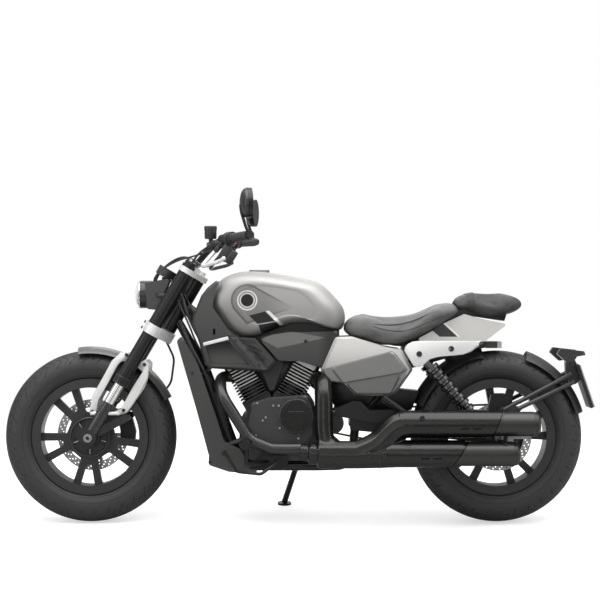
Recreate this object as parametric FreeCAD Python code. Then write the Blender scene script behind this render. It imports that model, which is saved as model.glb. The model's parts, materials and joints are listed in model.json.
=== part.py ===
import FreeCAD
import Part
import math
import os

# Cruiser motorcycle, in millimetres. It is drawn upright: X runs from the front axle to the rear,
# Y to the side away from the exhaust, Z up from the ground. At the end the whole machine is leaned
# on to its side stand and moved so that the bottom centre of its box is the origin.

# Driving sizes
WHEELBASE = 1516.0
TYRE_RADIUS = 320.0
RAKE_DEG = 30.4
LEAN_DEG = 9.0
FORK_OFFSET = 45.0
FORK_HALF_SPACING = 104.0

# Fits and clearances
FIT = 0.3
SHAFT_FIT = 0.1
MOVING_GAP = 5.5
OVERRUN = 5.0
RUN_SHARE = 0.45
MERGE_ERROR_SHARE = 0.001
SMALLEST_TURN_DEG = 1.0
FLATTEST_CORNER = 0.02
TIGHTEST_BEND_SHARE = 1.1

# Wheels and tyres
RIM_SEAT_RADIUS = 203.0
RIM_FLANGE_HEIGHT = 13.0
RIM_FLANGE_THICKNESS = 7.0
RIM_WALL = 20.0
RIM_WELL_WALL = 7.0
BEAD_SEAT = 14.0
WELL_SLOPE = 22.0
SPOKE_PLATE_HALF = 14.0
SPOKE_COUNT = 5
SPOKE_WINDOW_CORNER = 9.0
FRONT_SPOKE_TURN_DEG = 50.0
REAR_SPOKE_TURN_DEG = 13.0
HUB_RADIUS = 38.0
HUB_HALF_WIDTH = 64.0
HUB_DISH_RADIUS = 74.0
HUB_DISH_HALF = 22.0
HUB_POCKET_CENTRE = 56.0
HUB_POCKET_RADIUS = 10.0
HUB_POCKET_DEPTH = 6.0
AXLE_RADIUS = 10.0
AXLE_BORE_RADIUS = 6.5
AXLE_OVERHANG = 8.0
SPACER_RADIUS = 16.0
FRONT_TYRE_HALF_WIDTH = 65.0
REAR_TYRE_HALF_WIDTH = 74.0
FRONT_RIM_HALF_WIDTH = 47.0
REAR_RIM_HALF_WIDTH = 56.0
TYRE_CROWN_DROP = 31.0
SHOULDER_SHARE = 0.89
DISC_THICKNESS = 5.0
FRONT_DISC_RADIUS = 134.0
REAR_DISC_RADIUS = 125.0
DISC_BAND = 30.0
DISC_ARM_WIDTH = 14.0
DISC_SEAT_RADIUS = 60.0
DISC_SEAT_DEPTH = 40.0
FRONT_DISC_Y = 58.0
REAR_DISC_Y = 66.0
PULLEY_RADIUS = 108.0
FRONT_PULLEY_RADIUS = 40.0
BELT_INNER_Y = 76.0
BELT_WIDTH = 15.0
BELT_THICKNESS = 7.0
BELT_GAP = 0.8

# Windows between and within the cast spokes, as shares of the rim's inner radius
WIDE_WINDOW_SHARES = ((0.48, 0.14), (1.08, 0.37), (1.08, -0.37), (0.48, -0.14))
SLIM_WINDOW_SHARES = ((0.58, 0.05), (1.08, 0.165), (1.08, -0.165), (0.58, -0.05))

# Fork, with distances along the leg from the axle
LEG_TUBE_RADIUS = 19.5
LEG_OUTER_RADIUS = 26.0
LEG_OUTER_START = 228.0
LEG_INSERTION = 60.0
LEG_TOP = 738.0
LEG_CAP_RADIUS = 22.0
LEG_CAP_HEIGHT = 14.0
LEG_SEAL_LENGTH = 34.0
LEG_SEAL_RADIUS = 29.5
FOOT_RADIUS = 24.0
FOOT_TOP = 110.0
FOOT_BOSS_RADIUS = 30.0
FOOT_HALF_WIDTH = 24.5
FOOT_LUG_THICKNESS = 10.0
FOOT_LUG_LENGTH = 150.0
FOOT_LUG_SHARES = ((0.0, 0.0), (0.3, 0.05), (1.0, 0.42), (1.05, 0.56), (0.9, 0.57), (0.33, 0.3), (0.2, 0.4))
LUG_CORNER = 8.0
LOWER_CLAMP_START = 446.0
LOWER_CLAMP_HEIGHT = 38.0
TOP_CLAMP_START = 707.0
TOP_CLAMP_HEIGHT = 20.0
CLAMP_EAR = 9.0
CLAMP_FRONT = 30.0
CLAMP_REAR = 80.0
CLAMP_CORNER = 24.0
STEM_RADIUS = 14.0
STEM_BOSS_RADIUS = 33.0
STEM_NUT_RADIUS = 19.0
STEM_NUT_HEIGHT = 14.0
HEAD_TUBE_RADIUS = 30.0
HEAD_TUBE_GAP = 2.5

# Handlebar and what is on it
BAR_RADIUS = 11.0
BAR_HALF_WIDTH = 415.0
BAR_BEND = 45.0
BAR_ROUTE_SHARES = ((0, 0, 0), (0, 0.17, 0), (0.16, 0.42, 0.17), (0.25, 0.62, 0.21), (0.49, 1.0, 0.235))
BAR_CLAMP_OFFSET = 18.0
BAR_CLAMP_Y = 45.0
RISER_RADIUS = 17.0
RISER_HEIGHT = 16.0
GRIP_LENGTH = 118.0
GRIP_RADIUS = 16.5
GRIP_FLANGE = 6.0
GRIP_FLANGE_RADIUS = 22.0
PERCH_LENGTH = 34.0
PERCH_RADIUS = 19.0
LEVER_REACH = 52.0
LEVER_BOSS_RADIUS = 9.0
LEVER_KNEE = 30.0
LEVER_BULGE = 10.0
LEVER_RADIUS = 6.0
SWITCH_DROP = 44.0
SWITCH_RADIUS = 17.0
RESERVOIR_RADIUS = 23.0
RESERVOIR_HEIGHT = 34.0
RESERVOIR_RAISE = 6.0
RESERVOIR_AHEAD = 7.0
RESERVOIR_POST_RADIUS = 7.5
MIRROR_CLAMP_LENGTH = 16.0
MIRROR_CLAMP_RADIUS = 14.0
MIRROR_RISE = 100.0
MIRROR_STALK_SHARES = ((0, 0, 0), (-0.12, 0.02, 0.22), (-0.3, 0.0, 0.8), (-0.34, -0.02, 1.12),
                       (-0.1, -0.05, 1.14))
MIRROR_STALK_RADIUS = 5.5
MIRROR_RADIUS = 54.0
MIRROR_THICKNESS = 16.0
MIRROR_TOE_IN = 0.2
MIRROR_OVERLAP_SHARE = 0.35

# Headlight and instrument
HEADLIGHT_FRONT_X = 180.0
HEADLIGHT_Z = 850.0
HEADLIGHT_RADIUS = 52.0
HEADLIGHT_DEPTH = 92.0
HEADLIGHT_RIM = 5.0
HEADLIGHT_RECESS = 12.0
HEADLIGHT_SHARES = ((0, 1), (0.5, 1), (0.74, 0.9), (0.92, 0.68), (1.0, 0.4))
HEADLIGHT_BRACKET_Z = 792.0
HEADLIGHT_BRACKET_LENGTH = 120.0
HEADLIGHT_BRACKET_HEIGHT = 119.0
HEADLIGHT_BRACKET_SHARES = ((0.2, 0.84), (1.0, 1.0), (0.7, 0.31), (0.55, 0.0), (0.28, 0.03))
BRACKET_THICKNESS = 6.0
BRACKET_BOLT_DEPTH = 46.0
BRACKET_ALONG = 610.0
BRACKET_ARM_RADIUS = 8.0
BRACKET_ARM_SHARE = 0.6
INSTRUMENT_X = 272.0
INSTRUMENT_Z = 915.0
INSTRUMENT_RADIUS = 36.0
INSTRUMENT_DEPTH = 34.0

# Front mudguard, its stays, the front caliper and its hose
FENDER_GAP = 11.0
FENDER_WALL = 4.0
FENDER_DEPTH = 40.0
FRONT_FENDER_DEPTH = 24.0
FRONT_FENDER_HALF_WIDTH = 68.0
FRONT_FENDER_START_DEG = 98.0
FRONT_FENDER_SWEEP_DEG = 72.0
STAY_THICKNESS = 5.0
STAY_WIDTH = 14.0
STAY_BEND = 40.0
STAY_ROUTE_SHARES = ((0.04, 0.28), (0.05, 0.46), (0.28, 0.87), (0.46, 0.92), (0.68, 0.74), (0.62, 0.58),
                     (0.42, 0.29), (0.34, 0.28))
STAY_BOLT_SHARES = ((0.383, 0.907), (0.666, 0.727))
STAY_BOLT_DEPTH_SHARE = 0.8
CALIPER_HALF_WIDTH = 19.0
FRONT_CALIPER_SHARES = ((0.78, -0.3), (1.18, -0.3), (1.22, 0.1), (1.12, 0.48), (0.78, 0.48))
CALIPER_BOLT_SHARES = ((0.98, 0.36), (1.08, 0.2))
HOSE_RADIUS = 4.0
HOSE_BEND = 60.0
HOSE_SHARES = ((0.86, 0.45, 1.12), (0.96, 0.5, 0.9), (0.92, 0.72, 0.62), (0.72, 0.72, 0.34),
               (0.5, 0.64, 0.22))

# Frame, radiator and pivots
SPINE_REAR_Z = 665.0
TAB_RADIUS = 7.0
TAB_REACH = 46.0
TANK_PAD_Y = 12.0
FENDER_MOUNT_SHARE = 0.55
SPINE_BEND_X = 520.0
SPINE_RADIUS = 24.0
CRADLE_FRONT_X = 430.0
CRADLE_KNEE_Z = 560.0
CRADLE_BOTTOM_X = 560.0
CRADLE_Z = 212.0
CRADLE_HALF = 88.0
PIVOT_HALF = 52.0
CRADLE_BEND = 70.0
CRADLE_TUBE_RADIUS = 15.0
SUBFRAME_HALF = 88.0
CROSS_TUBE_RADIUS = 10.0
SUBFRAME_RADIUS = 12.0
PIVOT_X = 990.0
PIVOT_Z = 372.0
PIVOT_BOSS_RADIUS = 24.0
SWINGARM_INNER_Y = 100.0
SWINGARM_OUTER_Y = 122.0
SWINGARM_HEIGHT = 46.0
BRIDGE_RADIUS = 20.0
RADIATOR_X = 356.0
RADIATOR_Z = 250.0
RADIATOR_DEPTH = 124.0
RADIATOR_HEIGHT = 330.0
RADIATOR_OVERLAP = 6.0
RADIATOR_SHARES = ((0.0, 1.0), (0.25, 1.0), (1.0, 0.0), (0.72, 0.0))

# Engine
CRANK_X = 677.0
CRANK_Z = 349.0
CYLINDER_LEAN_DEG = 27.5
CYLINDER_BASE = 132.0
BARREL_RADIUS = 44.0
FIN_COUNT = 12
FIN_PITCH = 12.0
FIN_THICKNESS = 4.5
FIN_LENGTH = 108.0
FIN_WIDTH = 150.0
FIN_CORNER = 18.0
HEAD_HEIGHT = 32.0
CASE_X = 554.0
CASE_Z = 235.0
CASE_LENGTH = 300.0
CASE_HEIGHT = 200.0
CASE_HALF_WIDTH = 108.0
CASE_CORNER = 26.0
CASE_SHARES = ((0.0, 0.3), (0.04, 0.85), (0.25, 1.0), (0.75, 1.0), (1.0, 0.85), (1.0, 0.25), (0.85, 0.0),
               (0.15, 0.0))
SIDE_CASE_X = 575.0
SIDE_CASE_Z = 280.0
SIDE_CASE_LENGTH = 262.0
SIDE_CASE_HEIGHT = 200.0
SIDE_CASE_SHARES = ((0.0, 0.3), (0.1, 0.85), (0.35, 0.95), (0.9, 1.0), (1.0, 0.8), (1.0, 0.25), (0.8, 0.0),
                    (0.2, 0.0))
CHEEK_DEPTH = 32.0
CLUTCH_X = 768.0
CLUTCH_Z = 403.0
CLUTCH_RADIUS = 62.0
COVER_DEPTH = 26.0
COVER_BEVEL = 8.0
COVER_RIM_DEPTH = 7.0
COVER_RIM_WIDTH = 8.0
COVER_BAR_SHARE = 0.8
COVER_BAR_SPACING = 12.0
COVER_DRAW_SHARE = 0.93
ALTERNATOR_RADIUS = 68.0

# Tank and panels
TANK_X = 452.0
TANK_Z = 689.0
TANK_LENGTH = 493.0
TANK_HEIGHT = 243.0
TANK_HALF_WIDTH = 150.0
TANK_SHARES = (
    (0.11, 0.92), (0.23, 1.0), (0.38, 1.0), (0.53, 0.96), (0.69, 0.9), (0.8, 0.84), (0.93, 0.61),
    (1.0, 0.38), (0.97, 0.13), (0.84, 0.18), (0.69, 0.23), (0.61, 0.22), (0.49, 0.14), (0.3, 0.0),
    (0.21, 0.01), (0.13, 0.13), (0.06, 0.32), (0.0, 0.56), (0.02, 0.72),
)
TANK_STATION_SHARES = ((-1.0, 0.55), (-0.9, 0.84), (-0.66, 0.97), (0.0, 1.0), (0.66, 0.97), (0.9, 0.84),
                       (1.0, 0.55))
CAP_X_SHARE = 0.36
CAP_SINK = 8.0
CAP_RADIUS = 38.0
CAP_HEIGHT = 9.0
PANEL_CORNER = 14.0
PANEL_DRAW_SHARE = 0.95
SHROUD_X = 385.0
SHROUD_Z = 563.0
SHROUD_LENGTH = 311.0
SHROUD_HEIGHT = 352.0
SHROUD_INNER_Y = 108.0
SHROUD_OUTER_Y = 136.0
INTAKE_DEPTH = 18.0
INTAKE_SHARES = ((0.16, 0.26), (0.447, 0.324), (0.688, 0.071), (0.228, 0.082))
PILLAR_RAISE = 7.0
PILLAR_SHARES = ((0.4, 0.42), (0.54, 0.385), (0.925, 0.03), (0.85, 0.01))
LOUVRE_COUNT = 3
LOUVRE_START_SHARES = ((0.605, 0.3), (0.745, 0.27), (0.775, 0.235), (0.64, 0.265))
LOUVRE_STEP_SHARES = (0.05, -0.07)
PEEP_SHARES = ((0.245, 0.455), (0.275, 0.46), (0.275, 0.395), (0.245, 0.39))
SHROUD_SHARES = (
    (0.34, 1.0), (0.185, 0.89), (0.105, 0.8), (0.01, 0.59), (0.0, 0.51), (0.08, 0.31), (0.15, 0.08),
    (0.22, 0.04), (0.58, 0.02), (0.89, 0.0), (1.0, 0.11), (0.76, 0.35), (0.55, 0.36), (0.42, 0.45),
    (0.23, 0.69), (0.25, 0.86),
)
KNEE_X = 625.0
KNEE_Z = 578.0
KNEE_LENGTH = 308.0
KNEE_HEIGHT = 139.0
KNEE_INNER_Y = 84.0
KNEE_OUTER_Y = 130.0
KNEE_SHARES = (
    (0.0, 0.78), (0.17, 0.91), (0.37, 0.97), (1.0, 1.0), (0.9, 0.57), (0.78, 0.0), (0.51, 0.19),
    (0.37, 0.17), (0.24, 0.19),
)
CHIN_X = 327.0
CHIN_Z = 190.0
CHIN_LENGTH = 314.0
CHIN_HEIGHT = 508.0
CHIN_OUTER_Y = 124.0
CHIN_SHARES = (
    (0.0, 0.96), (0.06, 1.0), (0.24, 0.8), (0.45, 0.43), (0.56, 0.22), (0.76, 0.16), (0.85, 0.05),
    (1.0, 0.01), (0.79, 0.0), (0.61, 0.01), (0.37, 0.06), (0.38, 0.14), (0.16, 0.62),
)

# Seats, side covers and tail
SEAT_X = 946.0
AIR_BOX_X = 596.0
AIR_BOX_Z = 492.0
AIR_BOX_LENGTH = 332.0
AIR_BOX_HEIGHT = 290.0
AIR_BOX_HALF = 62.0
AIR_BOX_SHARES = (
    (0.22, 0.0), (0.27, 0.0), (0.4, 0.45), (0.46, 0.54), (0.82, 0.54), (1.0, 0.6), (1.0, 0.9),
    (0.8, 1.0), (0.2, 1.0), (0.02, 0.75), (0.0, 0.5), (0.07, 0.47),
)
SEAT_Z = 666.0
SEAT_LENGTH = 431.0
SEAT_HEIGHT = 146.0
SEAT_HALF_WIDTH = 140.0
SEAT_SHARES = (
    (0.0, 0.46), (0.09, 0.71), (0.25, 0.65), (0.41, 0.62), (0.53, 0.65), (0.66, 0.74), (0.78, 0.9),
    (0.94, 1.0), (1.0, 0.87), (0.94, 0.75), (0.82, 0.53), (0.66, 0.27), (0.53, 0.08), (0.34, 0.0),
    (0.21, 0.1), (0.1, 0.19),
)
SEAT_STATION_SHARES = ((-1.0, 0.7), (-0.85, 0.9), (0.0, 1.0), (0.85, 0.9), (1.0, 0.7))
PILLION_X = 1346.0
PILLION_Z = 765.0
PILLION_LENGTH = 263.0
PILLION_HEIGHT = 81.0
PILLION_HALF_WIDTH = 105.0
PILLION_SHARES = (
    (0.0, 0.54), (0.07, 0.79), (0.17, 0.99), (0.33, 1.0), (0.55, 0.96), (0.89, 0.94), (0.97, 0.78),
    (1.0, 0.56), (0.95, 0.37), (0.72, 0.1), (0.52, 0.02), (0.33, 0.16), (0.12, 0.35),
)
COWL_X = 1201.0
COWL_Z = 676.0
COWL_LENGTH = 351.0
COWL_HEIGHT = 101.0
COWL_HALF_WIDTH = 92.0
COWL_SHARES = ((0.0, 0.01), (0.21, 0.39), (0.31, 0.64), (0.54, 1.0), (0.66, 0.88), (0.82, 0.75), (1.0, 0.64),
               (0.76, 0.0))
RAIL_X = 1168.0
RAIL_Z = 581.0
RAIL_LENGTH = 294.0
RAIL_HEIGHT = 92.0
RAIL_INNER_Y = 100.3
RAIL_OUTER_Y = 112.0
RAIL_CORNER = 10.0
RAIL_BEVEL = 4.0
RAIL_HOLE_RADIUS = 11.0
RAIL_HOLE_SHARES = ((0.18, 0.53), (0.59, 0.75))
RAIL_SHARES = (
    (0.0, 0.74), (0.02, 0.89), (0.1, 0.97), (0.27, 1.0), (1.0, 1.0), (0.83, 0.6), (0.7, 0.49),
    (0.38, 0.49), (0.32, 0.36), (0.2, 0.01), (0.14, 0.0), (0.11, 0.12), (0.0, 0.62),
)
SIDE_COVER_X = 858.0
SIDE_COVER_Z = 476.0
SIDE_COVER_LENGTH = 340.0
SIDE_COVER_HEIGHT = 219.0
SIDE_COVER_INNER_Y = 112.0
SIDE_COVER_OUTER_Y = 150.0
SIDE_COVER_BEVEL = 16.0
FACET_RAISE = 5.0
FACET_LOWER_RAISE = 8.0
UPPER_FACET_SHARES = ((0.1, 0.475), (0.762, 0.744), (0.8, 0.72), (0.935, 0.443), (0.885, 0.393),
                      (0.224, 0.215))
LOWER_FACET_SHARES = ((0.26, 0.21), (0.87, 0.37), (0.766, 0.045), (0.372, 0.045))
SIDE_COVER_SHARES = (
    (0.16, 0.99), (0.0, 0.43), (0.06, 0.25), (0.22, 0.21), (0.36, 0.0), (0.78, 0.0), (0.82, 0.05),
    (1.0, 0.44), (0.88, 0.78), (0.72, 0.82), (0.51, 0.92), (0.34, 1.0),
)

# Spring units
SHOCK_TOP_X = 1240.0
SHOCK_TOP_Z = 610.0
SHOCK_FOOT_X = 1455.0
SHOCK_Y = 136.0
SHOCK_EYE_RADIUS = 18.0
SHOCK_EYE_HALF_WIDTH = 13.0
SHOCK_STUD_RADIUS = 8.0
SHOCK_ROD_RADIUS = 12.0
SPRING_RADIUS = 27.0
SPRING_GROOVE = 8.0
SPRING_TURNS = 9
SPRING_WIRE_SHARE = 0.45
SPRING_GROOVE_START_SHARE = 0.6
SPRING_GROOVE_END_SHARE = 0.85
FRONT_PULLEY_X = 905.0
FRONT_PULLEY_Z = 372.0

# Exhaust
MUFFLER_Y = 222.0
MUFFLER_RADIUS = 50.0
LOWER_MUFFLER_X = 1080.0
LOWER_MUFFLER_Z = 270.0
LOWER_MUFFLER_LENGTH = 500.0
UPPER_MUFFLER_X = 1128.0
UPPER_MUFFLER_Z = 378.0
UPPER_MUFFLER_LENGTH = 527.0
MUFFLER_SHARES = ((0.0, 0.66), (0.05, 0.9), (0.95, 0.9), (0.98, 0.82), (1.0, 0.66))
SHIELD_SHARES = ((0.0, 0.7), (0.03, 0.92), (0.06, 1.0), (0.9, 1.0), (0.9, 0.8), (0.06, 0.8))
UPPER_SHIELD_SHARE = 0.71
LOWER_SHIELD_SHARE = 0.56
SHIELD_SLANT_DEG = 24.0
SHIELD_SLOT_LENGTH = 30.0
SHIELD_SLOT_HEIGHT = 6.0
COLLECTOR_SHIELD_X = 862.0
COLLECTOR_SHIELD_Z = 216.0
COLLECTOR_SHIELD_LENGTH = 340.0
COLLECTOR_SHIELD_HEIGHT = 212.0
COLLECTOR_SHIELD_SHARES = (
    (0.0, 0.05), (0.0, 0.46), (0.26, 0.52), (0.56, 0.62), (0.78, 0.98), (0.94, 1.0), (1.0, 0.5),
    (0.9, 0.04), (0.5, 0.0),
)
OUTLET_SHARE = 0.45
OUTLET_WALL = 3.0
COLLECTOR_X = 940.0
COLLECTOR_Y = 200.0
COLLECTOR_RADIUS = 44.0
COLLECTOR_BRANCH_SHARE = 0.4
HEADER_RADIUS = 21.0
REAR_HEADER_RADIUS = 26.0
HEADER_BEND = 80.0
FRONT_HEADER_SHARES = (
    (-0.08, 0.2, 0.6), (-0.126, 0.36, 0.62), (-0.122, 0.78, 0.42), (-0.052, 0.86, -0.1), (0.0, 0.86, -0.2),
    (0.1, 0.88, -0.2),
)
REAR_HEADER_SHARES = ((0.08, 0.2, 0.6), (0.125, 0.28, 0.6), (0.126, 0.78, 0.42), (0.126, 0.9, -0.05))

# Rear mudguards, plate and lamps, as shares of the tyre's radius from the rear axle
INNER_FENDER_HALF = 73.0
INNER_FENDER_GAP = 16.0
INNER_FENDER_START_DEG = 158.0
INNER_FENDER_SWEEP_DEG = 58.0
HUGGER_HALF = 76.0
HUGGER_GAP = 14.0
HUGGER_DEPTH = 34.0
HUGGER_START_DEG = 70.0
HUGGER_SWEEP_DEG = 54.0
STRUT_RADIUS = 8.0
STRUT_END_SHARE = 0.9
STRUT_SHARES = (((0.047, 0.325), (0.856, 0.731)), ((0.21, 0.334), (0.888, 0.64)))
STRUT_PLATE_SHARES = ((-0.16, -0.02), (-0.08, -0.02), (-0.075, 0.08), (0.06, 0.11), (0.26, 0.33),
                      (0.21, 0.37), (0.02, 0.36))
PLATE_SHARES = ((0.91, 0.84), (0.945, 0.85), (1.12, 0.34), (1.085, 0.33))
PLATE_HALF_WIDTH = 60.0
PLATE_ARM_SHARES = ((0.82, 0.655), (0.81, 0.93), (0.88, 0.96), (0.945, 0.84), (1.0, 0.68), (0.92, 0.6))
PLATE_ARM_HALF = 24.0
LAMP_X_SHARE = 0.85
LAMP_Z_SHARE = 0.925
LAMP_HALF_SPACING = 108.0
LAMP_HALF_WIDTH = 17.0
LAMP_SHARES = ((0.67, 0.97), (0.71, 1.03), (0.98, 1.0), (1.0, 0.955), (0.9, 0.94), (0.86, 0.88), (0.78, 0.87))
TAIL_LAMP_Z = 650.0
TAIL_LAMP_LENGTH = 60.0
TAIL_LAMP_HALF = 60.0
TAIL_LAMP_HEIGHT = 24.0

# Footrests, rear caliper and stand
PEG_PLATE_X = 591.0
PEG_PLATE_Z = 205.0
PEG_PLATE_LENGTH = 147.0
PEG_PLATE_HEIGHT = 52.0
PEG_PLATE_INNER_Y = 126.0
PEG_PLATE_Y = 136.0
PEG_PLATE_SHARES = ((0.0, 0.0), (0.07, 0.21), (0.28, 1.0), (1.0, 1.0), (1.0, 0.29), (0.74, 0.0))
PEG_BOLT_SHARES = (0.36, 0.9)
PEG_X = 587.0
PEG_Z = 306.0
PEG_START_Y = 208.0
PEG_LENGTH = 105.0
PEG_RADIUS = 15.0
PEG_ARM_RADIUS = 8.0
PEDAL_SHARES = ((1.1, 0.16, -0.66), (0.5, 0.5, -1.08), (-0.35, 0.62, -0.98), (-0.75, 0.8, -0.3))
PEDAL_RADIUS = 6.0
PEDAL_PAD_LENGTH = 46.0
PEDAL_PAD_RADIUS = 9.0
REAR_PEG_PLATE_X = 905.0
REAR_PEG_PLATE_Z = 372.0
REAR_PEG_PLATE_LENGTH = 290.0
REAR_PEG_PLATE_HEIGHT = 84.0
REAR_PEG_INNER_Y = 126.0
REAR_PEG_OUTER_Y = 136.0
REAR_PEG_PLATE_SHARES = ((0.0, 0.38), (0.03, 0.7), (0.24, 1.0), (0.35, 1.0), (0.46, 0.6), (0.97, 0.62),
                         (1.0, 0.2), (0.72, 0.0), (0.4, 0.12))
REAR_PEG_BACK = 96.0
REAR_PEG_OUT = 26.0
REAR_PEG_UP = 70.0
REAR_CALIPER_OUT = 22.0
REAR_CALIPER_IN = 16.0
REAR_CARRIER_SHARES = ((-0.42, 0.02), (-0.2, 0.02), (0.4, 0.85), (-0.26, 0.85))
REAR_CARRIER_BOLT_SHARES = ((-0.31, 0.1),)
REAR_CALIPER_SHARES = ((-0.3, 0.82), (0.42, 0.78), (0.42, 1.16), (0.2, 1.3), (-0.2, 1.3))
STAND_PIVOT_X = 772.0
STAND_PIVOT_Y = 150.0
STAND_PIVOT_Z = 205.0
STAND_LUG_RADIUS = 10.0
STAND_LUG_LENGTH = 14.0
STAND_PIN_RADIUS = 6.0
STAND_PIN_HEAD = 5.0
STAND_SPREAD = 95.0
STAND_FORWARD = 50.0
STAND_FOOT_RADIUS = 26.0
STAND_FOOT_THICKNESS = 7.0
STAND_LEG_RADIUS = 11.0
STAND_BOSS_RADIUS = 17.0
STAND_BOSS_HALF = 12.0
STAND_STOWED_OUT_SHARE = 0.17
STAND_STOWED_UP_SHARE = 0.0


def deg(angle):
    return math.radians(angle)


V = FreeCAD.Vector
SIDES = (-1, 1)
ORIGIN = V(0, 0, 0)
X_AXIS = V(1, 0, 0)
Y_AXIS = V(0, 1, 0)
Z_AXIS = V(0, 0, 1)
FRONT_AXLE = V(0, 0, TYRE_RADIUS)
REAR_AXLE = V(WHEELBASE, 0, TYRE_RADIUS)
FORK_FRAME = FreeCAD.Placement(FRONT_AXLE, FreeCAD.Rotation(Y_AXIS, RAKE_DEG))


# Shape helpers

def rounded_wire(points, radius):
    """A closed wire through the corners, each rounded by an arc."""
    count = len(points)
    radii = radius if isinstance(radius, (list, tuple)) else [radius] * count
    arcs = []
    for index, corner in enumerate(points):
        back = points[index - 1].sub(corner)
        ahead = points[(index + 1) % count].sub(corner)
        reach = min(back.Length, ahead.Length)
        half = back.getAngle(ahead) / 2
        if math.pi - 2 * half < FLATTEST_CORNER:
            arcs.append((corner, None, corner))
            continue
        setback = min(radii[index] / math.tan(half), RUN_SHARE * reach)
        back.normalize()
        ahead.normalize()
        middle_way = back.add(ahead)
        middle_way.normalize()
        arc_radius = setback * math.tan(half)
        sagitta = arc_radius / math.sin(half) - arc_radius
        arcs.append((corner + back * setback, corner + middle_way * sagitta, corner + ahead * setback))
    edges = []
    for index, (start, middle, end) in enumerate(arcs):
        if middle is not None:
            edges.append(Part.Arc(start, middle, end).toShape())
        following = arcs[(index + 1) % count][0]
        if end.distanceToPoint(following) > FIT * MERGE_ERROR_SHARE:
            edges.append(Part.LineSegment(end, following).toShape())
    return Part.Wire(edges)


def smooth_wire(points):
    """A closed wire of one smooth curve through the points."""
    curve = Part.BSplineCurve()
    curve.interpolate(Points=points, PeriodicFlag=True)
    return Part.Wire([curve.toShape()])


def grown(points, factor, y):
    """The points scaled about their middle, and moved to another y."""
    middle_x = (min(p.x for p in points) + max(p.x for p in points)) / 2
    middle_z = (min(p.z for p in points) + max(p.z for p in points)) / 2
    return [V(middle_x + (p.x - middle_x) * factor, y, middle_z + (p.z - middle_z) * factor) for p in points]


def slab(points, radius, y_from, y_to):
    """A rounded outline extruded from one y to another."""
    placed = [V(p.x, y_from, p.z) for p in points]
    return Part.Face(rounded_wire(placed, radius)).extrude(V(0, y_to - y_from, 0))


def bevelled_slab(points, radius, y_from, y_to, bevel, factor):
    """A slab whose outer face is drawn in by a bevel."""
    mid = y_to - math.copysign(bevel, y_to - y_from)
    wires = [rounded_wire(grown(points, 1.0, y_from), radius), rounded_wire(grown(points, 1.0, mid), radius)]
    wires.append(rounded_wire(grown(points, factor, y_to), radius))
    return Part.makeLoft(wires, True, True)


def pillow(points, half_width, stations):
    """A crowned body lofted through its side outline, drawn in towards both sides."""
    wires = [smooth_wire(grown(points, f, s * half_width)) for s, f in stations]
    return Part.makeLoft(wires, True, False)


def both(shape):
    """The shape and its mirror image, as two solids."""
    return [shape, shape.mirror(ORIGIN, Y_AXIS)]


def join(shapes):
    """One solid from shapes that overlap, with the edges between them left in."""
    joined = shapes[0]
    for shape in shapes[1:]:
        joined = joined.fuse(shape)
    return joined


def fuse(shapes):
    """One solid from shapes that overlap, without the edges inside a face where that keeps it whole."""
    joined = join(shapes)
    merged = joined.removeSplitter()
    whole = merged.isValid() and abs(merged.Volume - joined.Volume) < MERGE_ERROR_SHARE * joined.Volume
    return merged if whole else joined


def main_solid(shape):
    """The largest solid of a shape that a cut has left in pieces."""
    return max(shape.Solids, key=lambda solid: solid.Volume)


def rod(start, end, radius):
    """A round bar between two points."""
    way = end.sub(start)
    return Part.makeCylinder(radius, way.Length, start, way)


def path_wire(points, bend):
    """A wire of straight runs joined by tangent arcs."""
    edges = []
    at = points[0]
    for index in range(1, len(points) - 1):
        corner = points[index]
        back = points[index - 1].sub(corner)
        ahead = points[index + 1].sub(corner)
        half = back.getAngle(ahead) / 2
        setback = min(bend / math.tan(half), RUN_SHARE * min(back.Length, ahead.Length))
        back.normalize()
        ahead.normalize()
        middle_way = back.add(ahead)
        middle_way.normalize()
        arc_radius = setback * math.tan(half)
        sagitta = arc_radius / math.sin(half) - arc_radius
        start = corner + back * setback
        end = corner + ahead * setback
        edges.append(Part.LineSegment(at, start).toShape())
        edges.append(Part.Arc(start, corner + middle_way * sagitta, end).toShape())
        at = end
    edges.append(Part.LineSegment(at, points[-1]).toShape())
    return Part.Wire(edges)


def tube(points, radius, bend):
    """A round bar along straight runs joined by tangent arcs, or by a ball where an arc is too tight."""
    pieces = []
    at = points[0]
    for index in range(1, len(points) - 1):
        corner = points[index]
        back = points[index - 1].sub(corner)
        ahead = points[index + 1].sub(corner)
        half = back.getAngle(ahead) / 2
        setback = min(bend / math.tan(half), RUN_SHARE * min(back.Length, ahead.Length))
        arc_radius = setback * math.tan(half)
        turn_deg = 180.0 - 2 * math.degrees(half)
        if turn_deg < SMALLEST_TURN_DEG or arc_radius < radius * TIGHTEST_BEND_SHARE:
            pieces += [rod(at, corner, radius), Part.makeSphere(radius, corner)]
            at = corner
            continue
        back.normalize()
        ahead.normalize()
        middle_way = back.add(ahead)
        middle_way.normalize()
        centre = corner + middle_way * (arc_radius / math.sin(half))
        start = corner + back * setback
        disc = Part.Face(Part.Wire([Part.makeCircle(radius, start, back)]))
        pieces.append(rod(at, start, radius))
        pieces.append(disc.revolve(centre, ahead.cross(back), turn_deg))
        at = corner + ahead * setback
    pieces.append(rod(at, points[-1], radius))
    return fuse(pieces)


def ring_of(outer, inner, y_from, width):
    """A flat ring about the Y axis."""
    start = V(0, y_from, 0)
    outside = Part.makeCylinder(outer, width, start, Y_AXIS)
    return outside.cut(Part.makeCylinder(inner, width, start, Y_AXIS))


def turned(points):
    """A closed outline of (y, radius) corners turned about the Y axis."""
    corners = [V(0, y, r) for y, r in points]
    return Part.Face(Part.makePolygon(corners + corners[:1])).revolve(ORIGIN, Y_AXIS, 360.0)


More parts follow.
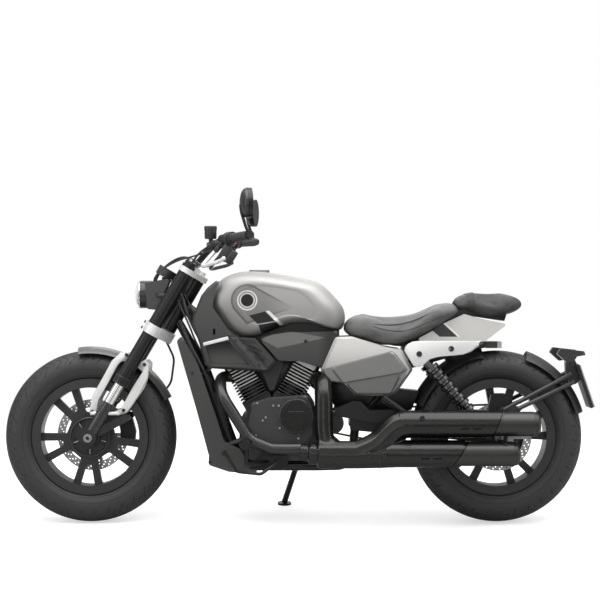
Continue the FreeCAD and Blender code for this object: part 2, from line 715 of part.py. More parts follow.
def in_fork(shape):
    """Moves a shape drawn along the leg to its place on the raked fork."""
    placed = shape.copy()
    placed.Placement = FORK_FRAME.multiply(placed.Placement)
    return placed


def fork_point(offset, y, along):
    """The place of a point given square to the leg, across, and along the leg."""
    return FORK_FRAME.multVec(V(offset, y, along))


# Wheels, which turn on their axles

def cast_wheel(rim_half, turn_deg, disc_y):
    """A cast rim with five forked spokes, its hub bored for the axle."""
    inner = RIM_SEAT_RADIUS - RIM_WALL
    flange = RIM_SEAT_RADIUS + RIM_FLANGE_HEIGHT
    lip = rim_half + RIM_FLANGE_THICKNESS
    well = inner + RIM_WELL_WALL
    side = ((lip, inner), (lip, flange), (rim_half, flange), (rim_half, RIM_SEAT_RADIUS))
    side = side + ((rim_half - BEAD_SEAT, RIM_SEAT_RADIUS), (rim_half - WELL_SLOPE, well))
    wheel = turned(side + tuple((-y, r) for y, r in reversed(side)))
    plate = Part.makeCylinder(inner + OVERRUN, 2 * SPOKE_PLATE_HALF, V(0, -SPOKE_PLATE_HALF, 0), Y_AXIS)
    windows = []
    for index in range(SPOKE_COUNT):
        for shares, share in ((WIDE_WINDOW_SHARES, 0.5), (SLIM_WINDOW_SHARES, 0)):
            corners = [V(a * inner, 0, b * inner) for a, b in shares]
            window = slab(corners, SPOKE_WINDOW_CORNER, -2 * SPOKE_PLATE_HALF, 2 * SPOKE_PLATE_HALF)
            window.rotate(ORIGIN, Y_AXIS, -(turn_deg + 360.0 * (index + share) / SPOKE_COUNT))
            windows.append(window)
    opening = Part.makeCylinder(inner, 4 * SPOKE_PLATE_HALF, V(0, -2 * SPOKE_PLATE_HALF, 0), Y_AXIS)
    plate = plate.cut(opening.common(Part.makeCompound(windows)))
    hub = Part.makeCylinder(HUB_RADIUS, 2 * HUB_HALF_WIDTH, V(0, -HUB_HALF_WIDTH, 0), Y_AXIS)
    dish = Part.makeCylinder(HUB_DISH_RADIUS, 2 * HUB_DISH_HALF, V(0, -HUB_DISH_HALF, 0), Y_AXIS)
    seat_start = min(disc_y, disc_y - math.copysign(DISC_SEAT_DEPTH, disc_y))
    seat = Part.makeCylinder(DISC_SEAT_RADIUS, DISC_SEAT_DEPTH, V(0, seat_start, 0), Y_AXIS)
    wheel = fuse([wheel, plate, hub, dish, seat])
    pockets = []
    for index in range(SPOKE_COUNT):
        for side_sign in SIDES:
            start = V(HUB_POCKET_CENTRE, side_sign * (HUB_DISH_HALF - HUB_POCKET_DEPTH), 0)
            pocket = Part.makeCylinder(HUB_POCKET_RADIUS, HUB_HALF_WIDTH, start, V(0, side_sign, 0))
            pocket.rotate(ORIGIN, Y_AXIS, -(turn_deg + 360.0 * index / SPOKE_COUNT))
            pockets.append(pocket.cut(seat))
    bore = Part.makeCylinder(AXLE_RADIUS + SHAFT_FIT, 4 * HUB_HALF_WIDTH, V(0, -2 * HUB_HALF_WIDTH, 0),
                             Y_AXIS)
    return wheel.cut(pockets + [bore])


def tyre(half_width, rim_half):
    """A tyre with round side walls and a round crown."""
    bead_y = rim_half - FIT
    bead_radius = RIM_SEAT_RADIUS + FIT
    flange_radius = RIM_SEAT_RADIUS + RIM_FLANGE_HEIGHT + FIT
    shoulder_y = half_width * SHOULDER_SHARE
    shoulder_radius = TYRE_RADIUS - TYRE_CROWN_DROP
    widest_radius = (flange_radius + shoulder_radius) / 2
    corners = [V(0, -bead_y, bead_radius), V(0, -bead_y, flange_radius), V(0, -shoulder_y, shoulder_radius)]
    corners += [V(0, shoulder_y, shoulder_radius), V(0, bead_y, flange_radius), V(0, bead_y, bead_radius)]
    edges = [Part.LineSegment(corners[5], corners[0]).toShape(),
             Part.LineSegment(corners[0], corners[1]).toShape()]
    edges.append(Part.Arc(corners[1], V(0, -half_width, widest_radius), corners[2]).toShape())
    edges.append(Part.Arc(corners[2], V(0, 0, TYRE_RADIUS), corners[3]).toShape())
    edges.append(Part.Arc(corners[3], V(0, half_width, widest_radius), corners[4]).toShape())
    edges.append(Part.LineSegment(corners[4], corners[5]).toShape())
    return Part.Face(Part.Wire(edges)).revolve(ORIGIN, Y_AXIS, 360.0)


def brake_disc(radius, inner_y, outer_y):
    """A drilled disc with a spidered carrier, seated on the hub."""
    start = min(inner_y, outer_y)
    band = ring_of(radius, radius - DISC_BAND, start, DISC_THICKNESS)
    carrier = ring_of(DISC_SEAT_RADIUS, HUB_RADIUS + FIT, start, DISC_THICKNESS)
    arms = []
    for index in range(SPOKE_COUNT):
        corner = V(DISC_SEAT_RADIUS - OVERRUN, start, -DISC_ARM_WIDTH / 2)
        arm = Part.makeBox(radius - DISC_BAND - DISC_SEAT_RADIUS + 2 * OVERRUN, DISC_THICKNESS,
                           DISC_ARM_WIDTH, corner)
        arm.rotate(ORIGIN, Y_AXIS, 360.0 * index / SPOKE_COUNT)
        arms.append(arm)
    return fuse([band, carrier] + arms)


def front_wheel_nodes():
    """Rim, tyre and disc of the front wheel at its axle."""
    seat_y = FRONT_DISC_Y
    nodes = {"front_rim": cast_wheel(FRONT_RIM_HALF_WIDTH, FRONT_SPOKE_TURN_DEG, seat_y)}
    nodes["front_tyre"] = tyre(FRONT_TYRE_HALF_WIDTH, FRONT_RIM_HALF_WIDTH)
    nodes["front_disc"] = brake_disc(FRONT_DISC_RADIUS, seat_y, seat_y + DISC_THICKNESS)
    for shape in nodes.values():
        shape.translate(FRONT_AXLE)
    return nodes


def rear_wheel_nodes():
    """Rim, tyre, disc and belt pulley of the rear wheel at its axle."""
    nodes = {"rear_rim": cast_wheel(REAR_RIM_HALF_WIDTH, REAR_SPOKE_TURN_DEG, -REAR_DISC_Y)}
    nodes["rear_tyre"] = tyre(REAR_TYRE_HALF_WIDTH, REAR_RIM_HALF_WIDTH)
    nodes["rear_disc"] = brake_disc(REAR_DISC_RADIUS, -REAR_DISC_Y - DISC_THICKNESS, -REAR_DISC_Y)
    hub_end = HUB_HALF_WIDTH + FIT
    rim = ring_of(PULLEY_RADIUS, PULLEY_RADIUS - DISC_BAND, BELT_INNER_Y, BELT_WIDTH)
    centre = ring_of(HUB_RADIUS + OVERRUN, AXLE_RADIUS + SHAFT_FIT, hub_end,
                     BELT_INNER_Y + BELT_WIDTH - hub_end)
    arms = []
    for index in range(SPOKE_COUNT):
        corner = V(HUB_RADIUS, BELT_INNER_Y, -DISC_ARM_WIDTH / 2)
        arm = Part.makeBox(PULLEY_RADIUS - DISC_BAND / 2 - HUB_RADIUS, BELT_WIDTH, DISC_ARM_WIDTH, corner)
        arm.rotate(ORIGIN, Y_AXIS, 360.0 * index / SPOKE_COUNT)
        arms.append(arm)
    nodes["rear_pulley"] = fuse([rim, centre] + arms)
    for shape in nodes.values():
        shape.translate(REAR_AXLE)
    return nodes


# Fork, bars and lamp, which turn with the steering

def leg_cylinder(radius, start, end, offset=0.0, y=0.0):
    """A cylinder along the leg."""
    return in_fork(Part.makeCylinder(radius, end - start, V(offset, y, start), Z_AXIS))


def clamp(start, height, outline_points, bore_radius):
    """A yoke plate square to the legs, bored for both."""
    corners = [V(offset, y, start) for offset, y in outline_points]
    plate = Part.Face(rounded_wire(corners, CLAMP_CORNER)).extrude(V(0, 0, height))
    bores = [Part.makeCylinder(bore_radius, height + 2 * OVERRUN, V(0, y, start - OVERRUN), Z_AXIS)
             for y in (-FORK_HALF_SPACING, FORK_HALF_SPACING)]
    return plate.cut(bores)


def clamp_outline(front, rear):
    """The outline of a yoke plate, wider round the legs and drawn in to the stem."""
    leg = FORK_HALF_SPACING
    ear = LEG_OUTER_RADIUS + CLAMP_EAR
    right = [(-front, 0), (-front, leg), (-LEG_OUTER_RADIUS / 2, leg + ear),
             (LEG_OUTER_RADIUS / 2, leg + ear)]
    right += [(ear, leg + LEG_OUTER_RADIUS / 2), (rear, STEM_BOSS_RADIUS), (rear, 0)]
    left = [(offset, -y) for offset, y in reversed(right[1:-1])]
    return right[1:-1] + left


def fork_nodes():
    """The legs, their feet, the yokes and the front axle."""
    uppers = []
    legs = []
    for side in SIDES:
        y = side * FORK_HALF_SPACING
        upper = leg_cylinder(LEG_OUTER_RADIUS, LEG_OUTER_START, LEG_TOP, 0, y)
        seal = leg_cylinder(LEG_SEAL_RADIUS, LEG_OUTER_START, LEG_OUTER_START + LEG_SEAL_LENGTH, 0, y)
        cap = leg_cylinder(LEG_CAP_RADIUS, LEG_TOP, LEG_TOP + LEG_CAP_HEIGHT, 0, y)
        bore = leg_cylinder(LEG_TUBE_RADIUS + FIT, LEG_OUTER_START - OVERRUN,
                            LEG_OUTER_START + LEG_INSERTION, 0, y)
        uppers.append(fuse([upper, seal, cap]).cut(bore))
        tube_top = LEG_OUTER_START + LEG_INSERTION - OVERRUN
        pieces = [leg_cylinder(LEG_TUBE_RADIUS, 0, tube_top, 0, y),
                  leg_cylinder(FOOT_RADIUS, 0, FOOT_TOP, 0, y)]
        boss_start = V(0, y - FOOT_HALF_WIDTH, TYRE_RADIUS)
        pieces.append(Part.makeCylinder(FOOT_BOSS_RADIUS, 2 * FOOT_HALF_WIDTH, boss_start, Y_AXIS))
        lug = [V(a * FOOT_LUG_LENGTH, 0, TYRE_RADIUS + b * FOOT_LUG_LENGTH) for a, b in FOOT_LUG_SHARES]
        pieces.append(slab(lug, LUG_CORNER, y - FOOT_LUG_THICKNESS / 2, y + FOOT_LUG_THICKNESS / 2))
        leg = fuse(pieces)
        legs.append(leg.cut(rod(V(0, y - FORK_HALF_SPACING, TYRE_RADIUS),
                                V(0, y + FORK_HALF_SPACING, TYRE_RADIUS), AXLE_RADIUS)))
    axle_end = FORK_HALF_SPACING + FOOT_HALF_WIDTH + AXLE_OVERHANG
    axle = rod(V(0, -axle_end, TYRE_RADIUS), V(0, axle_end, TYRE_RADIUS), AXLE_RADIUS)
    spacer_outer = FORK_HALF_SPACING - FOOT_HALF_WIDTH
    spacers = [rod(V(0, side * (HUB_HALF_WIDTH + FIT), TYRE_RADIUS), V(0, side * spacer_outer, TYRE_RADIUS),
                   SPACER_RADIUS)
               for side in SIDES]
    heads = [rod(V(0, side * (spacer_outer + 2 * FOOT_HALF_WIDTH), TYRE_RADIUS),
                 V(0, side * axle_end, TYRE_RADIUS), SPACER_RADIUS)
             for side in SIDES]
    axle = fuse([axle] + spacers + heads)
    axle = axle.cut(rod(V(0, -2 * axle_end, TYRE_RADIUS), V(0, 2 * axle_end, TYRE_RADIUS), AXLE_BORE_RADIUS))
    lower = clamp(LOWER_CLAMP_START, LOWER_CLAMP_HEIGHT, clamp_outline(CLAMP_FRONT, CLAMP_REAR),
                  LEG_OUTER_RADIUS)
    stem_start = V(FORK_OFFSET, 0, LOWER_CLAMP_START)
    stem = Part.makeCylinder(STEM_RADIUS, TOP_CLAMP_START - LOWER_CLAMP_START, stem_start, Z_AXIS)
    lower = in_fork(fuse([lower, stem]))
    upper_clamp = clamp(TOP_CLAMP_START, TOP_CLAMP_HEIGHT, clamp_outline(CLAMP_FRONT, CLAMP_REAR),
                        LEG_OUTER_RADIUS)
    nut_start = V(FORK_OFFSET, 0, TOP_CLAMP_START + TOP_CLAMP_HEIGHT - OVERRUN)
    nut = Part.makeCylinder(STEM_NUT_RADIUS, STEM_NUT_HEIGHT + OVERRUN, nut_start, Z_AXIS)
    risers = []
    for side in SIDES:
        foot = V(BAR_CLAMP_OFFSET, side * BAR_CLAMP_Y, TOP_CLAMP_START + TOP_CLAMP_HEIGHT - OVERRUN)
        risers.append(Part.makeCylinder(RISER_RADIUS, RISER_HEIGHT + OVERRUN, foot, Z_AXIS))
    upper_clamp = in_fork(fuse([upper_clamp, nut] + risers))
    return {"fork_outer_tubes": Part.makeCompound(uppers), "fork_legs": Part.makeCompound(legs),
            "front_axle": axle, "lower_clamp": lower, "upper_clamp": upper_clamp}


def bar_centre():
    """The middle of the handlebar, on top of its two risers."""
    along = TOP_CLAMP_START + TOP_CLAMP_HEIGHT + RISER_HEIGHT + BAR_RADIUS
    return fork_point(BAR_CLAMP_OFFSET, 0, along)


def bar_points(side):
    """The corners of one half of the handlebar, from its middle to its end."""
    middle = bar_centre()
    half = BAR_HALF_WIDTH
    return [middle + V(a * half, side * b * half, c * half) for a, b, c in BAR_ROUTE_SHARES]


def bar_place(side, distance):
    """A point and the outward way on the grip's straight run, a distance in from the bar's end."""
    points = bar_points(side)
    way = points[-1].sub(points[-2])
    way.normalize()
    return points[-1] - way * distance, way


def bar_nodes():
    """Handlebar, grips, the controls beside them and the mirrors at the bar's ends."""
    halves = [tube(bar_points(side), BAR_RADIUS, BAR_BEND) for side in SIDES]
    bar = fuse(halves)
    grips = []
    controls = []
    mirrors = []
    for side in SIDES:
        end, way = bar_place(side, 0)
        inner, way = bar_place(side, GRIP_LENGTH)
        hole = rod(inner - way * GRIP_LENGTH, end + way * GRIP_LENGTH, BAR_RADIUS)
        grip = fuse([rod(inner, end, GRIP_RADIUS), rod(inner, inner + way * GRIP_FLANGE, GRIP_FLANGE_RADIUS)])
        grips.append(grip.cut(hole))
        perch, way = bar_place(side, GRIP_LENGTH + PERCH_LENGTH + MOVING_GAP)
        body = [rod(perch, perch + way * PERCH_LENGTH, PERCH_RADIUS)]
        ahead = V(-1, 0, 0)
        pivot = perch + way * (PERCH_LENGTH / 2) + ahead * LEVER_REACH
        body.append(rod(perch + way * (PERCH_LENGTH / 2), pivot, LEVER_BOSS_RADIUS))
        tip = end + ahead * LEVER_REACH
        body.append(tube([pivot, pivot + way * LEVER_KNEE + ahead * LEVER_BULGE, tip - way * LEVER_KNEE, tip],
                         LEVER_RADIUS, LEVER_REACH))
        if side < 0:
            top = perch + way * (PERCH_LENGTH / 2) + ahead * RESERVOIR_AHEAD
            top = top + V(0, 0, PERCH_RADIUS + RESERVOIR_RAISE)
            body.append(rod(top - V(0, 0, PERCH_RADIUS / 2 + RESERVOIR_RAISE),
                            top + V(0, 0, RESERVOIR_RAISE), RESERVOIR_POST_RADIUS))
            body.append(rod(top, top + V(0, 0, RESERVOIR_HEIGHT), RESERVOIR_RADIUS))
        drop = V(0, 0, -SWITCH_DROP)
        start = perch + way * (PERCH_LENGTH / 2)
        body.append(rod(start + V(0, 0, LEVER_BOSS_RADIUS / 2), start + drop, SWITCH_RADIUS))
        sleeve = rod(inner - way * GRIP_LENGTH, end + way * GRIP_LENGTH, BAR_RADIUS + SHAFT_FIT)
        controls.append(join(body).cut(sleeve))
        socket = rod(end + way * FIT, end + way * MIRROR_CLAMP_LENGTH, MIRROR_CLAMP_RADIUS)
        middle = end + way * (MIRROR_CLAMP_LENGTH / 2)
        route = [middle + V(a * MIRROR_RISE, side * b * MIRROR_RISE, c * MIRROR_RISE) for a, b,
                 c in MIRROR_STALK_SHARES]
        face = V(1, -side * MIRROR_TOE_IN, 0)
        face.normalize()
        centre = route[-1] + face * (MIRROR_THICKNESS * MIRROR_OVERLAP_SHARE)
        shell = rod(centre - face * (MIRROR_THICKNESS / 2), centre + face * (MIRROR_THICKNESS / 2),
                    MIRROR_RADIUS)
        mirrors.append(fuse([socket, tube(route, MIRROR_STALK_RADIUS, MIRROR_RISE), shell]))
    return {"handlebar": bar, "grips": Part.makeCompound(grips), "hand_controls": Part.makeCompound(controls),
            "mirrors": Part.makeCompound(mirrors)}


def lamp_nodes():
    """Headlight with its lens and brackets, and the round instrument above it."""
    centre = V(HEADLIGHT_FRONT_X, 0, HEADLIGHT_Z)
    radius = HEADLIGHT_RADIUS
    depth = HEADLIGHT_DEPTH
    profile = [V(0, 0, 0)] + [V(a * depth, 0, b * radius) for a, b in HEADLIGHT_SHARES] + [V(depth, 0, 0)]
    shell = Part.Face(Part.makePolygon(profile + profile[:1])).revolve(ORIGIN, X_AXIS, 360.0)
    recess = Part.makeCylinder(radius - HEADLIGHT_RIM, HEADLIGHT_RECESS, V(-OVERRUN, 0, 0), X_AXIS)
    shell = shell.cut(recess)
    lens = Part.makeCylinder(radius - HEADLIGHT_RIM - FIT, HEADLIGHT_RECESS - OVERRUN - FIT, V(0, 0, 0),
                             X_AXIS)
    shell.translate(centre)
    lens.translate(centre)
    panels = []
    corners = outline(HEADLIGHT_FRONT_X, HEADLIGHT_BRACKET_Z, HEADLIGHT_BRACKET_LENGTH,
                      HEADLIGHT_BRACKET_HEIGHT,
                      HEADLIGHT_BRACKET_SHARES)
    legs = [leg_cylinder(LEG_OUTER_RADIUS + FIT, LEG_OUTER_START, LEG_TOP, 0,
                         side * FORK_HALF_SPACING) for side in SIDES]
    for side in SIDES:
        panel = slab(corners, LUG_CORNER, side * (radius + FIT), side * (radius + FIT + BRACKET_THICKNESS))
        boss = rod(V(HEADLIGHT_FRONT_X + BRACKET_BOLT_DEPTH, side * (radius - HEADLIGHT_RIM), HEADLIGHT_Z),
                   V(HEADLIGHT_FRONT_X + BRACKET_BOLT_DEPTH, side * (radius + FIT + BRACKET_THICKNESS),
                     HEADLIGHT_Z), LUG_CORNER)
        arm_end = fork_point(0, side * FORK_HALF_SPACING, BRACKET_ALONG)
        arm_x = HEADLIGHT_FRONT_X + HEADLIGHT_BRACKET_LENGTH * BRACKET_ARM_SHARE
        arm_start = V(arm_x, side * (radius + BRACKET_THICKNESS / 2), arm_end.z)
        arm = rod(arm_start, arm_end, BRACKET_ARM_RADIUS)
        panels.append(main_solid(fuse([panel, boss, arm]).cut(legs + [shell])))
    stem_top = V(INSTRUMENT_X, 0, INSTRUMENT_Z)
    dial = rod(stem_top,
               stem_top + V(math.sin(deg(RAKE_DEG)), 0, math.cos(deg(RAKE_DEG))) * INSTRUMENT_DEPTH,
               INSTRUMENT_RADIUS)
    foot = rod(stem_top, V(INSTRUMENT_X, 0, HEADLIGHT_Z), LUG_CORNER).cut(shell)
    return {"headlight": shell, "headlight_lens": lens, "headlight_brackets": Part.makeCompound(panels),
            "instrument": fuse([dial, foot])}


def front_fender_nodes(legs):
    """Front mudguard over the tyre and the flat stays that hold it to the feet."""
    crown = TYRE_RADIUS + FENDER_GAP
    wall = FENDER_WALL
    half = FRONT_FENDER_HALF_WIDTH
    skin = arched_ring(half, crown, FRONT_FENDER_DEPTH, wall, FRONT_FENDER_START_DEG, FRONT_FENDER_SWEEP_DEG)
    skin.translate(FRONT_AXLE)
    stays = []
    for side in SIDES:
        inner = side * (half + FIT)
        outer = side * (half + FIT + STAY_THICKNESS)
        route = [V(a * TYRE_RADIUS, (inner + outer) / 2, TYRE_RADIUS + b * TYRE_RADIUS) for a,
                 b in STAY_ROUTE_SHARES]
        stay = strap(route, STAY_WIDTH, STAY_THICKNESS, STAY_BEND)
        pieces = [stay]
        for a, b in STAY_BOLT_SHARES:
            bolt = V(a * TYRE_RADIUS, outer, TYRE_RADIUS + b * TYRE_RADIUS)
            pieces.append(rod(bolt, V(bolt.x, side * half * STAY_BOLT_DEPTH_SHARE, bolt.z), STAY_WIDTH / 2))
        foot_ends = (route[0], route[-1])
        for end in foot_ends:
            pieces.append(rod(end, V(end.x, side * FORK_HALF_SPACING, end.z), STAY_WIDTH / 2))
        bridge = rod(V(route[0].x, side * FORK_HALF_SPACING, route[0].z),
                     V(route[-1].x, side * FORK_HALF_SPACING, route[-1].z),
                     STAY_WIDTH / 2)
        stays.append(main_solid(fuse(pieces + [bridge]).cut([legs, skin])))
    return {"front_fender": skin, "fender_stays": Part.makeCompound(stays)}


def front_caliper():
    """The caliper over the front disc, on its bracket to the far foot."""
    middle_y = FRONT_DISC_Y + DISC_THICKNESS / 2
    reach = FRONT_DISC_RADIUS
    corners = [V(a * reach, 0, TYRE_RADIUS + b * reach) for a, b in FRONT_CALIPER_SHARES]
    body = slab(corners, LUG_CORNER, middle_y - CALIPER_HALF_WIDTH, middle_y + CALIPER_HALF_WIDTH)
    gap = DISC_THICKNESS / 2 + MOVING_GAP
    slot = ring_of(reach + MOVING_GAP, HUB_RADIUS, middle_y - gap, 2 * gap)
    slot.translate(FRONT_AXLE)
    body = body.cut(slot)
    bracket_y = FORK_HALF_SPACING - FOOT_LUG_THICKNESS / 2 - FIT
    bolts = []
    for a, b in CALIPER_BOLT_SHARES:
        start = V(a * reach, middle_y + CALIPER_HALF_WIDTH - OVERRUN, TYRE_RADIUS + b * reach)
        bolts.append(rod(start, V(start.x, bracket_y, start.z), LUG_CORNER))
    return fuse([body] + bolts)


def brake_hose():
    """The hose from the lower yoke down to the front caliper."""
    points = [V(a * TYRE_RADIUS, b * FORK_HALF_SPACING, TYRE_RADIUS + c * TYRE_RADIUS) for a, b,
              c in HOSE_SHARES]
    return tube(points, HOSE_RADIUS, HOSE_BEND)


# Chassis: frame, engine and all that stays with them

def outline(x, z, length, height, shares, y=0.0):
    """Outline points in a plane of constant y, as shares of a box."""
    return [V(x + a * length, y, z + b * height) for a, b in shares]


def arched_ring(half, radius, depth, wall, start_deg, sweep_deg):
    """A mudguard: an arched section swept about the Y axis at the origin."""
    outer = radius + wall
    edges = [Part.Arc(V(0, -half, outer - depth), V(0, 0, outer), V(0, half, outer - depth)).toShape()]
    edges.append(Part.LineSegment(V(0, half, outer - depth), V(0, half - wall, outer - depth)).toShape())
    inner = (V(0, half - wall, outer - depth), V(0, 0, radius), V(0, wall - half, outer - depth))
    edges.append(Part.Arc(*inner).toShape())
    edges.append(Part.LineSegment(inner[2], V(0, -half, outer - depth)).toShape())
    face = Part.Face(Part.Wire(edges))
    face.rotate(ORIGIN, Y_AXIS, 90.0 - start_deg)
    return face.revolve(ORIGIN, Y_AXIS, sweep_deg)


def strap(points, width, thickness, bend):
    """A flat bar along a path in a plane of constant y, its thickness across the plane."""
    way = points[1].sub(points[0])
    way.normalize()
    side = way.cross(Y_AXIS)
    at = points[0]
    corners = [at + side * (a * width / 2) + Y_AXIS * (b * thickness / 2) for a,
               b in ((-1, -1), (1, -1), (1, 1), (-1, 1))]
    section = Part.makePolygon(corners + corners[:1])
    return path_wire(points, bend).makePipeShell([section], True, False)


def fender_mount():
    """The middle of the cross tube that holds the inner mudguard."""
    share = FENDER_MOUNT_SHARE
    return V(RAIL_X + share * RAIL_LENGTH, 0, RAIL_Z + share * (COWL_Z - SUBFRAME_RADIUS - FIT - RAIL_Z))


def panel_tabs(side, rail_start):
    """The tabs on which the panels, the tank and the seat are seated."""
    def at(x, y, z):
        return V(x, side * y, z)
    chin_y = SHROUD_INNER_Y - FIT
    pairs = [(at(CRADLE_FRONT_X, CRADLE_HALF, CRADLE_KNEE_Z),
              at(SHROUD_X + SHROUD_LENGTH / 4, chin_y, CRADLE_KNEE_Z + CRADLE_BEND / 2))]
    pairs.append((at(CRADLE_FRONT_X, CRADLE_HALF, CRADLE_KNEE_Z),
                  at(CRADLE_FRONT_X - TAB_REACH, chin_y, CRADLE_KNEE_Z - TAB_REACH / 2)))
    pairs.append((at(CRADLE_BOTTOM_X, CRADLE_HALF, CRADLE_Z),
                  at(CRADLE_BOTTOM_X - TAB_REACH / 2, chin_y, CRADLE_Z)))
    knee_x = KNEE_X + KNEE_LENGTH / 2
    pairs.append((at(knee_x, 0, SPINE_REAR_Z), at(knee_x, KNEE_INNER_Y - FIT, SPINE_REAR_Z)))
    pairs.append((at(knee_x, 0, SPINE_REAR_Z), at(knee_x, TANK_PAD_Y, TANK_Z + TANK_HEIGHT / 3)))
    upright_x = PIVOT_X - CRADLE_TUBE_RADIUS / 2
    cover_z = SIDE_COVER_Z + SIDE_COVER_HEIGHT / 5
    pairs.append((at(upright_x, PIVOT_HALF, cover_z), at(upright_x, SIDE_COVER_INNER_Y - FIT, cover_z)))
    middle = (at(SIDE_COVER_X, CRADLE_TUBE_RADIUS, SPINE_REAR_Z) + rail_start) * 0.5
    pairs.append((middle, at(middle.x, SIDE_COVER_INNER_Y - FIT, middle.z)))
    pairs.append((middle, at(middle.x, middle.y * side, SEAT_Z + SEAT_HEIGHT / 4)))
    return [rod(start, end, TAB_RADIUS) for start, end in pairs]


def stand_pivot():
    """The side stand's pivot and its folding axis, pointing inwards."""
    pivot = V(STAND_PIVOT_X, STAND_PIVOT_Y, STAND_PIVOT_Z)
    stowed = V(1, STAND_STOWED_OUT_SHARE, STAND_STOWED_UP_SHARE)
    axis = stand_foot().sub(pivot).cross(stowed)
    axis.normalize()
    return pivot, axis


def stand_foot():
    """The middle of the stand's sole on the ground, which the lean tilts."""
    foot_y = STAND_PIVOT_Y + STAND_SPREAD
    rise = foot_y * math.tan(deg(LEAN_DEG)) + ground_offset() / math.cos(deg(LEAN_DEG))
    return V(STAND_PIVOT_X - STAND_FORWARD, foot_y, rise)


def frame_nodes(seats):
    """The tubular frame and the radiator in front of it."""
    head_start = LOWER_CLAMP_START + LOWER_CLAMP_HEIGHT + HEAD_TUBE_GAP
    head_end = TOP_CLAMP_START - HEAD_TUBE_GAP
    head = leg_cylinder(HEAD_TUBE_RADIUS, head_start, head_end, FORK_OFFSET)
    bore = leg_cylinder(STEM_RADIUS + SHAFT_FIT, head_start - OVERRUN, head_end + OVERRUN, FORK_OFFSET)
    spine_start = fork_point(FORK_OFFSET, 0, (head_start + head_end) / 2)
    seat_node = V(SIDE_COVER_X, 0, SPINE_REAR_Z)
    spine = tube([spine_start, V(SPINE_BEND_X, 0, SPINE_REAR_Z), seat_node], SPINE_RADIUS, SPINE_RADIUS * 4)
    pieces = [head, spine]
    low = fork_point(FORK_OFFSET, 0, head_start + 2 * HEAD_TUBE_RADIUS)
    for side in SIDES:
        down = [low, V(CRADLE_FRONT_X, side * CRADLE_HALF, CRADLE_KNEE_Z),
                V(CRADLE_BOTTOM_X, side * CRADLE_HALF, CRADLE_Z)]
        down += [V(CASE_X + CASE_LENGTH, side * CRADLE_HALF, CRADLE_Z),
                 V(PIVOT_X - CRADLE_TUBE_RADIUS, side * PIVOT_HALF, CRADLE_Z)]
        down += [V(PIVOT_X, side * PIVOT_HALF, PIVOT_Z),
                 V(PIVOT_X - CRADLE_TUBE_RADIUS, side * PIVOT_HALF, SPINE_REAR_Z - CRADLE_BEND), seat_node]
        pieces.append(tube(down, CRADLE_TUBE_RADIUS, CRADLE_BEND))
        rail_end = V(RAIL_X + RAIL_LENGTH, side * SUBFRAME_HALF, COWL_Z - SUBFRAME_RADIUS - FIT)
        rail_start = V(RAIL_X, side * SUBFRAME_HALF, RAIL_Z)
        pieces.append(tube([V(SIDE_COVER_X, side * CRADLE_TUBE_RADIUS, SPINE_REAR_Z), rail_start, rail_end],
                           SUBFRAME_RADIUS, CRADLE_BEND))
        pieces.append(rod(V(PIVOT_X, side * PIVOT_HALF, PIVOT_Z), rail_start, SUBFRAME_RADIUS))
        pieces += panel_tabs(side, rail_start)
    for x, half, z, radius in ((PIVOT_X, PIVOT_HALF, PIVOT_Z, PIVOT_BOSS_RADIUS),
                               (CRADLE_BOTTOM_X, CRADLE_HALF, CRADLE_Z, CROSS_TUBE_RADIUS),
                               (RAIL_X, SUBFRAME_HALF, RAIL_Z, CROSS_TUBE_RADIUS),
                               (SHOCK_TOP_X, SHOCK_Y + SHOCK_EYE_HALF_WIDTH, SHOCK_TOP_Z, SHOCK_STUD_RADIUS),
                               (fender_mount().x, SUBFRAME_HALF, fender_mount().z, CROSS_TUBE_RADIUS),
                               (rail_end.x, SUBFRAME_HALF, rail_end.z, CROSS_TUBE_RADIUS)):
        pieces.append(rod(V(x, -half, z), V(x, half, z), radius))
    pivot, axis = stand_pivot()
    lug_start = pivot + axis * (STAND_BOSS_HALF + FIT)
    lug_end = lug_start + axis * STAND_LUG_LENGTH
    pieces.append(rod(lug_start, lug_end, STAND_BOSS_RADIUS))
    pieces.append(rod(pivot - axis * (STAND_BOSS_HALF + STAND_PIN_HEAD), lug_end, STAND_PIN_RADIUS))
    pieces.append(rod(pivot - axis * (STAND_BOSS_HALF + STAND_PIN_HEAD),
                      pivot - axis * (STAND_BOSS_HALF + FIT), STAND_LEG_RADIUS))
    pieces.append(rod(lug_end, V(lug_end.x, CRADLE_HALF, CRADLE_Z), STAND_LUG_RADIUS))
    pivot_bolt = rod(V(PIVOT_X, -SWINGARM_OUTER_Y, PIVOT_Z), V(PIVOT_X, SWINGARM_OUTER_Y, PIVOT_Z),
                     AXLE_RADIUS)
    frame = fuse(pieces + [pivot_bolt]).cut([bore] + seats)
    half = CRADLE_HALF + RADIATOR_OVERLAP
    corners = outline(RADIATOR_X, RADIATOR_Z, RADIATOR_DEPTH, RADIATOR_HEIGHT, RADIATOR_SHARES)
    radiator = slab(corners, LUG_CORNER, -half, half)
    return frame, radiator


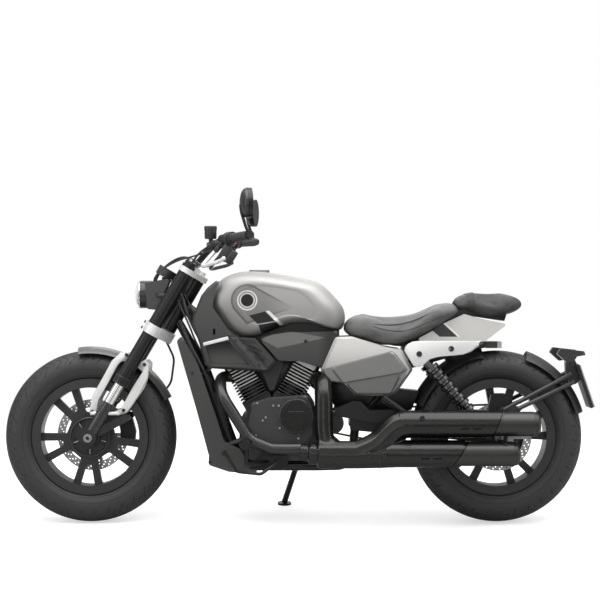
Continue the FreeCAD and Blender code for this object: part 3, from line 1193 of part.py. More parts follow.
def leaned_cylinder(lean_deg):
    """A finned cylinder drawn upright over the crank and then leaned."""
    fins = []
    for index in range(FIN_COUNT):
        z = CYLINDER_BASE + index * FIN_PITCH
        half_x = FIN_LENGTH / 2
        half_y = FIN_WIDTH / 2
        corners = [V(a * half_x, b * half_y, z) for a, b in ((-1, -1), (1, -1), (1, 1), (-1, 1))]
        fins.append(Part.Face(rounded_wire(corners, FIN_CORNER)).extrude(V(0, 0, FIN_THICKNESS)))
    fins_end = CYLINDER_BASE + (FIN_COUNT - 1) * FIN_PITCH + FIN_THICKNESS
    barrel = Part.makeCylinder(BARREL_RADIUS, fins_end - CYLINDER_BASE, V(0, 0, CYLINDER_BASE), Z_AXIS)
    corners = [V(a * FIN_LENGTH / 2, b * FIN_WIDTH / 2, fins_end - FIN_THICKNESS) for a,
               b in ((-1, -1), (1, -1), (1, 1), (-1, 1))]
    head = Part.Face(rounded_wire(corners, FIN_CORNER)).extrude(V(0, 0, HEAD_HEIGHT))
    shape = fuse(fins + [barrel, head])
    shape.rotate(ORIGIN, Y_AXIS, lean_deg)
    shape.translate(V(CRANK_X, 0, CRANK_Z))
    return shape


def engine_nodes():
    """Engine case with its side covers, and the two finned cylinders."""
    corners = outline(CASE_X, CASE_Z, CASE_LENGTH, CASE_HEIGHT, CASE_SHARES)
    case = slab(corners, CASE_CORNER, -CASE_HALF_WIDTH, CASE_HALF_WIDTH)
    decks = []
    for lean in (-CYLINDER_LEAN_DEG, CYLINDER_LEAN_DEG):
        deck = Part.makeBox(FIN_LENGTH, 2 * BARREL_RADIUS, CYLINDER_BASE,
                            V(-FIN_LENGTH / 2, -BARREL_RADIUS, 0))
        deck.rotate(ORIGIN, Y_AXIS, lean)
        deck.translate(V(CRANK_X, 0, CRANK_Z))
        decks.append(deck)
    side_corners = outline(SIDE_CASE_X, SIDE_CASE_Z, SIDE_CASE_LENGTH, SIDE_CASE_HEIGHT, SIDE_CASE_SHARES)
    cheek = bevelled_slab(side_corners, CASE_CORNER, -CASE_HALF_WIDTH + OVERRUN,
                          -CASE_HALF_WIDTH - CHEEK_DEPTH,
                          COVER_BEVEL, COVER_DRAW_SHARE)
    far_cheek = cheek.mirror(ORIGIN, Y_AXIS)
    case = fuse([case, cheek, far_cheek] + decks)
    seat_y = CASE_HALF_WIDTH + CHEEK_DEPTH
    clutch_at = V(CLUTCH_X, -seat_y, CLUTCH_Z)
    clutch = [rod(clutch_at, clutch_at + V(0, -COVER_DEPTH, 0), CLUTCH_RADIUS)]
    ring_at = clutch_at + V(0, -COVER_DEPTH, 0)
    rim = rod(ring_at, ring_at + V(0, -COVER_RIM_DEPTH, 0), CLUTCH_RADIUS - COVER_BEVEL)
    rim = rim.cut(rod(ring_at, ring_at + V(0, -COVER_RIM_DEPTH, 0),
                      CLUTCH_RADIUS - COVER_BEVEL - COVER_RIM_WIDTH))
    clutch.append(rim)
    for index in (-1, 1):
        corner = ring_at + V(-CLUTCH_RADIUS * COVER_BAR_SHARE, -COVER_RIM_DEPTH,
                             index * COVER_BAR_SPACING - COVER_RIM_WIDTH / 2)
        clutch.append(Part.makeBox(2 * CLUTCH_RADIUS * COVER_BAR_SHARE, COVER_RIM_DEPTH, COVER_RIM_WIDTH,
                                   corner))
    output = V(FRONT_PULLEY_X, -BELT_INNER_Y, FRONT_PULLEY_Z)
    radius = FRONT_PULLEY_RADIUS
    gearbox = [rod(output, V(output.x, BELT_INNER_Y - FIT, output.z), radius)]
    gearbox.append(Part.makeBox(output.x - CRANK_X, 2 * BELT_INNER_Y - FIT, 2 * radius,
                                V(CRANK_X, -BELT_INNER_Y, output.z - radius)))
    case = fuse([case] + gearbox)
    alternator_at = V(CRANK_X, seat_y, CRANK_Z)
    alternator = Part.makeCone(ALTERNATOR_RADIUS, ALTERNATOR_RADIUS - COVER_BEVEL, COVER_DEPTH,
                               alternator_at, Y_AXIS)
    return {"engine_block": case, "clutch_cover": fuse(clutch), "alternator_cover": alternator,
            "front_cylinder": leaned_cylinder(-CYLINDER_LEAN_DEG),
            "rear_cylinder": leaned_cylinder(CYLINDER_LEAN_DEG)}


def dressed_shroud(shroud):
    """The near shroud with its intake pocket, its raised pillar, its louvres and its peephole."""
    def placed(shares):
        return outline(SHROUD_X, SHROUD_Z, SHROUD_LENGTH, SHROUD_HEIGHT, shares)

    outside = -SHROUD_OUTER_Y - OVERRUN
    pocket = slab(placed(INTAKE_SHARES), LUG_CORNER / 2, outside, -SHROUD_OUTER_Y + INTAKE_DEPTH)
    cuts = [pocket, slab(placed(PEEP_SHARES), LUG_CORNER / 2, outside, -SHROUD_INNER_Y + OVERRUN)]
    for index in range(LOUVRE_COUNT):
        step = LOUVRE_STEP_SHARES
        shares = [(a + index * step[0], b + index * step[1]) for a, b in LOUVRE_START_SHARES]
        cuts.append(slab(placed(shares), LUG_CORNER / 4, outside, -SHROUD_OUTER_Y + INTAKE_DEPTH))
    pillar = bevelled_slab(placed(PILLAR_SHARES), LUG_CORNER / 2, -SHROUD_OUTER_Y + OVERRUN,
                           -SHROUD_OUTER_Y - PILLAR_RAISE,
                           RAIL_BEVEL, PANEL_DRAW_SHARE)
    return join([shroud.cut(cuts), pillar])


def tank_nodes():
    """Fuel tank with its filler cap, the panels round it and under it."""
    side = outline(TANK_X, TANK_Z, TANK_LENGTH, TANK_HEIGHT, TANK_SHARES)
    tank = pillow(side, TANK_HALF_WIDTH, TANK_STATION_SHARES)
    tunnel = Part.makeBox(2 * TANK_LENGTH, 2 * (SPINE_RADIUS + MOVING_GAP), TANK_HEIGHT,
                          V(TANK_X - TANK_LENGTH / 2, -(SPINE_RADIUS + MOVING_GAP),
                            SPINE_REAR_Z + SPINE_RADIUS + MOVING_GAP - TANK_HEIGHT))
    nose = leg_cylinder(HEAD_TUBE_RADIUS + MOVING_GAP, 0, 2 * LEG_TOP, FORK_OFFSET)
    tank = tank.cut([tunnel, nose])
    cap_at = V(TANK_X + TANK_LENGTH * CAP_X_SHARE, 0, TANK_Z + TANK_HEIGHT - CAP_SINK)
    cap = Part.makeCylinder(CAP_RADIUS, CAP_HEIGHT + CAP_SINK, cap_at, Z_AXIS)
    tank = tank.cut(Part.makeCylinder(CAP_RADIUS + FIT, TANK_HEIGHT, cap_at - V(0, 0, FIT), Z_AXIS))
    corners = outline(SHROUD_X, SHROUD_Z, SHROUD_LENGTH, SHROUD_HEIGHT, SHROUD_SHARES)
    shroud = bevelled_slab(corners, PANEL_CORNER, -SHROUD_INNER_Y, -SHROUD_OUTER_Y, COVER_BEVEL,
                           PANEL_DRAW_SHARE)
    shroud = dressed_shroud(shroud)
    corners = outline(KNEE_X, KNEE_Z, KNEE_LENGTH, KNEE_HEIGHT, KNEE_SHARES)
    knee = bevelled_slab(corners, PANEL_CORNER, -KNEE_INNER_Y, -KNEE_OUTER_Y, COVER_BEVEL, PANEL_DRAW_SHARE)
    corners = outline(CHIN_X, CHIN_Z, CHIN_LENGTH, CHIN_HEIGHT, CHIN_SHARES)
    chin = bevelled_slab(corners, PANEL_CORNER, -SHROUD_INNER_Y, -CHIN_OUTER_Y, RAIL_BEVEL, PANEL_DRAW_SHARE)
    knee = main_solid(knee.cut([tank, shroud]))
    shroud = main_solid(shroud.cut(tank))
    chin = main_solid(chin.cut(shroud))
    box = slab(outline(AIR_BOX_X, AIR_BOX_Z, AIR_BOX_LENGTH, AIR_BOX_HEIGHT, AIR_BOX_SHARES), LUG_CORNER,
               -AIR_BOX_HALF,
               AIR_BOX_HALF)
    box = main_solid(box.cut(Part.makeCompound([tank] + both(knee))))
    return {"fuel_tank": tank, "air_box": box, "fuel_cap": cap,
            "tank_shrouds": Part.makeCompound(both(shroud)),
            "knee_panels": Part.makeCompound(both(knee)), "chin_panels": Part.makeCompound(both(chin))}


def seat_nodes(knees, header):
    """Seats, side covers, tail cowl and the rails beside it."""
    rider = pillow(outline(SEAT_X, SEAT_Z, SEAT_LENGTH, SEAT_HEIGHT, SEAT_SHARES), SEAT_HALF_WIDTH,
                   SEAT_STATION_SHARES)
    pad = pillow(outline(PILLION_X, PILLION_Z, PILLION_LENGTH, PILLION_HEIGHT, PILLION_SHARES),
                 PILLION_HALF_WIDTH,
                 SEAT_STATION_SHARES)
    cowl_corners = outline(COWL_X, COWL_Z, COWL_LENGTH, COWL_HEIGHT, COWL_SHARES)
    cowl = slab(cowl_corners, PANEL_CORNER / 2, -COWL_HALF_WIDTH, COWL_HALF_WIDTH)
    rails = both(bevelled_slab(outline(RAIL_X, RAIL_Z, RAIL_LENGTH, RAIL_HEIGHT, RAIL_SHARES), RAIL_CORNER,
                               -RAIL_INNER_Y, -RAIL_OUTER_Y, RAIL_BEVEL, PANEL_DRAW_SHARE))
    holes = []
    for a, b in RAIL_HOLE_SHARES:
        start = V(RAIL_X + a * RAIL_LENGTH, -2 * RAIL_OUTER_Y, RAIL_Z + b * RAIL_HEIGHT)
        holes.append(Part.makeCylinder(RAIL_HOLE_RADIUS, 4 * RAIL_OUTER_Y, start, Y_AXIS))
    shock_hole = rod(V(SHOCK_TOP_X, -2 * RAIL_OUTER_Y, SHOCK_TOP_Z),
                     V(SHOCK_TOP_X, 2 * RAIL_OUTER_Y, SHOCK_TOP_Z),
                     SHOCK_STUD_RADIUS + FIT)
    rails = [rail.cut(holes + [shock_hole]) for rail in rails]
    corners = outline(SIDE_COVER_X, SIDE_COVER_Z, SIDE_COVER_LENGTH, SIDE_COVER_HEIGHT, SIDE_COVER_SHARES)
    cover = bevelled_slab(corners, PANEL_CORNER, -SIDE_COVER_INNER_Y, -SIDE_COVER_OUTER_Y, SIDE_COVER_BEVEL,
                          COVER_DRAW_SHARE)
    facets = []
    for shares, rise in ((UPPER_FACET_SHARES, FACET_RAISE), (LOWER_FACET_SHARES, FACET_LOWER_RAISE)):
        corners = outline(SIDE_COVER_X, SIDE_COVER_Z, SIDE_COVER_LENGTH, SIDE_COVER_HEIGHT, shares)
        facets.append(bevelled_slab(corners, LUG_CORNER, -SIDE_COVER_OUTER_Y + OVERRUN,
                                    -SIDE_COVER_OUTER_Y - rise, rise,
                                    COVER_DRAW_SHARE))
    cover = join([cover] + facets)
    covers = both(main_solid(cover.cut(Part.makeCompound([rider, knees, header] + rails))))
    pad = pad.cut(rider)
    cowl = cowl.cut(Part.makeCompound([rider, pad]))
    return {"rider_seat": rider, "pillion_pad": pad, "tail_cowl": cowl,
            "tail_rails": Part.makeCompound(rails),
            "side_covers": Part.makeCompound(covers)}


def swingarm_nodes():
    """Swingarm, rear axle and the two spring units."""
    pieces = []
    inner = SWINGARM_INNER_Y
    for side in SIDES:
        front_low = V(PIVOT_X - PIVOT_BOSS_RADIUS, 0, PIVOT_Z - SWINGARM_HEIGHT / 2)
        rear_low = V(WHEELBASE + PIVOT_BOSS_RADIUS, 0, TYRE_RADIUS - SWINGARM_HEIGHT / 2)
        rear_high = rear_low + V(0, 0, SWINGARM_HEIGHT)
        front_high = front_low + V(0, 0, SWINGARM_HEIGHT)
        pieces.append(slab([front_low, rear_low, rear_high, front_high], LUG_CORNER, side * inner,
                           side * SWINGARM_OUTER_Y))
    bridge_x = WHEELBASE - TYRE_RADIUS - MOVING_GAP - BRIDGE_RADIUS
    bridge_z = TYRE_RADIUS + (PIVOT_Z - TYRE_RADIUS) * (WHEELBASE - bridge_x) / (WHEELBASE - PIVOT_X)
    pieces.append(rod(V(bridge_x, -inner - OVERRUN, bridge_z), V(bridge_x, inner + OVERRUN, bridge_z),
                      BRIDGE_RADIUS))
    arm = fuse(pieces)
    hole = rod(V(PIVOT_X, -2 * inner, PIVOT_Z), V(PIVOT_X, 2 * inner, PIVOT_Z), AXLE_RADIUS + SHAFT_FIT)
    axle_hole = rod(V(WHEELBASE, -2 * inner, TYRE_RADIUS), V(WHEELBASE, 2 * inner, TYRE_RADIUS), AXLE_RADIUS)
    arm = arm.cut([hole, axle_hole])
    end = SWINGARM_OUTER_Y + AXLE_OVERHANG
    axle = [rod(V(WHEELBASE, -end, TYRE_RADIUS), V(WHEELBASE, end, TYRE_RADIUS), AXLE_RADIUS)]
    for side, hub_end in ((-1, REAR_DISC_Y + FIT), (1, BELT_INNER_Y + BELT_WIDTH + FIT)):
        axle.append(rod(V(WHEELBASE, side * hub_end, TYRE_RADIUS), V(WHEELBASE, side * inner, TYRE_RADIUS),
                        SPACER_RADIUS))
        axle.append(rod(V(WHEELBASE, side * SWINGARM_OUTER_Y, TYRE_RADIUS),
                        V(WHEELBASE, side * end, TYRE_RADIUS), SPACER_RADIUS))
    axle = fuse(axle).cut(rod(V(WHEELBASE, -2 * end, TYRE_RADIUS), V(WHEELBASE, 2 * end, TYRE_RADIUS),
                              AXLE_BORE_RADIUS))
    shocks = []
    for side in SIDES:
        top = V(SHOCK_TOP_X, side * SHOCK_Y, SHOCK_TOP_Z)
        foot = V(SHOCK_FOOT_X, side * SHOCK_Y, TYRE_RADIUS + SWINGARM_HEIGHT / 2 + SHOCK_EYE_RADIUS)
        shocks.append(spring_unit(top, foot))
        stud = rod(foot, V(foot.x, side * inner, foot.z), SHOCK_STUD_RADIUS)
        lug = rod(V(foot.x, side * inner, foot.z), V(foot.x, side * SWINGARM_OUTER_Y, foot.z),
                  SHOCK_EYE_RADIUS)
        arm = fuse([arm, stud, lug])
    shocks = [shock.cut(arm) for shock in shocks]
    return {"swingarm": arm, "rear_axle": axle, "rear_shocks": Part.makeCompound(shocks)}


def spring_unit(top, foot):
    """A damper with its coil drawn as turned ribs, from the top eye to the foot eye."""
    way = foot.sub(top)
    length = way.Length
    start = SHOCK_EYE_RADIUS * 2
    coil_length = length - 2 * start
    pitch = coil_length / SPRING_TURNS
    profile = [V(0, 0, 0), V(SHOCK_ROD_RADIUS, 0, 0), V(SHOCK_ROD_RADIUS, 0, start),
               V(SPRING_RADIUS, 0, start)]
    for index in range(SPRING_TURNS):
        base = start + index * pitch
        profile += [V(SPRING_RADIUS, 0, base + pitch * SPRING_WIRE_SHARE),
                    V(SPRING_RADIUS - SPRING_GROOVE, 0, base + pitch * SPRING_GROOVE_START_SHARE),
                    V(SPRING_RADIUS - SPRING_GROOVE, 0, base + pitch * SPRING_GROOVE_END_SHARE),
                    V(SPRING_RADIUS, 0, base + pitch)]
    profile += [V(SPRING_RADIUS, 0, length - start + SPRING_GROOVE),
                V(SHOCK_ROD_RADIUS, 0, length - start + SPRING_GROOVE),
                V(SHOCK_ROD_RADIUS, 0, length), V(0, 0, length)]
    body = Part.Face(Part.makePolygon(profile + profile[:1])).revolve(ORIGIN, Z_AXIS, 360.0)
    body.Placement = FreeCAD.Placement(top, FreeCAD.Rotation(Z_AXIS, way))
    half = SHOCK_EYE_HALF_WIDTH
    eyes = [rod(V(p.x, p.y - half, p.z), V(p.x, p.y + half, p.z), SHOCK_EYE_RADIUS) for p in (top, foot)]
    stud = rod(V(top.x, top.y - 2 * half, top.z), V(top.x, top.y + 2 * half, top.z), SHOCK_STUD_RADIUS + FIT)
    return fuse([body] + eyes).cut(stud)


def belt_nodes():
    """The drive belt, and the cover of its front pulley."""
    rear = V(WHEELBASE, 0, TYRE_RADIUS)
    front = V(FRONT_PULLEY_X, 0, FRONT_PULLEY_Z)
    loop_radii = ((PULLEY_RADIUS + BELT_GAP, FRONT_PULLEY_RADIUS + BELT_GAP),
                  (PULLEY_RADIUS + BELT_GAP + BELT_THICKNESS,
                   FRONT_PULLEY_RADIUS + BELT_GAP + BELT_THICKNESS))
    bands = []
    for rear_radius, front_radius in loop_radii:
        bands.append(loop_prism(rear, front, rear_radius, front_radius))
    belt = bands[1].cut(bands[0])
    pulley = rod(V(FRONT_PULLEY_X, BELT_INNER_Y, FRONT_PULLEY_Z),
                 V(FRONT_PULLEY_X, BELT_INNER_Y + BELT_WIDTH, FRONT_PULLEY_Z), FRONT_PULLEY_RADIUS)
    nut_end = V(FRONT_PULLEY_X, BELT_INNER_Y + BELT_WIDTH + STEM_NUT_HEIGHT / 2, FRONT_PULLEY_Z)
    nut = rod(V(FRONT_PULLEY_X, BELT_INNER_Y, FRONT_PULLEY_Z), nut_end, SPACER_RADIUS)
    return {"drive_belt": belt, "front_pulley": fuse([pulley, nut])}


def loop_prism(rear, front, rear_radius, front_radius):
    """The solid inside a belt line round two wheels, as wide as the belt."""
    span = rear.sub(front)
    slope = math.asin((rear_radius - front_radius) / span.Length)
    base = math.atan2(span.z, span.x)
    corners = []
    for centre, radius in ((front, front_radius), (rear, rear_radius)):
        for sign in (1, -1):
            angle = base + sign * (math.pi / 2 + slope)
            corners.append(centre + V(radius * math.cos(angle), 0, radius * math.sin(angle)))
    quad = [corners[0], corners[2], corners[3], corners[1]]
    for corner in quad:
        corner.y = BELT_INNER_Y
    body = Part.Face(Part.makePolygon(quad + quad[:1])).extrude(V(0, BELT_WIDTH, 0))
    rounds = [Part.makeCylinder(r, BELT_WIDTH, V(c.x, BELT_INNER_Y, c.z), Y_AXIS) for c, r in
              ((front, front_radius), (rear, rear_radius))]
    return join([body] + rounds)


def muffler(start, length, radius, shield_share):
    """A round silencer along X with its outlet, under a slotted shield whose end is cut on a slant."""
    profile = [(0, 0)] + [(a * length, b * radius) for a, b in MUFFLER_SHARES] + [(length, 0)]
    corners = [V(x, 0, r) for x, r in profile]
    body = Part.Face(Part.makePolygon(corners + corners[:1])).revolve(ORIGIN, X_AXIS, 360.0)
    corners = [V(a * length, 0, b * radius) for a, b in SHIELD_SHARES]
    shield = Part.Face(Part.makePolygon(corners + corners[:1])).revolve(ORIGIN, X_AXIS, 360.0)
    waste = Part.makeBox(length, 4 * radius, 4 * radius, V(0, -2 * radius, -2 * radius))
    waste.rotate(ORIGIN, Y_AXIS, SHIELD_SLANT_DEG)
    waste.translate(V(shield_share * length, 0, 0))
    shield = shield.cut(waste)
    for index in (1, 2):
        at = V(shield_share * length - index * 1.5 * SHIELD_SLOT_LENGTH - radius, -2 * radius, -radius / 3)
        shield = shield.cut(Part.makeBox(SHIELD_SLOT_LENGTH, 2 * radius, SHIELD_SLOT_HEIGHT, at))
    outlet = Part.makeCylinder(radius * OUTLET_SHARE, radius, V(length - radius, 0, 0), X_AXIS)
    bore = Part.makeCylinder(radius * OUTLET_SHARE - OUTLET_WALL, radius, V(length - radius / 2, 0, 0),
                             X_AXIS)
    body = join([body, shield, outlet]).cut(bore)
    body.translate(start)
    return body


def exhaust_nodes(front_cylinder, rear_cylinder):
    """Two header pipes, the collector with its cover and two silencers."""
    lower_at = V(LOWER_MUFFLER_X, -MUFFLER_Y, LOWER_MUFFLER_Z)
    upper_at = V(UPPER_MUFFLER_X, -MUFFLER_Y, UPPER_MUFFLER_Z)
    lower = muffler(lower_at, LOWER_MUFFLER_LENGTH, MUFFLER_RADIUS, LOWER_SHIELD_SHARE)
    upper = muffler(upper_at, UPPER_MUFFLER_LENGTH, MUFFLER_RADIUS, UPPER_SHIELD_SHARE)
    meeting = V(COLLECTOR_X, -COLLECTOR_Y, LOWER_MUFFLER_Z)
    front = tube(header_route(FRONT_HEADER_SHARES) + [meeting], HEADER_RADIUS, HEADER_BEND)
    rear = tube(header_route(REAR_HEADER_SHARES) + [meeting], REAR_HEADER_RADIUS, HEADER_BEND)
    chamber = rod(meeting, lower_at, COLLECTOR_RADIUS)
    below = upper_at - V(MUFFLER_RADIUS, 0, MUFFLER_RADIUS / 2)
    fork = meeting + (lower_at - meeting) * COLLECTOR_BRANCH_SHARE
    branch = tube([fork, below, upper_at], REAR_HEADER_RADIUS, HEADER_BEND)
    corners = outline(COLLECTOR_SHIELD_X, COLLECTOR_SHIELD_Z, COLLECTOR_SHIELD_LENGTH,
                      COLLECTOR_SHIELD_HEIGHT,
                      COLLECTOR_SHIELD_SHARES)
    outside = MUFFLER_Y + MUFFLER_RADIUS - RAIL_BEVEL
    cover = bevelled_slab(corners, CASE_CORNER, -COLLECTOR_Y, -outside, RAIL_BEVEL, PANEL_DRAW_SHARE)
    collector = main_solid(join([fuse([chamber, branch]), cover]).cut([lower, upper]))
    front = main_solid(front.cut([collector, front_cylinder]))
    rear = main_solid(rear.cut([collector, front, rear_cylinder]))
    return {"front_header": front, "rear_header": rear, "exhaust_collector": collector,
            "lower_muffler": lower,
            "upper_muffler": upper}


def header_route(shares):
    """The bends of a header pipe, from shares of the wheelbase, the collector's offset and the tyre."""
    return [V(CRANK_X + a * WHEELBASE, -b * COLLECTOR_Y, CRANK_Z + c * TYRE_RADIUS) for a, b, c in shares]


def on_rear_wheel(shares):
    """Points in the middle plane, as shares of the tyre's radius from the rear axle."""
    return [V(WHEELBASE + a * TYRE_RADIUS, 0, TYRE_RADIUS + b * TYRE_RADIUS) for a, b in shares]


def rear_body_nodes():
    """Inner mudguard, rear mudguard on its carrier, plate and lamps."""
    inner = arched_ring(INNER_FENDER_HALF, TYRE_RADIUS + INNER_FENDER_GAP, FENDER_DEPTH, FENDER_WALL,
                        INNER_FENDER_START_DEG, INNER_FENDER_SWEEP_DEG)
    inner.translate(REAR_AXLE)
    mount = fender_mount()
    way = mount.sub(REAR_AXLE)
    reach = way.Length - CROSS_TUBE_RADIUS - FIT
    way.normalize()
    crown = TYRE_RADIUS + INNER_FENDER_GAP + FENDER_WALL / 2
    inner = fuse([inner, rod(REAR_AXLE + way * crown, REAR_AXLE + way * reach, PEG_RADIUS)])
    hugger = arched_ring(HUGGER_HALF, TYRE_RADIUS + HUGGER_GAP, HUGGER_DEPTH, FENDER_WALL, HUGGER_START_DEG,
                         HUGGER_SWEEP_DEG)
    hugger.translate(REAR_AXLE)
    struts = []
    for side in SIDES:
        for start_share, end_share in STRUT_SHARES:
            start = V(WHEELBASE + start_share[0] * TYRE_RADIUS, side * (SWINGARM_OUTER_Y + STRUT_RADIUS),
                      TYRE_RADIUS + start_share[1] * TYRE_RADIUS)
            end = V(WHEELBASE + end_share[0] * TYRE_RADIUS, side * HUGGER_HALF * STRUT_END_SHARE,
                    TYRE_RADIUS + end_share[1] * TYRE_RADIUS)
            struts.append(rod(start, end, STRUT_RADIUS))
        corners = on_rear_wheel(STRUT_PLATE_SHARES)
        struts.append(slab(corners, LUG_CORNER / 2, side * SWINGARM_OUTER_Y,
                           side * (SWINGARM_OUTER_Y + STRUT_RADIUS)))
    plate = slab(on_rear_wheel(PLATE_SHARES), LUG_CORNER / 2, -PLATE_HALF_WIDTH, PLATE_HALF_WIDTH)
    lamps = []
    for side in SIDES:
        corners = on_rear_wheel(LAMP_SHARES)
        inner_y = side * (LAMP_HALF_SPACING - LAMP_HALF_WIDTH)
        lamps.append(slab(corners, LUG_CORNER / 2, inner_y, side * (LAMP_HALF_SPACING + LAMP_HALF_WIDTH)))
    arm = slab(on_rear_wheel(PLATE_ARM_SHARES), RAIL_CORNER, -PLATE_ARM_HALF, PLATE_ARM_HALF)
    lamp_at = V(WHEELBASE + LAMP_X_SHARE * TYRE_RADIUS, 0, TYRE_RADIUS + LAMP_Z_SHARE * TYRE_RADIUS)
    stalk = rod(lamp_at - V(0, LAMP_HALF_SPACING, 0), lamp_at + V(0, LAMP_HALF_SPACING, 0), STRUT_RADIUS)
    fender = fuse([hugger, plate, arm, stalk] + struts)
    lamps = [main_solid(lamp.cut(fender)) for lamp in lamps]
    tail_x = RAIL_X + RAIL_LENGTH + CROSS_TUBE_RADIUS + FIT
    tail = Part.makeBox(TAIL_LAMP_LENGTH, 2 * TAIL_LAMP_HALF, TAIL_LAMP_HEIGHT,
                        V(tail_x, -TAIL_LAMP_HALF, TAIL_LAMP_Z))
    return {"inner_fender": inner, "rear_fender": fender, "rear_lamps": Part.makeCompound(lamps + [tail])}


def foot_nodes():
    """Footrests, the brake pedal and the gear lever."""
    plates = []
    rear_pegs = []
    controls = []
    for side in SIDES:
        middle_y = side * (PEG_PLATE_INNER_Y + PEG_PLATE_Y) / 2
        corners = outline(PEG_PLATE_X, PEG_PLATE_Z, PEG_PLATE_LENGTH, PEG_PLATE_HEIGHT, PEG_PLATE_SHARES)
        pieces = [slab(corners, LUG_CORNER, side * PEG_PLATE_INNER_Y, side * PEG_PLATE_Y)]
        for share in PEG_BOLT_SHARES:
            bolt_x = PEG_PLATE_X + share * PEG_PLATE_LENGTH
            pieces.append(rod(V(bolt_x, side * (CRADLE_HALF + CRADLE_TUBE_RADIUS + FIT), CRADLE_Z),
                              V(bolt_x, middle_y, CRADLE_Z), LUG_CORNER / 2))
        knee = V(PEG_X, side * PEG_START_Y, PEG_PLATE_Z + PEG_PLATE_HEIGHT / 2)
        start = V(PEG_X, side * PEG_START_Y, PEG_Z)
        root = V(PEG_PLATE_X + PEG_PLATE_LENGTH / 2, middle_y, PEG_PLATE_Z + PEG_PLATE_HEIGHT / 2)
        pieces += [rod(root, knee, PEG_ARM_RADIUS), Part.makeSphere(PEG_ARM_RADIUS, knee),
                   rod(knee, start, PEG_ARM_RADIUS)]
        pieces.append(rod(start - V(0, side * (PEG_ARM_RADIUS + FIT), 0), start + V(0, side * PEG_LENGTH, 0),
                          PEG_RADIUS))
        plates.append(fuse(pieces))
        route = [V(PEG_X + a * PEG_LENGTH, side * (PEG_PLATE_Y + b * PEG_LENGTH),
                   PEG_Z + c * PEG_LENGTH) for a, b, c in PEDAL_SHARES]
        pivot = rod(V(route[0].x, side * (PEG_PLATE_Y + FIT), route[0].z),
                    V(route[0].x, route[0].y + side * PEDAL_RADIUS, route[0].z), LUG_CORNER)
        pad = rod(route[-1] - V(0, side * PEDAL_RADIUS, 0), route[-1] + V(0, side * PEDAL_PAD_LENGTH, 0),
                  PEDAL_PAD_RADIUS)
        controls.append(fuse([tube(route, PEDAL_RADIUS, LUG_CORNER * 3), pivot, pad]))
        corners = outline(REAR_PEG_PLATE_X, REAR_PEG_PLATE_Z, REAR_PEG_PLATE_LENGTH, REAR_PEG_PLATE_HEIGHT,
                          REAR_PEG_PLATE_SHARES)
        bracket = slab(corners, LUG_CORNER, side * REAR_PEG_INNER_Y, side * REAR_PEG_OUTER_Y)
        mount = V(PIVOT_X - LUG_CORNER, 0, REAR_PEG_PLATE_Z + REAR_PEG_PLATE_HEIGHT - PEG_ARM_RADIUS)
        boss = rod(V(mount.x, side * (PIVOT_HALF + CRADLE_TUBE_RADIUS), mount.z),
                   V(mount.x, side * REAR_PEG_OUTER_Y, mount.z), PEG_ARM_RADIUS)
        low = V(REAR_PEG_PLATE_X + REAR_PEG_PLATE_LENGTH - PEG_RADIUS, side * REAR_PEG_OUTER_Y,
                REAR_PEG_PLATE_Z + PEG_RADIUS * 2)
        high = low + V(-REAR_PEG_BACK, side * REAR_PEG_OUT, REAR_PEG_UP)
        rear_pegs.append(fuse([bracket, boss,
                               rod(low - V(0, side * LUG_CORNER, 0), low + V(0, side * PEG_RADIUS, 0),
                                   PEG_RADIUS), rod(low + V(0, side * PEG_RADIUS, 0), high, PEG_RADIUS)]))
    return {"rider_pegs": Part.makeCompound(plates), "foot_controls": Part.makeCompound(controls),
            "passenger_pegs": Part.makeCompound(rear_pegs)}


def rear_caliper():
    """The caliper over the rear disc with its bracket to the swingarm."""
    middle_y = -REAR_DISC_Y - DISC_THICKNESS / 2
    reach = REAR_DISC_RADIUS
    gap = DISC_THICKNESS / 2 + MOVING_GAP

    def placed(shares):
        return [V(WHEELBASE + a * reach, 0, TYRE_RADIUS + b * reach) for a, b in shares]
    body = slab(placed(REAR_CALIPER_SHARES), LUG_CORNER, middle_y - REAR_CALIPER_OUT,
                middle_y + REAR_CALIPER_IN)
    slot = ring_of(reach + MOVING_GAP, HUB_RADIUS, middle_y - gap, 2 * gap)
    slot.translate(REAR_AXLE)
    carrier = slab(placed(REAR_CARRIER_SHARES), LUG_CORNER, middle_y - gap - FIT, middle_y - REAR_CALIPER_OUT)
    bolt = placed(REAR_CARRIER_BOLT_SHARES)[0]
    boss = rod(V(bolt.x, middle_y - gap - OVERRUN, bolt.z), V(bolt.x, FIT - SWINGARM_INNER_Y, bolt.z),
               LUG_CORNER)
    return fuse([body.cut(slot), carrier, boss])


def stand_shape():
    """The side stand, deployed."""
    pivot, axis = stand_pivot()
    foot = stand_foot()
    normal = V(0, -math.sin(deg(LEAN_DEG)), math.cos(deg(LEAN_DEG)))
    sole = Part.makeCylinder(STAND_FOOT_RADIUS, STAND_FOOT_THICKNESS, foot, normal)
    leg = rod(pivot, foot + normal * (STAND_FOOT_THICKNESS + OVERRUN / 2), STAND_LEG_RADIUS)
    boss = rod(pivot - axis * STAND_BOSS_HALF, pivot + axis * STAND_BOSS_HALF, STAND_BOSS_RADIUS)
    pin_hole = rod(pivot - axis * (2 * STAND_BOSS_HALF), pivot + axis * (2 * STAND_BOSS_HALF),
                   STAND_PIN_RADIUS + SHAFT_FIT)
    return fuse([sole, leg, boss]).cut(pin_hole)


def ground_offset():
    """How far the leaned tyre's round crown dips below the axis of lean."""
    shoulder = FRONT_TYRE_HALF_WIDTH * SHOULDER_SHARE
    crown = (shoulder * shoulder + TYRE_CROWN_DROP * TYRE_CROWN_DROP) / (2 * TYRE_CROWN_DROP)
    return crown * (math.cos(deg(LEAN_DEG)) - 1)


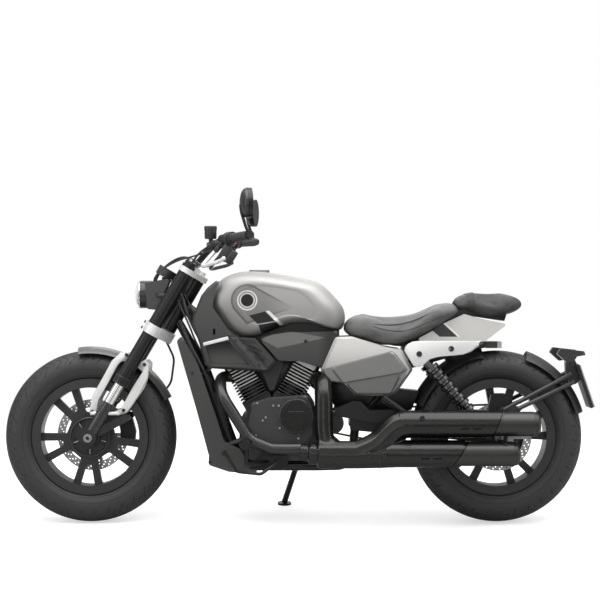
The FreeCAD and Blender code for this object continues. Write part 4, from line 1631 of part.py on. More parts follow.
def build_nodes():
    """Every node by name, upright."""
    nodes = {}
    nodes.update(front_wheel_nodes())
    nodes.update(rear_wheel_nodes())
    nodes.update(fork_nodes())
    nodes.update(bar_nodes())
    nodes.update(lamp_nodes())
    nodes.update(front_fender_nodes(nodes["fork_legs"]))
    nodes["front_caliper"] = front_caliper()
    nodes["brake_hose"] = main_solid(brake_hose().cut([nodes["lower_clamp"], nodes["front_caliper"]]))
    nodes.update(engine_nodes())
    nodes.update(tank_nodes())
    nodes.update(exhaust_nodes(nodes["front_cylinder"], nodes["rear_cylinder"]))
    nodes.update(seat_nodes(nodes["knee_panels"], nodes["rear_header"]))
    seats = [nodes[name] for name in ("rider_seat", "pillion_pad", "fuel_tank", "tank_shrouds",
                                      "chin_panels")]
    nodes["main_frame"], nodes["radiator"] = frame_nodes(seats)
    nodes["air_box"] = main_solid(nodes["air_box"].cut(nodes["main_frame"]))
    nodes.update(swingarm_nodes())
    nodes.update(belt_nodes())
    nodes.update(rear_body_nodes())
    nodes["inner_fender"] = main_solid(nodes["inner_fender"].cut(nodes["main_frame"]))
    nodes.update(foot_nodes())
    nodes["rear_caliper"] = rear_caliper()
    nodes["side_stand"] = stand_shape()
    return nodes


def parked_placement(nodes):
    """The placement that leans the machine on its stand and centres its box on the origin."""
    lean = FreeCAD.Placement(ORIGIN, FreeCAD.Rotation(X_AXIS, -LEAN_DEG))
    box = FreeCAD.BoundBox()
    for shape in nodes.values():
        leaned = shape.copy()
        leaned.Placement = lean.multiply(leaned.Placement)
        box.add(leaned.optimalBoundingBox(False, False))
    shift = V(-box.Center.x, -box.Center.y, -box.ZMin)
    return FreeCAD.Placement(shift, FreeCAD.Rotation(X_AXIS, -LEAN_DEG))


NODES = build_nodes()
PARKED = parked_placement(NODES)
os.makedirs("parts", exist_ok=True)
for name, shape in NODES.items():
    shape.Placement = PARKED.multiply(shape.Placement)
    shape.exportStep(f"parts/{name}.step")
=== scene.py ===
"""Blender scene of a V-twin cruiser motorcycle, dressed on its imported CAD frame.

Lengths are metres. Places are given in the machine's own upright frame, with X back from the front
axle, Y away from the camera and Z up from the ground, and are leaned onto the side stand by Shop.stance.
"""
from __future__ import annotations

import json
import logging
import math
from collections.abc import Iterator
from contextlib import contextmanager
from dataclasses import dataclass
from enum import Enum
from functools import reduce

import bpy
from mathutils import Matrix, Vector

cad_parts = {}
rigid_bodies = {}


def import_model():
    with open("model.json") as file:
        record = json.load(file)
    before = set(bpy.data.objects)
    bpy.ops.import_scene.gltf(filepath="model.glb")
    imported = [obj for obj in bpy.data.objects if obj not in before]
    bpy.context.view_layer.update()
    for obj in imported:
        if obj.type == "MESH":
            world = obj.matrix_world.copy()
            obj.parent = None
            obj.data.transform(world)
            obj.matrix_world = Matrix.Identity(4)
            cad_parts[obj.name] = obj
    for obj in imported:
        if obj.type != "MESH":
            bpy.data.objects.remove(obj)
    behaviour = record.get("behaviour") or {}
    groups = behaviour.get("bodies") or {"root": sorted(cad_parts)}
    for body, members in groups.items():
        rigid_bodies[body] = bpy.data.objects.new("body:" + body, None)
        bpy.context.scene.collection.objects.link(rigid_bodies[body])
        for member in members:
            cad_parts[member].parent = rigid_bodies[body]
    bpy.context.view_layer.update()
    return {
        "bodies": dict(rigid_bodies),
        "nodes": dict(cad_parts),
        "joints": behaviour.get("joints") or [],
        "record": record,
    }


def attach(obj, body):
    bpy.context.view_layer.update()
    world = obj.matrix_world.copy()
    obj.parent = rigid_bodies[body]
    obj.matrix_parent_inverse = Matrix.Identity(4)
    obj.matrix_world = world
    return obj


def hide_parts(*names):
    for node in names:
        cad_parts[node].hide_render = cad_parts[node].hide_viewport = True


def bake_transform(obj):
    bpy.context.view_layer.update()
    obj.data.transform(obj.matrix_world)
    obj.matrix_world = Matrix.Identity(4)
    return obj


LOG = logging.getLogger("cruiser")
TYRE_RADIUS = 0.320
WHEELBASE = 1.516
LEAN_DEG = 9.0
RAKE_DEG = 30.4
SIDES = ((-1, "near"), (1, "far"))
RAY_START = 1.0
SMOOTH_DEG = 35.0

Colour = tuple[float, float, float]
Place = tuple[float, float, float]
Corner = tuple[float, float]
Outline = tuple[Corner, ...]


class Body(str, Enum):
    """The bodies of the frame that pieces ride on."""

    CHASSIS = "chassis"
    STEERING = "steering"
    FRONT_WHEEL = "front_wheel"
    REAR_WHEEL = "rear_wheel"
    STAND = "side_stand"


class Sock:
    """A value inside a material, which takes part in Python expressions."""

    def __init__(self, graph: "Graph", socket: bpy.types.NodeSocket) -> None:
        """Wraps one output socket.

        Args:
            graph: the node tree being built.
            socket: the output that carries the value.
        """
        self.graph = graph
        self.socket = socket

    def _math(self, operation: str, *others: "Sock | float") -> "Sock":
        """A Math node with this value first.

        Args:
            operation: the Math node's operation.
            others: the values after this one.

        Returns:
            The node's output.
        """
        return self.graph.node("ShaderNodeMath", {"operation": operation}, dict(enumerate((self, *others))))

    def __add__(self, other: "Sock | float") -> "Sock":
        """The sum."""
        return self._math("ADD", other)

    __radd__ = __add__

    def __mul__(self, other: "Sock | float") -> "Sock":
        """The product."""
        return self._math("MULTIPLY", other)

    __rmul__ = __mul__

    def __sub__(self, other: "Sock | float") -> "Sock":
        """The difference."""
        return self._math("SUBTRACT", other)

    def __rsub__(self, other: float) -> "Sock":
        """The difference from a number."""
        return self._math("MULTIPLY", -1.0)._math("ADD", other)

    def __truediv__(self, other: "Sock | float") -> "Sock":
        """The quotient."""
        return self._math("DIVIDE", other)

    def __abs__(self) -> "Sock":
        """The size without its sign."""
        return self._math("ABSOLUTE")

    def root(self) -> "Sock":
        """The square root."""
        return self._math("SQRT")

    def least(self, other: "Sock | float") -> "Sock":
        """The smaller of two values."""
        return self._math("MINIMUM", other)

    def most(self, other: "Sock | float") -> "Sock":
        """The larger of two values."""
        return self._math("MAXIMUM", other)

    def angle_over(self, other: "Sock") -> "Sock":
        """The angle whose tangent is this value over another."""
        return self._math("ARCTAN2", other)

    def fraction(self) -> "Sock":
        """The part after the point."""
        return self._math("FRACT")

    def step(self, low: float, high: float) -> "Sock":
        """A soft step from 0 at low to 1 at high, or from 1 to 0 when low is the larger.

        Args:
            low: the value that gives 0.
            high: the value that gives 1.

        Returns:
            The output, from 0 at low to 1 at high.
        """
        values = {"Value": self, "From Min": low, "From Max": high}
        return self.graph.node("ShaderNodeMapRange", {"interpolation_type": "SMOOTHSTEP", "clamp": True},
                               values)


class Graph:
    """A node tree under construction."""

    def __init__(self, tree: bpy.types.NodeTree) -> None:
        """Empties the tree.

        Args:
            tree: the tree of a material or a world.
        """
        self.tree = tree
        self.tree.nodes.clear()

    def node(self, kind: str, settings: dict, values: dict, output: int | str = 0) -> Sock:
        """Adds one node.

        Args:
            kind: the node's type.
            settings: its settings, set first.
            values: numbers, colours or links by socket name or number.
            output: the number or name of the output that is wanted.

        Returns:
            That output.
        """
        made = self.tree.nodes.new(kind)
        for name, value in settings.items():
            setattr(made, name, value)
        for key, value in values.items():
            if isinstance(value, Sock):
                self.tree.links.new(value.socket, made.inputs[key])
            else:
                made.inputs[key].default_value = value
        return Sock(self, made.outputs[output])

    def show(self, kind: str, surface: Sock) -> None:
        """Links a shader to an output node of one kind."""
        self.tree.links.new(surface.socket, self.tree.nodes.new(kind).inputs[0])


class Shade(Graph):
    """A material under construction round one Principled shader."""

    def __init__(self, name: str, stance: Matrix) -> None:
        """Starts an empty material.

        Args:
            name: the material's name.
            stance: the matrix from the upright frame to the row's frame.
        """
        self.material = bpy.data.materials.new(name)
        self.material.use_nodes = True
        super().__init__(self.material.node_tree)
        self.shader = self.tree.nodes.new("ShaderNodeBsdfPrincipled")
        self.show("ShaderNodeOutputMaterial", Sock(self, self.shader.outputs[0]))
        back = stance.inverted()
        values = {
            "Vector": self.node("ShaderNodeTexCoord", {}, {}, "Object"),
            "Location": tuple(back.to_translation()),
            "Rotation": tuple(back.to_euler()),
        }
        self.place = self.node("ShaderNodeMapping", {"vector_type": "POINT"}, values)
        split = self.tree.nodes.new("ShaderNodeSeparateXYZ")
        self.tree.links.new(self.place.socket, split.inputs[0])
        self.x, self.y, self.z = (Sock(self, output) for output in split.outputs)

    def noise(self, scale: float, detail: float = 2.0, stretch: Place = (1.0, 1.0, 1.0)) -> Sock:
        """Smooth noise from 0 to 1 over the machine.

        Args:
            scale: how fine it is, per metre.
            detail: its octaves.
            stretch: how much finer it is along each axis.

        Returns:
            The noise.
        """
        vector = self.node("ShaderNodeVectorMath", {"operation": "MULTIPLY"}, {0: self.place, 1: stretch})
        return self.node("ShaderNodeTexNoise", {}, {"Vector": vector, "Scale": scale, "Detail": detail})

    def cells(self, scale: float, feature: str = "F1") -> Sock:
        """Distance to the nearest cell centre or edge.

        Args:
            scale: cells per metre.
            feature: the Voronoi feature.

        Returns:
            The distance.
        """
        return self.node("ShaderNodeTexVoronoi", {"feature": feature}, {"Vector": self.place, "Scale": scale})

    def mix(self, mask: Sock | float, first: Sock | Colour, second: Sock | Colour) -> Sock:
        """A blend of two colours.

        Args:
            mask: 0 for the first, 1 for the second.
            first: the colour where the mask is 0.
            second: the colour where the mask is 1.

        Returns:
            The blended colour.
        """
        ends = [value if isinstance(value, Sock) else (*value, 1.0) for value in (first, second)]
        return self.node("ShaderNodeMix", {"data_type": "RGBA"}, {0: mask, 6: ends[0], 7: ends[1]}, 2)

    def even(self, colour: Colour) -> Sock:
        """The same colour everywhere."""
        return self.mix(0.0, colour, colour)

    def tint(self, colour: Sock, factor: Sock) -> Sock:
        """A colour made lighter or darker by a factor."""
        return self.node("ShaderNodeVectorMath", {"operation": "SCALE"}, {0: colour, "Scale": factor})

    def rise(self, low: float, high: float, gain: float, least: float) -> Sock:
        """A factor of painted light that grows with height, from least at low to least + gain at high: darker
        below, lighter above.
        """
        return self.z.step(low, high) * gain + least

    def band(self, value: Sock, low: float, high: float, soft: float) -> Sock:
        """1 where a value lies between low and high, and 0 beyond a soft edge outside them."""
        return (value - low).step(-soft, 0.0) * (value - high).step(soft, 0.0)

    def turn(self, x: float, repeats: int) -> Sock:
        """The angle about a wheel's axle at x, counted in repeats of a pattern."""
        return (self.z - TYRE_RADIUS).angle_over(self.x - x) * (repeats / (2 * math.pi))

    def from_point(self, x: float, z: float) -> Sock:
        """The distance from a point in the side view."""
        return ((self.x - x) * (self.x - x) + (self.z - z) * (self.z - z)).root()

    def inside(self, corners: Outline, soft: float = 0.0008) -> Sock:
        """A mask of a convex shape in the side view.

        Args:
            corners: its corners, clockwise as the camera sees them.
            soft: the width of its edge.

        Returns:
            1 inside and 0 outside.
        """
        return self.depth(corners).step(-soft, soft)

    def depth(self, corners: Outline) -> Sock:
        """How far inside a convex shape of the side view a point lies.

        Args:
            corners: its corners, clockwise as the camera sees them.

        Returns:
            The distance to the nearest edge, below 0 outside.
        """
        return reduce(Sock.least, [self.beyond(*edge) for edge in zip(corners, corners[1:] + corners[:1])])

    def beyond(self, start: Corner, end: Corner) -> Sock:
        """How far a point lies to the right of a line, seen from its start in the side view.

        Args:
            start: the line's first point in X and Z.
            end: its second point.

        Returns:
            The distance, below 0 to the left.
        """
        run = math.hypot(end[0] - start[0], end[1] - start[1])
        across = ((end[1] - start[1]) / run, -(end[0] - start[0]) / run)
        return (self.x - start[0]) * across[0] + (self.z - start[1]) * across[1]

    def put(self, name: str, value: Sock | float | Colour) -> None:
        """Sets or links one input of the shader.

        Args:
            name: the input's name.
            value: a link, a number or a colour.
        """
        if isinstance(value, Sock):
            self.tree.links.new(value.socket, self.shader.inputs[name])
        elif isinstance(value, tuple):
            self.shader.inputs[name].default_value = (*value, 1.0)
        else:
            self.shader.inputs[name].default_value = value

    def bump(self, height: Sock, depth: float) -> None:
        """Feeds a height from 0 to 1 into the shader's normal.

        Args:
            height: the height.
            depth: what a height of 1 measures in metres.
        """
        values = {"Height": height, "Strength": 1.0, "Distance": depth}
        self.put("Normal", self.node("ShaderNodeBump", {}, values))


@dataclass(frozen=True)
class Finish:
    """A surface finish with small changes of colour and gloss, and a fine grain."""

    name: str
    colour: Colour
    rough: float = 0.5
    metal: float = 0.0
    coat: float = 0.0
    coat_rough: float = 0.05
    mottle: float = 0.08
    mottle_scale: float = 14.0
    grain: float = 0.00005
    grain_scale: float = 900.0
    specular: float = 0.5

    def base(self, shade: Shade) -> Sock:
        """The colour over the surface."""
        speck = shade.noise(self.mottle_scale, 4.0) - 0.5
        return shade.tint(shade.even(self.colour), speck * (2 * self.mottle) + 1.0)

    def roughness(self, shade: Shade) -> Sock:
        """The roughness over the surface."""
        return (shade.noise(self.mottle_scale * 3, 3.0) - 0.5) * 0.14 + self.rough

    def height(self, shade: Shade) -> Sock:
        """The fine relief, from 0 to 1."""
        return shade.noise(self.grain_scale, 2.0)

    def extra(self, shade: Shade) -> None:
        """Sets what only some finishes have."""

    def build(self, stance: Matrix) -> bpy.types.Material:
        """Makes the material.

        Args:
            stance: the matrix from the upright frame to the row's frame.

        Returns:
            The material.
        """
        shade = Shade(self.name, stance)
        shade.put("Base Color", self.base(shade))
        shade.put("Roughness", self.roughness(shade))
        shade.put("Metallic", self.metal)
        shade.put("Coat Weight", self.coat)
        shade.put("Coat Roughness", self.coat_rough)
        shade.put("Specular IOR Level", self.specular)
        shade.bump(self.height(shade), self.grain)
        self.extra(shade)
        return shade.material


@dataclass(frozen=True)
class FlakePaint(Finish):
    """Metallic paint: fine bright flakes under a satin coat."""

    flake: float = 0.16

    def base(self, shade: Shade) -> Sock:
        """Paint whose flakes vary a little in brightness.

        Args:
            shade: the material being built.

        Returns:
            The base colour.
        """
        flakes = shade.cells(2600.0) - 0.5
        slow = shade.noise(5.0, 2.0) - 0.5
        return shade.tint(shade.even(self.colour), flakes * self.flake + slow * 0.08 + 1.0)


@dataclass(frozen=True)
class TankPaint(FlakePaint):
    """The tank's paint with painted shade in the recess and along its edge, painted shade on the crown,
    painted light by height, the plain disc and the stripes on its flanks.
    """

    dark: Colour = (0.012, 0.012, 0.013)
    pale: Colour = (0.62, 0.61, 0.58)
    shade_tone: Colour = (0.20, 0.195, 0.185)
    disc_x: float = 0.588
    disc_z: float = 0.828
    upper_block: tuple = ((0.595, 0.772), (0.653, 0.787), (0.690, 0.752), (0.626, 0.741))
    lower_block: tuple = ((0.629, 0.738), (0.694, 0.748), (0.738, 0.730), (0.640, 0.706))
    pale_stripe: tuple = ((0.656, 0.788), (0.669, 0.790), (0.723, 0.737), (0.709, 0.734))
    recess: tuple = ((0.535, 0.7975), (0.6285, 0.8729), (0.760, 0.800), (0.5859, 0.7404))
    recess_radius: float = 0.060
    field_radius: float = 0.040
    outer_ring: Corner = (0.033, 0.0365)
    inner_ring: Corner = (0.0245, 0.027)
    core_radius: float = 0.022
    flank_y: float = 0.06
    painted_light_grade: tuple = (0.690, 0.880, 0.45, 0.60)
    crown: Corner = (0.885, 0.950)

    def base(self, shade: Shade) -> Sock:
        """Paint with its graphics on both flanks, painted shade in the recess, painted shade on the crown,
        and painted light from dark below to light above.

        Args:
            shade: the material being built.

        Returns:
            The base colour.
        """
        # painted light: lighter towards the top, darker towards the bottom
        paint = shade.tint(super().base(shade), shade.rise(*self.painted_light_grade))
        flank = abs(shade.y).step(self.flank_y, self.flank_y + 0.002)
        radius = shade.from_point(self.disc_x, self.disc_z)
        # painted shade: the crown is darkened to hold down the top light's highlight
        paint = shade.tint(paint, 1.0 - shade.z.step(*self.crown) * 0.3)
        # painted shade: the recess is darkened, fading out towards the rear, with a darker painted shade line
        # along its edge
        recess_shade_depth = shade.depth(self.recess).most(self.recess_radius - radius)
        fade = shade.x.step(0.78, 0.64) * flank
        paint = shade.tint(paint, 1.0 - recess_shade_depth.step(-0.001, 0.002) * fade * 0.34)
        paint = shade.tint(paint, 1.0 - recess_shade_depth.step(-0.001, 0.001) * recess_shade_depth.step(0.010, 0.003) * fade * 0.45)
        field = radius.step(self.field_radius + 0.0005, self.field_radius - 0.0005)
        paint = shade.mix(field * flank * 0.6, paint, self.shade_tone)
        rings = shade.band(radius, *self.outer_ring, 0.0016).most(shade.band(radius, *self.inner_ring, 0.001))
        core = radius.step(self.core_radius + 0.0005, self.core_radius - 0.0005)
        paint = shade.mix(core * flank, paint, self.dark)
        paint = shade.mix(rings * flank, paint, self.pale)
        blocks = shade.inside(self.upper_block).most(shade.inside(self.lower_block))
        paint = shade.mix(blocks * flank, paint, self.dark)
        return shade.mix(shade.inside(self.pale_stripe) * flank, paint, self.pale)


@dataclass(frozen=True)
class CoverPaint(FlakePaint):
    """The side covers' paint, pale above and graphite on the two lower facets, with painted light by height
    and painted shade on the lower facet.
    """

    graphite: Colour = (0.155, 0.154, 0.151)
    upper_facet: tuple = ((0.800, 0.557), (1.117, 0.641), (1.131, 0.635), (1.178, 0.573), (1.120, 0.450),
                          (0.800, 0.450))
    lower_facet: tuple = ((0.800, 0.499), (1.154, 0.558), (1.120, 0.450), (0.800, 0.450))
    lower_facet_shade: float = 0.72
    painted_light_grade: tuple = (0.54, 0.68, 0.5, 0.6)

    def base(self, shade: Shade) -> Sock:
        """Paint with both facets in graphite, the lower one darkened as painted shade, and painted light by
        height.

        Args:
            shade: the material being built.

        Returns:
            The base colour.
        """
        # painted light: lighter towards the top, darker towards the bottom
        paint = shade.tint(super().base(shade), shade.rise(*self.painted_light_grade))
        # painted shade: the lower facet gets a darker copy of the graphite
        tone = 1.0 - shade.inside(self.lower_facet) * (1.0 - self.lower_facet_shade)
        graphite = shade.tint(shade.even(self.graphite), tone)
        return shade.mix(shade.inside(self.upper_facet), paint, graphite)


@dataclass(frozen=True)
class ShroudPaint(FlakePaint):
    """The shrouds' paint, with painted shade in the intake and its three slots, painted light and shade on
    the pillar, and painted light by height.
    """

    slots: tuple = (
        ((0.556, 0.6847), (0.612, 0.681), (0.625, 0.668), (0.568, 0.666)),
        ((0.579, 0.653), (0.635, 0.651), (0.645, 0.6375), (0.5905, 0.6335)),
        ((0.606, 0.625), (0.648, 0.624), (0.661, 0.609), (0.619, 0.602)),
    )
    pocket: tuple = ((0.435, 0.662), (0.515, 0.681), (0.590, 0.586), (0.458, 0.584))
    pillar: tuple = ((0.518, 0.697), (0.550, 0.694), (0.668, 0.570), (0.628, 0.570))
    painted_light_grade: tuple = (0.60, 0.86, 0.45, 0.75)

    def base(self, shade: Shade) -> Sock:
        """Paint with painted shade in the slots and at the top of the intake, painted light at the intake's
        bottom, a painted highlight on the pillar with painted shade along its edges, and painted light by
        height.

        Args:
            shade: the material being built.

        Returns:
            The base colour.
        """
        # painted light: lighter towards the top, darker towards the bottom
        paint = shade.tint(super().base(shade), shade.rise(*self.painted_light_grade))
        # painted shade at the top of the intake under the bar, turning to painted light at its bottom
        paint = shade.tint(paint, 1.0 - shade.inside(self.pocket,
                                                     0.002) * (0.75 - shade.z.step(0.675, 0.60) * 1.3))
        # painted highlight on the pillar and painted shade along its edges
        rim = shade.depth(self.pillar)
        paint = shade.tint(paint, 1.0 + rim.step(-0.001, 0.001) * 0.45)
        paint = shade.tint(paint, 1.0 - abs(rim).step(0.0022, 0.0010) * 0.6)
        # painted shade in the slots
        slots = reduce(Sock.most, [shade.inside(slot, 0.0012) for slot in self.slots])
        return shade.tint(paint, 1.0 - slots * 0.4)


@dataclass(frozen=True)
class KneePaint(FlakePaint):
    """The knee panels' paint, with painted light on the upper facet, painted light by height, and darker
    towards the rear.
    """

    facet: tuple = ((0.628, 0.691), (0.743, 0.715), (0.878, 0.690), (0.850, 0.684), (0.710, 0.646))
    painted_light_grade: tuple = (0.58, 0.68, 0.3, 0.75)

    def base(self, shade: Shade) -> Sock:
        """Paint with painted light on its upper facet and by height, darker towards the rear.

        Args:
            shade: the material being built.

        Returns:
            The base colour.
        """
        paint = shade.tint(super().base(shade), 1.0 - shade.x.step(0.84, 0.90) * 0.5)
        # painted light: lighter towards the top, darker towards the bottom
        paint = shade.tint(paint, shade.rise(*self.painted_light_grade))
        # painted light on the upper facet
        return shade.tint(paint, 1.0 + shade.inside(self.facet, 0.0015) * 1.3)


@dataclass(frozen=True)
class TailPaint(FlakePaint):
    """The tail cowl's paint with a dark slanted block and a pale line behind it."""

    dark: Colour = (0.030, 0.030, 0.031)
    pale: Colour = (0.78, 0.78, 0.76)
    block: tuple = ((1.270, 0.718), (1.309, 0.745), (1.365, 0.693), (1.299, 0.693))
    line: tuple = ((1.311, 0.745), (1.318, 0.745), (1.375, 0.693), (1.368, 0.693))

    def base(self, shade: Shade) -> Sock:
        """Paint with its graphics on both flanks."""
        paint = shade.mix(shade.inside(self.block), super().base(shade), self.dark)
        return shade.mix(shade.inside(self.line), paint, self.pale)


@dataclass(frozen=True)
class ForkLeg(Finish):
    """A fork leg: a black foot and a bright stanchion."""

    black: Colour = (0.018, 0.018, 0.019)
    foot_length: float = 0.150

    def stanchion(self, shade: Shade) -> Sock:
        """1 on the stanchion and 0 on the foot.

        Args:
            shade: the material being built.

        Returns:
            The mask.
        """
        rake = math.radians(RAKE_DEG)
        along = shade.x * math.sin(rake) + (shade.z - TYRE_RADIUS) * math.cos(rake)
        return along.step(self.foot_length - 0.0004, self.foot_length + 0.0004)

    def base(self, shade: Shade) -> Sock:
        """Black below and bright above."""
        return shade.mix(self.stanchion(shade), self.black, super().base(shade))

    def extra(self, shade: Shade) -> None:
        """Bare metal on the stanchion only."""
        shade.put("Metallic", self.stanchion(shade) * self.metal)


@dataclass(frozen=True)
class LampHousing(Finish):
    """Black lamp housings with amber and red ends."""

    amber: Colour = (0.055, 0.045, 0.038)
    red: Colour = (0.34, 0.30, 0.30)
    amber_x: float = 1.824
    red_from: float = 1.516
    red_to: float = 1.560

    def base(self, shade: Shade) -> Sock:
        """Black with coloured ends.

        Args:
            shade: the material being built.

        Returns:
            The base colour.
        """
        red = shade.x.step(self.red_from, self.red_from + 0.0005) * shade.x.step(self.red_to,
                                                                                 self.red_to - 0.0005)
        body = shade.mix(red, super().base(shade), self.red)
        return shade.mix(shade.x.step(self.amber_x, self.amber_x + 0.0005), body, self.amber)


@dataclass(frozen=True)
class FinMetal(Finish):
    """Black cylinder castings whose fin edges are machined bright."""

    lean_deg: float = 27.5
    crank_x: float = 0.677
    crank_z: float = 0.349
    half_length: float = 0.054
    half_width: float = 0.075
    fins_from: float = 0.182
    bright: Colour = (0.40, 0.40, 0.39)

    def edge(self, shade: Shade) -> Sock:
        """1 on the rim of the fins and 0 on their flats.

        Args:
            shade: the material being built.

        Returns:
            The mask.
        """
        lean = math.radians(self.lean_deg)
        along = (shade.x - self.crank_x) * math.cos(lean) - (shade.z - self.crank_z) * math.sin(lean)
        height = (shade.x - self.crank_x) * math.sin(lean) + (shade.z - self.crank_z) * math.cos(lean)
        reach = (abs(along) - self.half_length).most(abs(shade.y) - self.half_width)
        return reach.step(-0.0020, -0.0010) * height.step(self.fins_from, self.fins_from + 0.004)

    def base(self, shade: Shade) -> Sock:
        """Black with bright edges."""
        return shade.mix(self.edge(shade), super().base(shade), self.bright)

    def extra(self, shade: Shade) -> None:
        """Bare metal on the edges."""
        shade.put("Metallic", self.edge(shade))


@dataclass(frozen=True)
class Silencer(Finish):
    """Coated shields over a plainer rear part, with a dark slanted joint between them."""

    joints: tuple = (((1.341, 0.233), (1.385, 0.300)), ((1.486, 0.347), (1.519, 0.428)))
    split_z: float = 0.324
    plain: Colour = (0.052, 0.0515, 0.050)

    def behind(self, shade: Shade) -> Sock:
        """The distance behind the joint, for each silencer."""
        lower, upper = (shade.beyond(start, end) for start, end in self.joints)
        return lower + (upper - lower) * shade.z.step(self.split_z - 0.001, self.split_z + 0.001)

    def base(self, shade: Shade) -> Sock:
        """The shields' colour, the plain part's colour, and the joint.

        Args:
            shade: the material being built.

        Returns:
            The base colour.
        """
        behind = self.behind(shade)
        paint = shade.mix(behind.step(0.0, 0.0006), super().base(shade), self.plain)
        return shade.mix(abs(behind).step(0.0022, 0.0012), paint, (0.004, 0.004, 0.004))

    def roughness(self, shade: Shade) -> Sock:
        """Duller behind the joint."""
        return super().roughness(shade) + self.behind(shade).step(0.0, 0.0006) * 0.14


@dataclass(frozen=True)
class TyreRubber(Finish):
    """Tyre rubber with slanted tread grooves over the shoulders and ribs on the side walls."""

    centre_x: float = 0.0
    half_width: float = 0.065
    repeats: int = 34
    swing: float = -1.0
    groove_from: float = 0.276
    sipe_from: float = 0.286
    crown_from: float = 0.300
    ring_radius: float = 0.2495
    lip_radius: float = 0.2285

    def grooves(self, shade: Shade) -> Sock:
        """1 in the tread grooves and side rings, 0 on the rubber between them.

        Args:
            shade: the material being built.

        Returns:
            1 in the grooves, 0 beside them.
        """
        across = abs(shade.y)
        radius = shade.from_point(self.centre_x, TYRE_RADIUS)
        turn = shade.turn(self.centre_x, self.repeats)
        reach = across * (1.0 / self.half_width)
        zigzag = abs((reach * 2.2 + 0.3).fraction() - 0.5) * 0.9
        slant = turn + reach * (self.swing * 0.55) + zigzag + (shade.y * 400.0).step(-1.0, 1.0) * 0.5
        cut = abs(slant.fraction() - 0.5).step(0.075, 0.045)
        cut = cut * reach.step(0.13, 0.17) * (radius - self.groove_from).step(0.0, 0.004)
        sipe = abs((slant + 0.5).fraction() - 0.5).step(0.055, 0.03) * reach.step(0.42, 0.46)
        sipe = sipe * (radius - self.sipe_from).step(0.0, 0.004)
        crown = abs(reach - 0.11).step(0.035, 0.02) * (radius - self.crown_from).step(0.0, 0.004)
        ring = abs(radius - self.ring_radius).step(0.0016, 0.0008)
        lip = abs(radius - self.lip_radius).step(0.0012, 0.0005)
        return cut.most(sipe).most(crown).most(ring * 0.5).most(lip * 0.4)

    def base(self, shade: Shade) -> Sock:
        """Rubber with painted shade in its grooves and side-wall rings."""
        dust = shade.noise(60.0, 4.0) * 0.35 + 0.8
        # painted shade: the grooves and side-wall rings are darkened
        return shade.mix(self.grooves(shade), shade.tint(super().base(shade), dust), (0.004, 0.004, 0.004))

    def height(self, shade: Shade) -> Sock:
        """Grooves that sink below the grain."""
        return 1.0 - self.grooves(shade) * 0.9 + shade.noise(700.0, 2.0) * 0.02


@dataclass(frozen=True)
class DiscSteel(Finish):
    """A brake disc's ground steel, drilled through in three staggered rows."""

    centre_x: float = 0.0
    rows: tuple = (0.112, 0.119, 0.126)
    holes: int = 30
    hole_radius: float = 0.0027

    def roughness(self, shade: Shade) -> Sock:
        """Fine rings left by the pads."""
        radius = shade.from_point(self.centre_x, TYRE_RADIUS)
        return abs((radius * 700.0).fraction() - 0.5) * 0.22 + self.rough

    def extra(self, shade: Shade) -> None:
        """Opens the drilled holes.

        Args:
            shade: the material being built.
        """
        radius = shade.from_point(self.centre_x, TYRE_RADIUS)
        turn = shade.turn(self.centre_x, self.holes)
        walls = []
        for index, row in enumerate(self.rows):
            along = ((turn + index / 3 + 7.0).fraction() - 0.5) * (2 * math.pi * row / self.holes)
            reach = (along * along + (radius - row) * (radius - row)).root()
            walls.append(reach.step(self.hole_radius - 0.0003, self.hole_radius + 0.0003))
        shade.put("Alpha", reduce(Sock.__mul__, walls))


@dataclass(frozen=True)
class Leather(Finish):
    """Grained seat leather with soft creases."""

    def height(self, shade: Shade) -> Sock:
        """Pebbled grain under slow creases."""
        pebble = shade.cells(620.0, "DISTANCE_TO_EDGE").step(0.0, 0.35)
        return pebble * 0.6 + shade.noise(38.0, 3.0, (0.6, 1.6, 1.0)) * 0.9


@dataclass(frozen=True)
class BeltRubber(Finish):
    """The drive belt, whose back shows fine ribs across it."""

    def height(self, shade: Shade) -> Sock:
        """Ribs along the run."""
        return abs((shade.x * 90.0).fraction() - 0.5).step(0.1, 0.2)


@dataclass(frozen=True)
class GripRubber(Finish):
    """Handgrip rubber with a diamond pattern."""

    def height(self, shade: Shade) -> Sock:
        """Crossed grooves.

        Args:
            shade: the material being built.

        Returns:
            The height that gives the bump.
        """
        first = abs(((shade.y + shade.z) * 190.0).fraction() - 0.5).step(0.05, 0.2)
        second = abs(((shade.y - shade.z) * 190.0).fraction() - 0.5).step(0.05, 0.2)
        return first * second


@dataclass(frozen=True)
class LampGlass(Finish):
    """The headlight's clear cover over a dark bowl with a bright inner ring."""

    lamp_z: float = 0.850

    def base(self, shade: Shade) -> Sock:
        """Bowl, ring and lens bars by the distance from the lamp's middle.

        Args:
            shade: the material being built.

        Returns:
            The base colour.
        """
        reach = (shade.y * shade.y + (shade.z - self.lamp_z) * (shade.z - self.lamp_z)).root()
        ring = (reach - 0.030).step(-0.001, 0.001) * (reach - 0.037).step(0.001, -0.001)
        bar = abs(shade.z - self.lamp_z).step(0.004, 0.003) * reach.step(0.032, 0.030)
        bright = ring.most(bar)
        return shade.mix(bright, super().base(shade), (0.86, 0.88, 0.9))


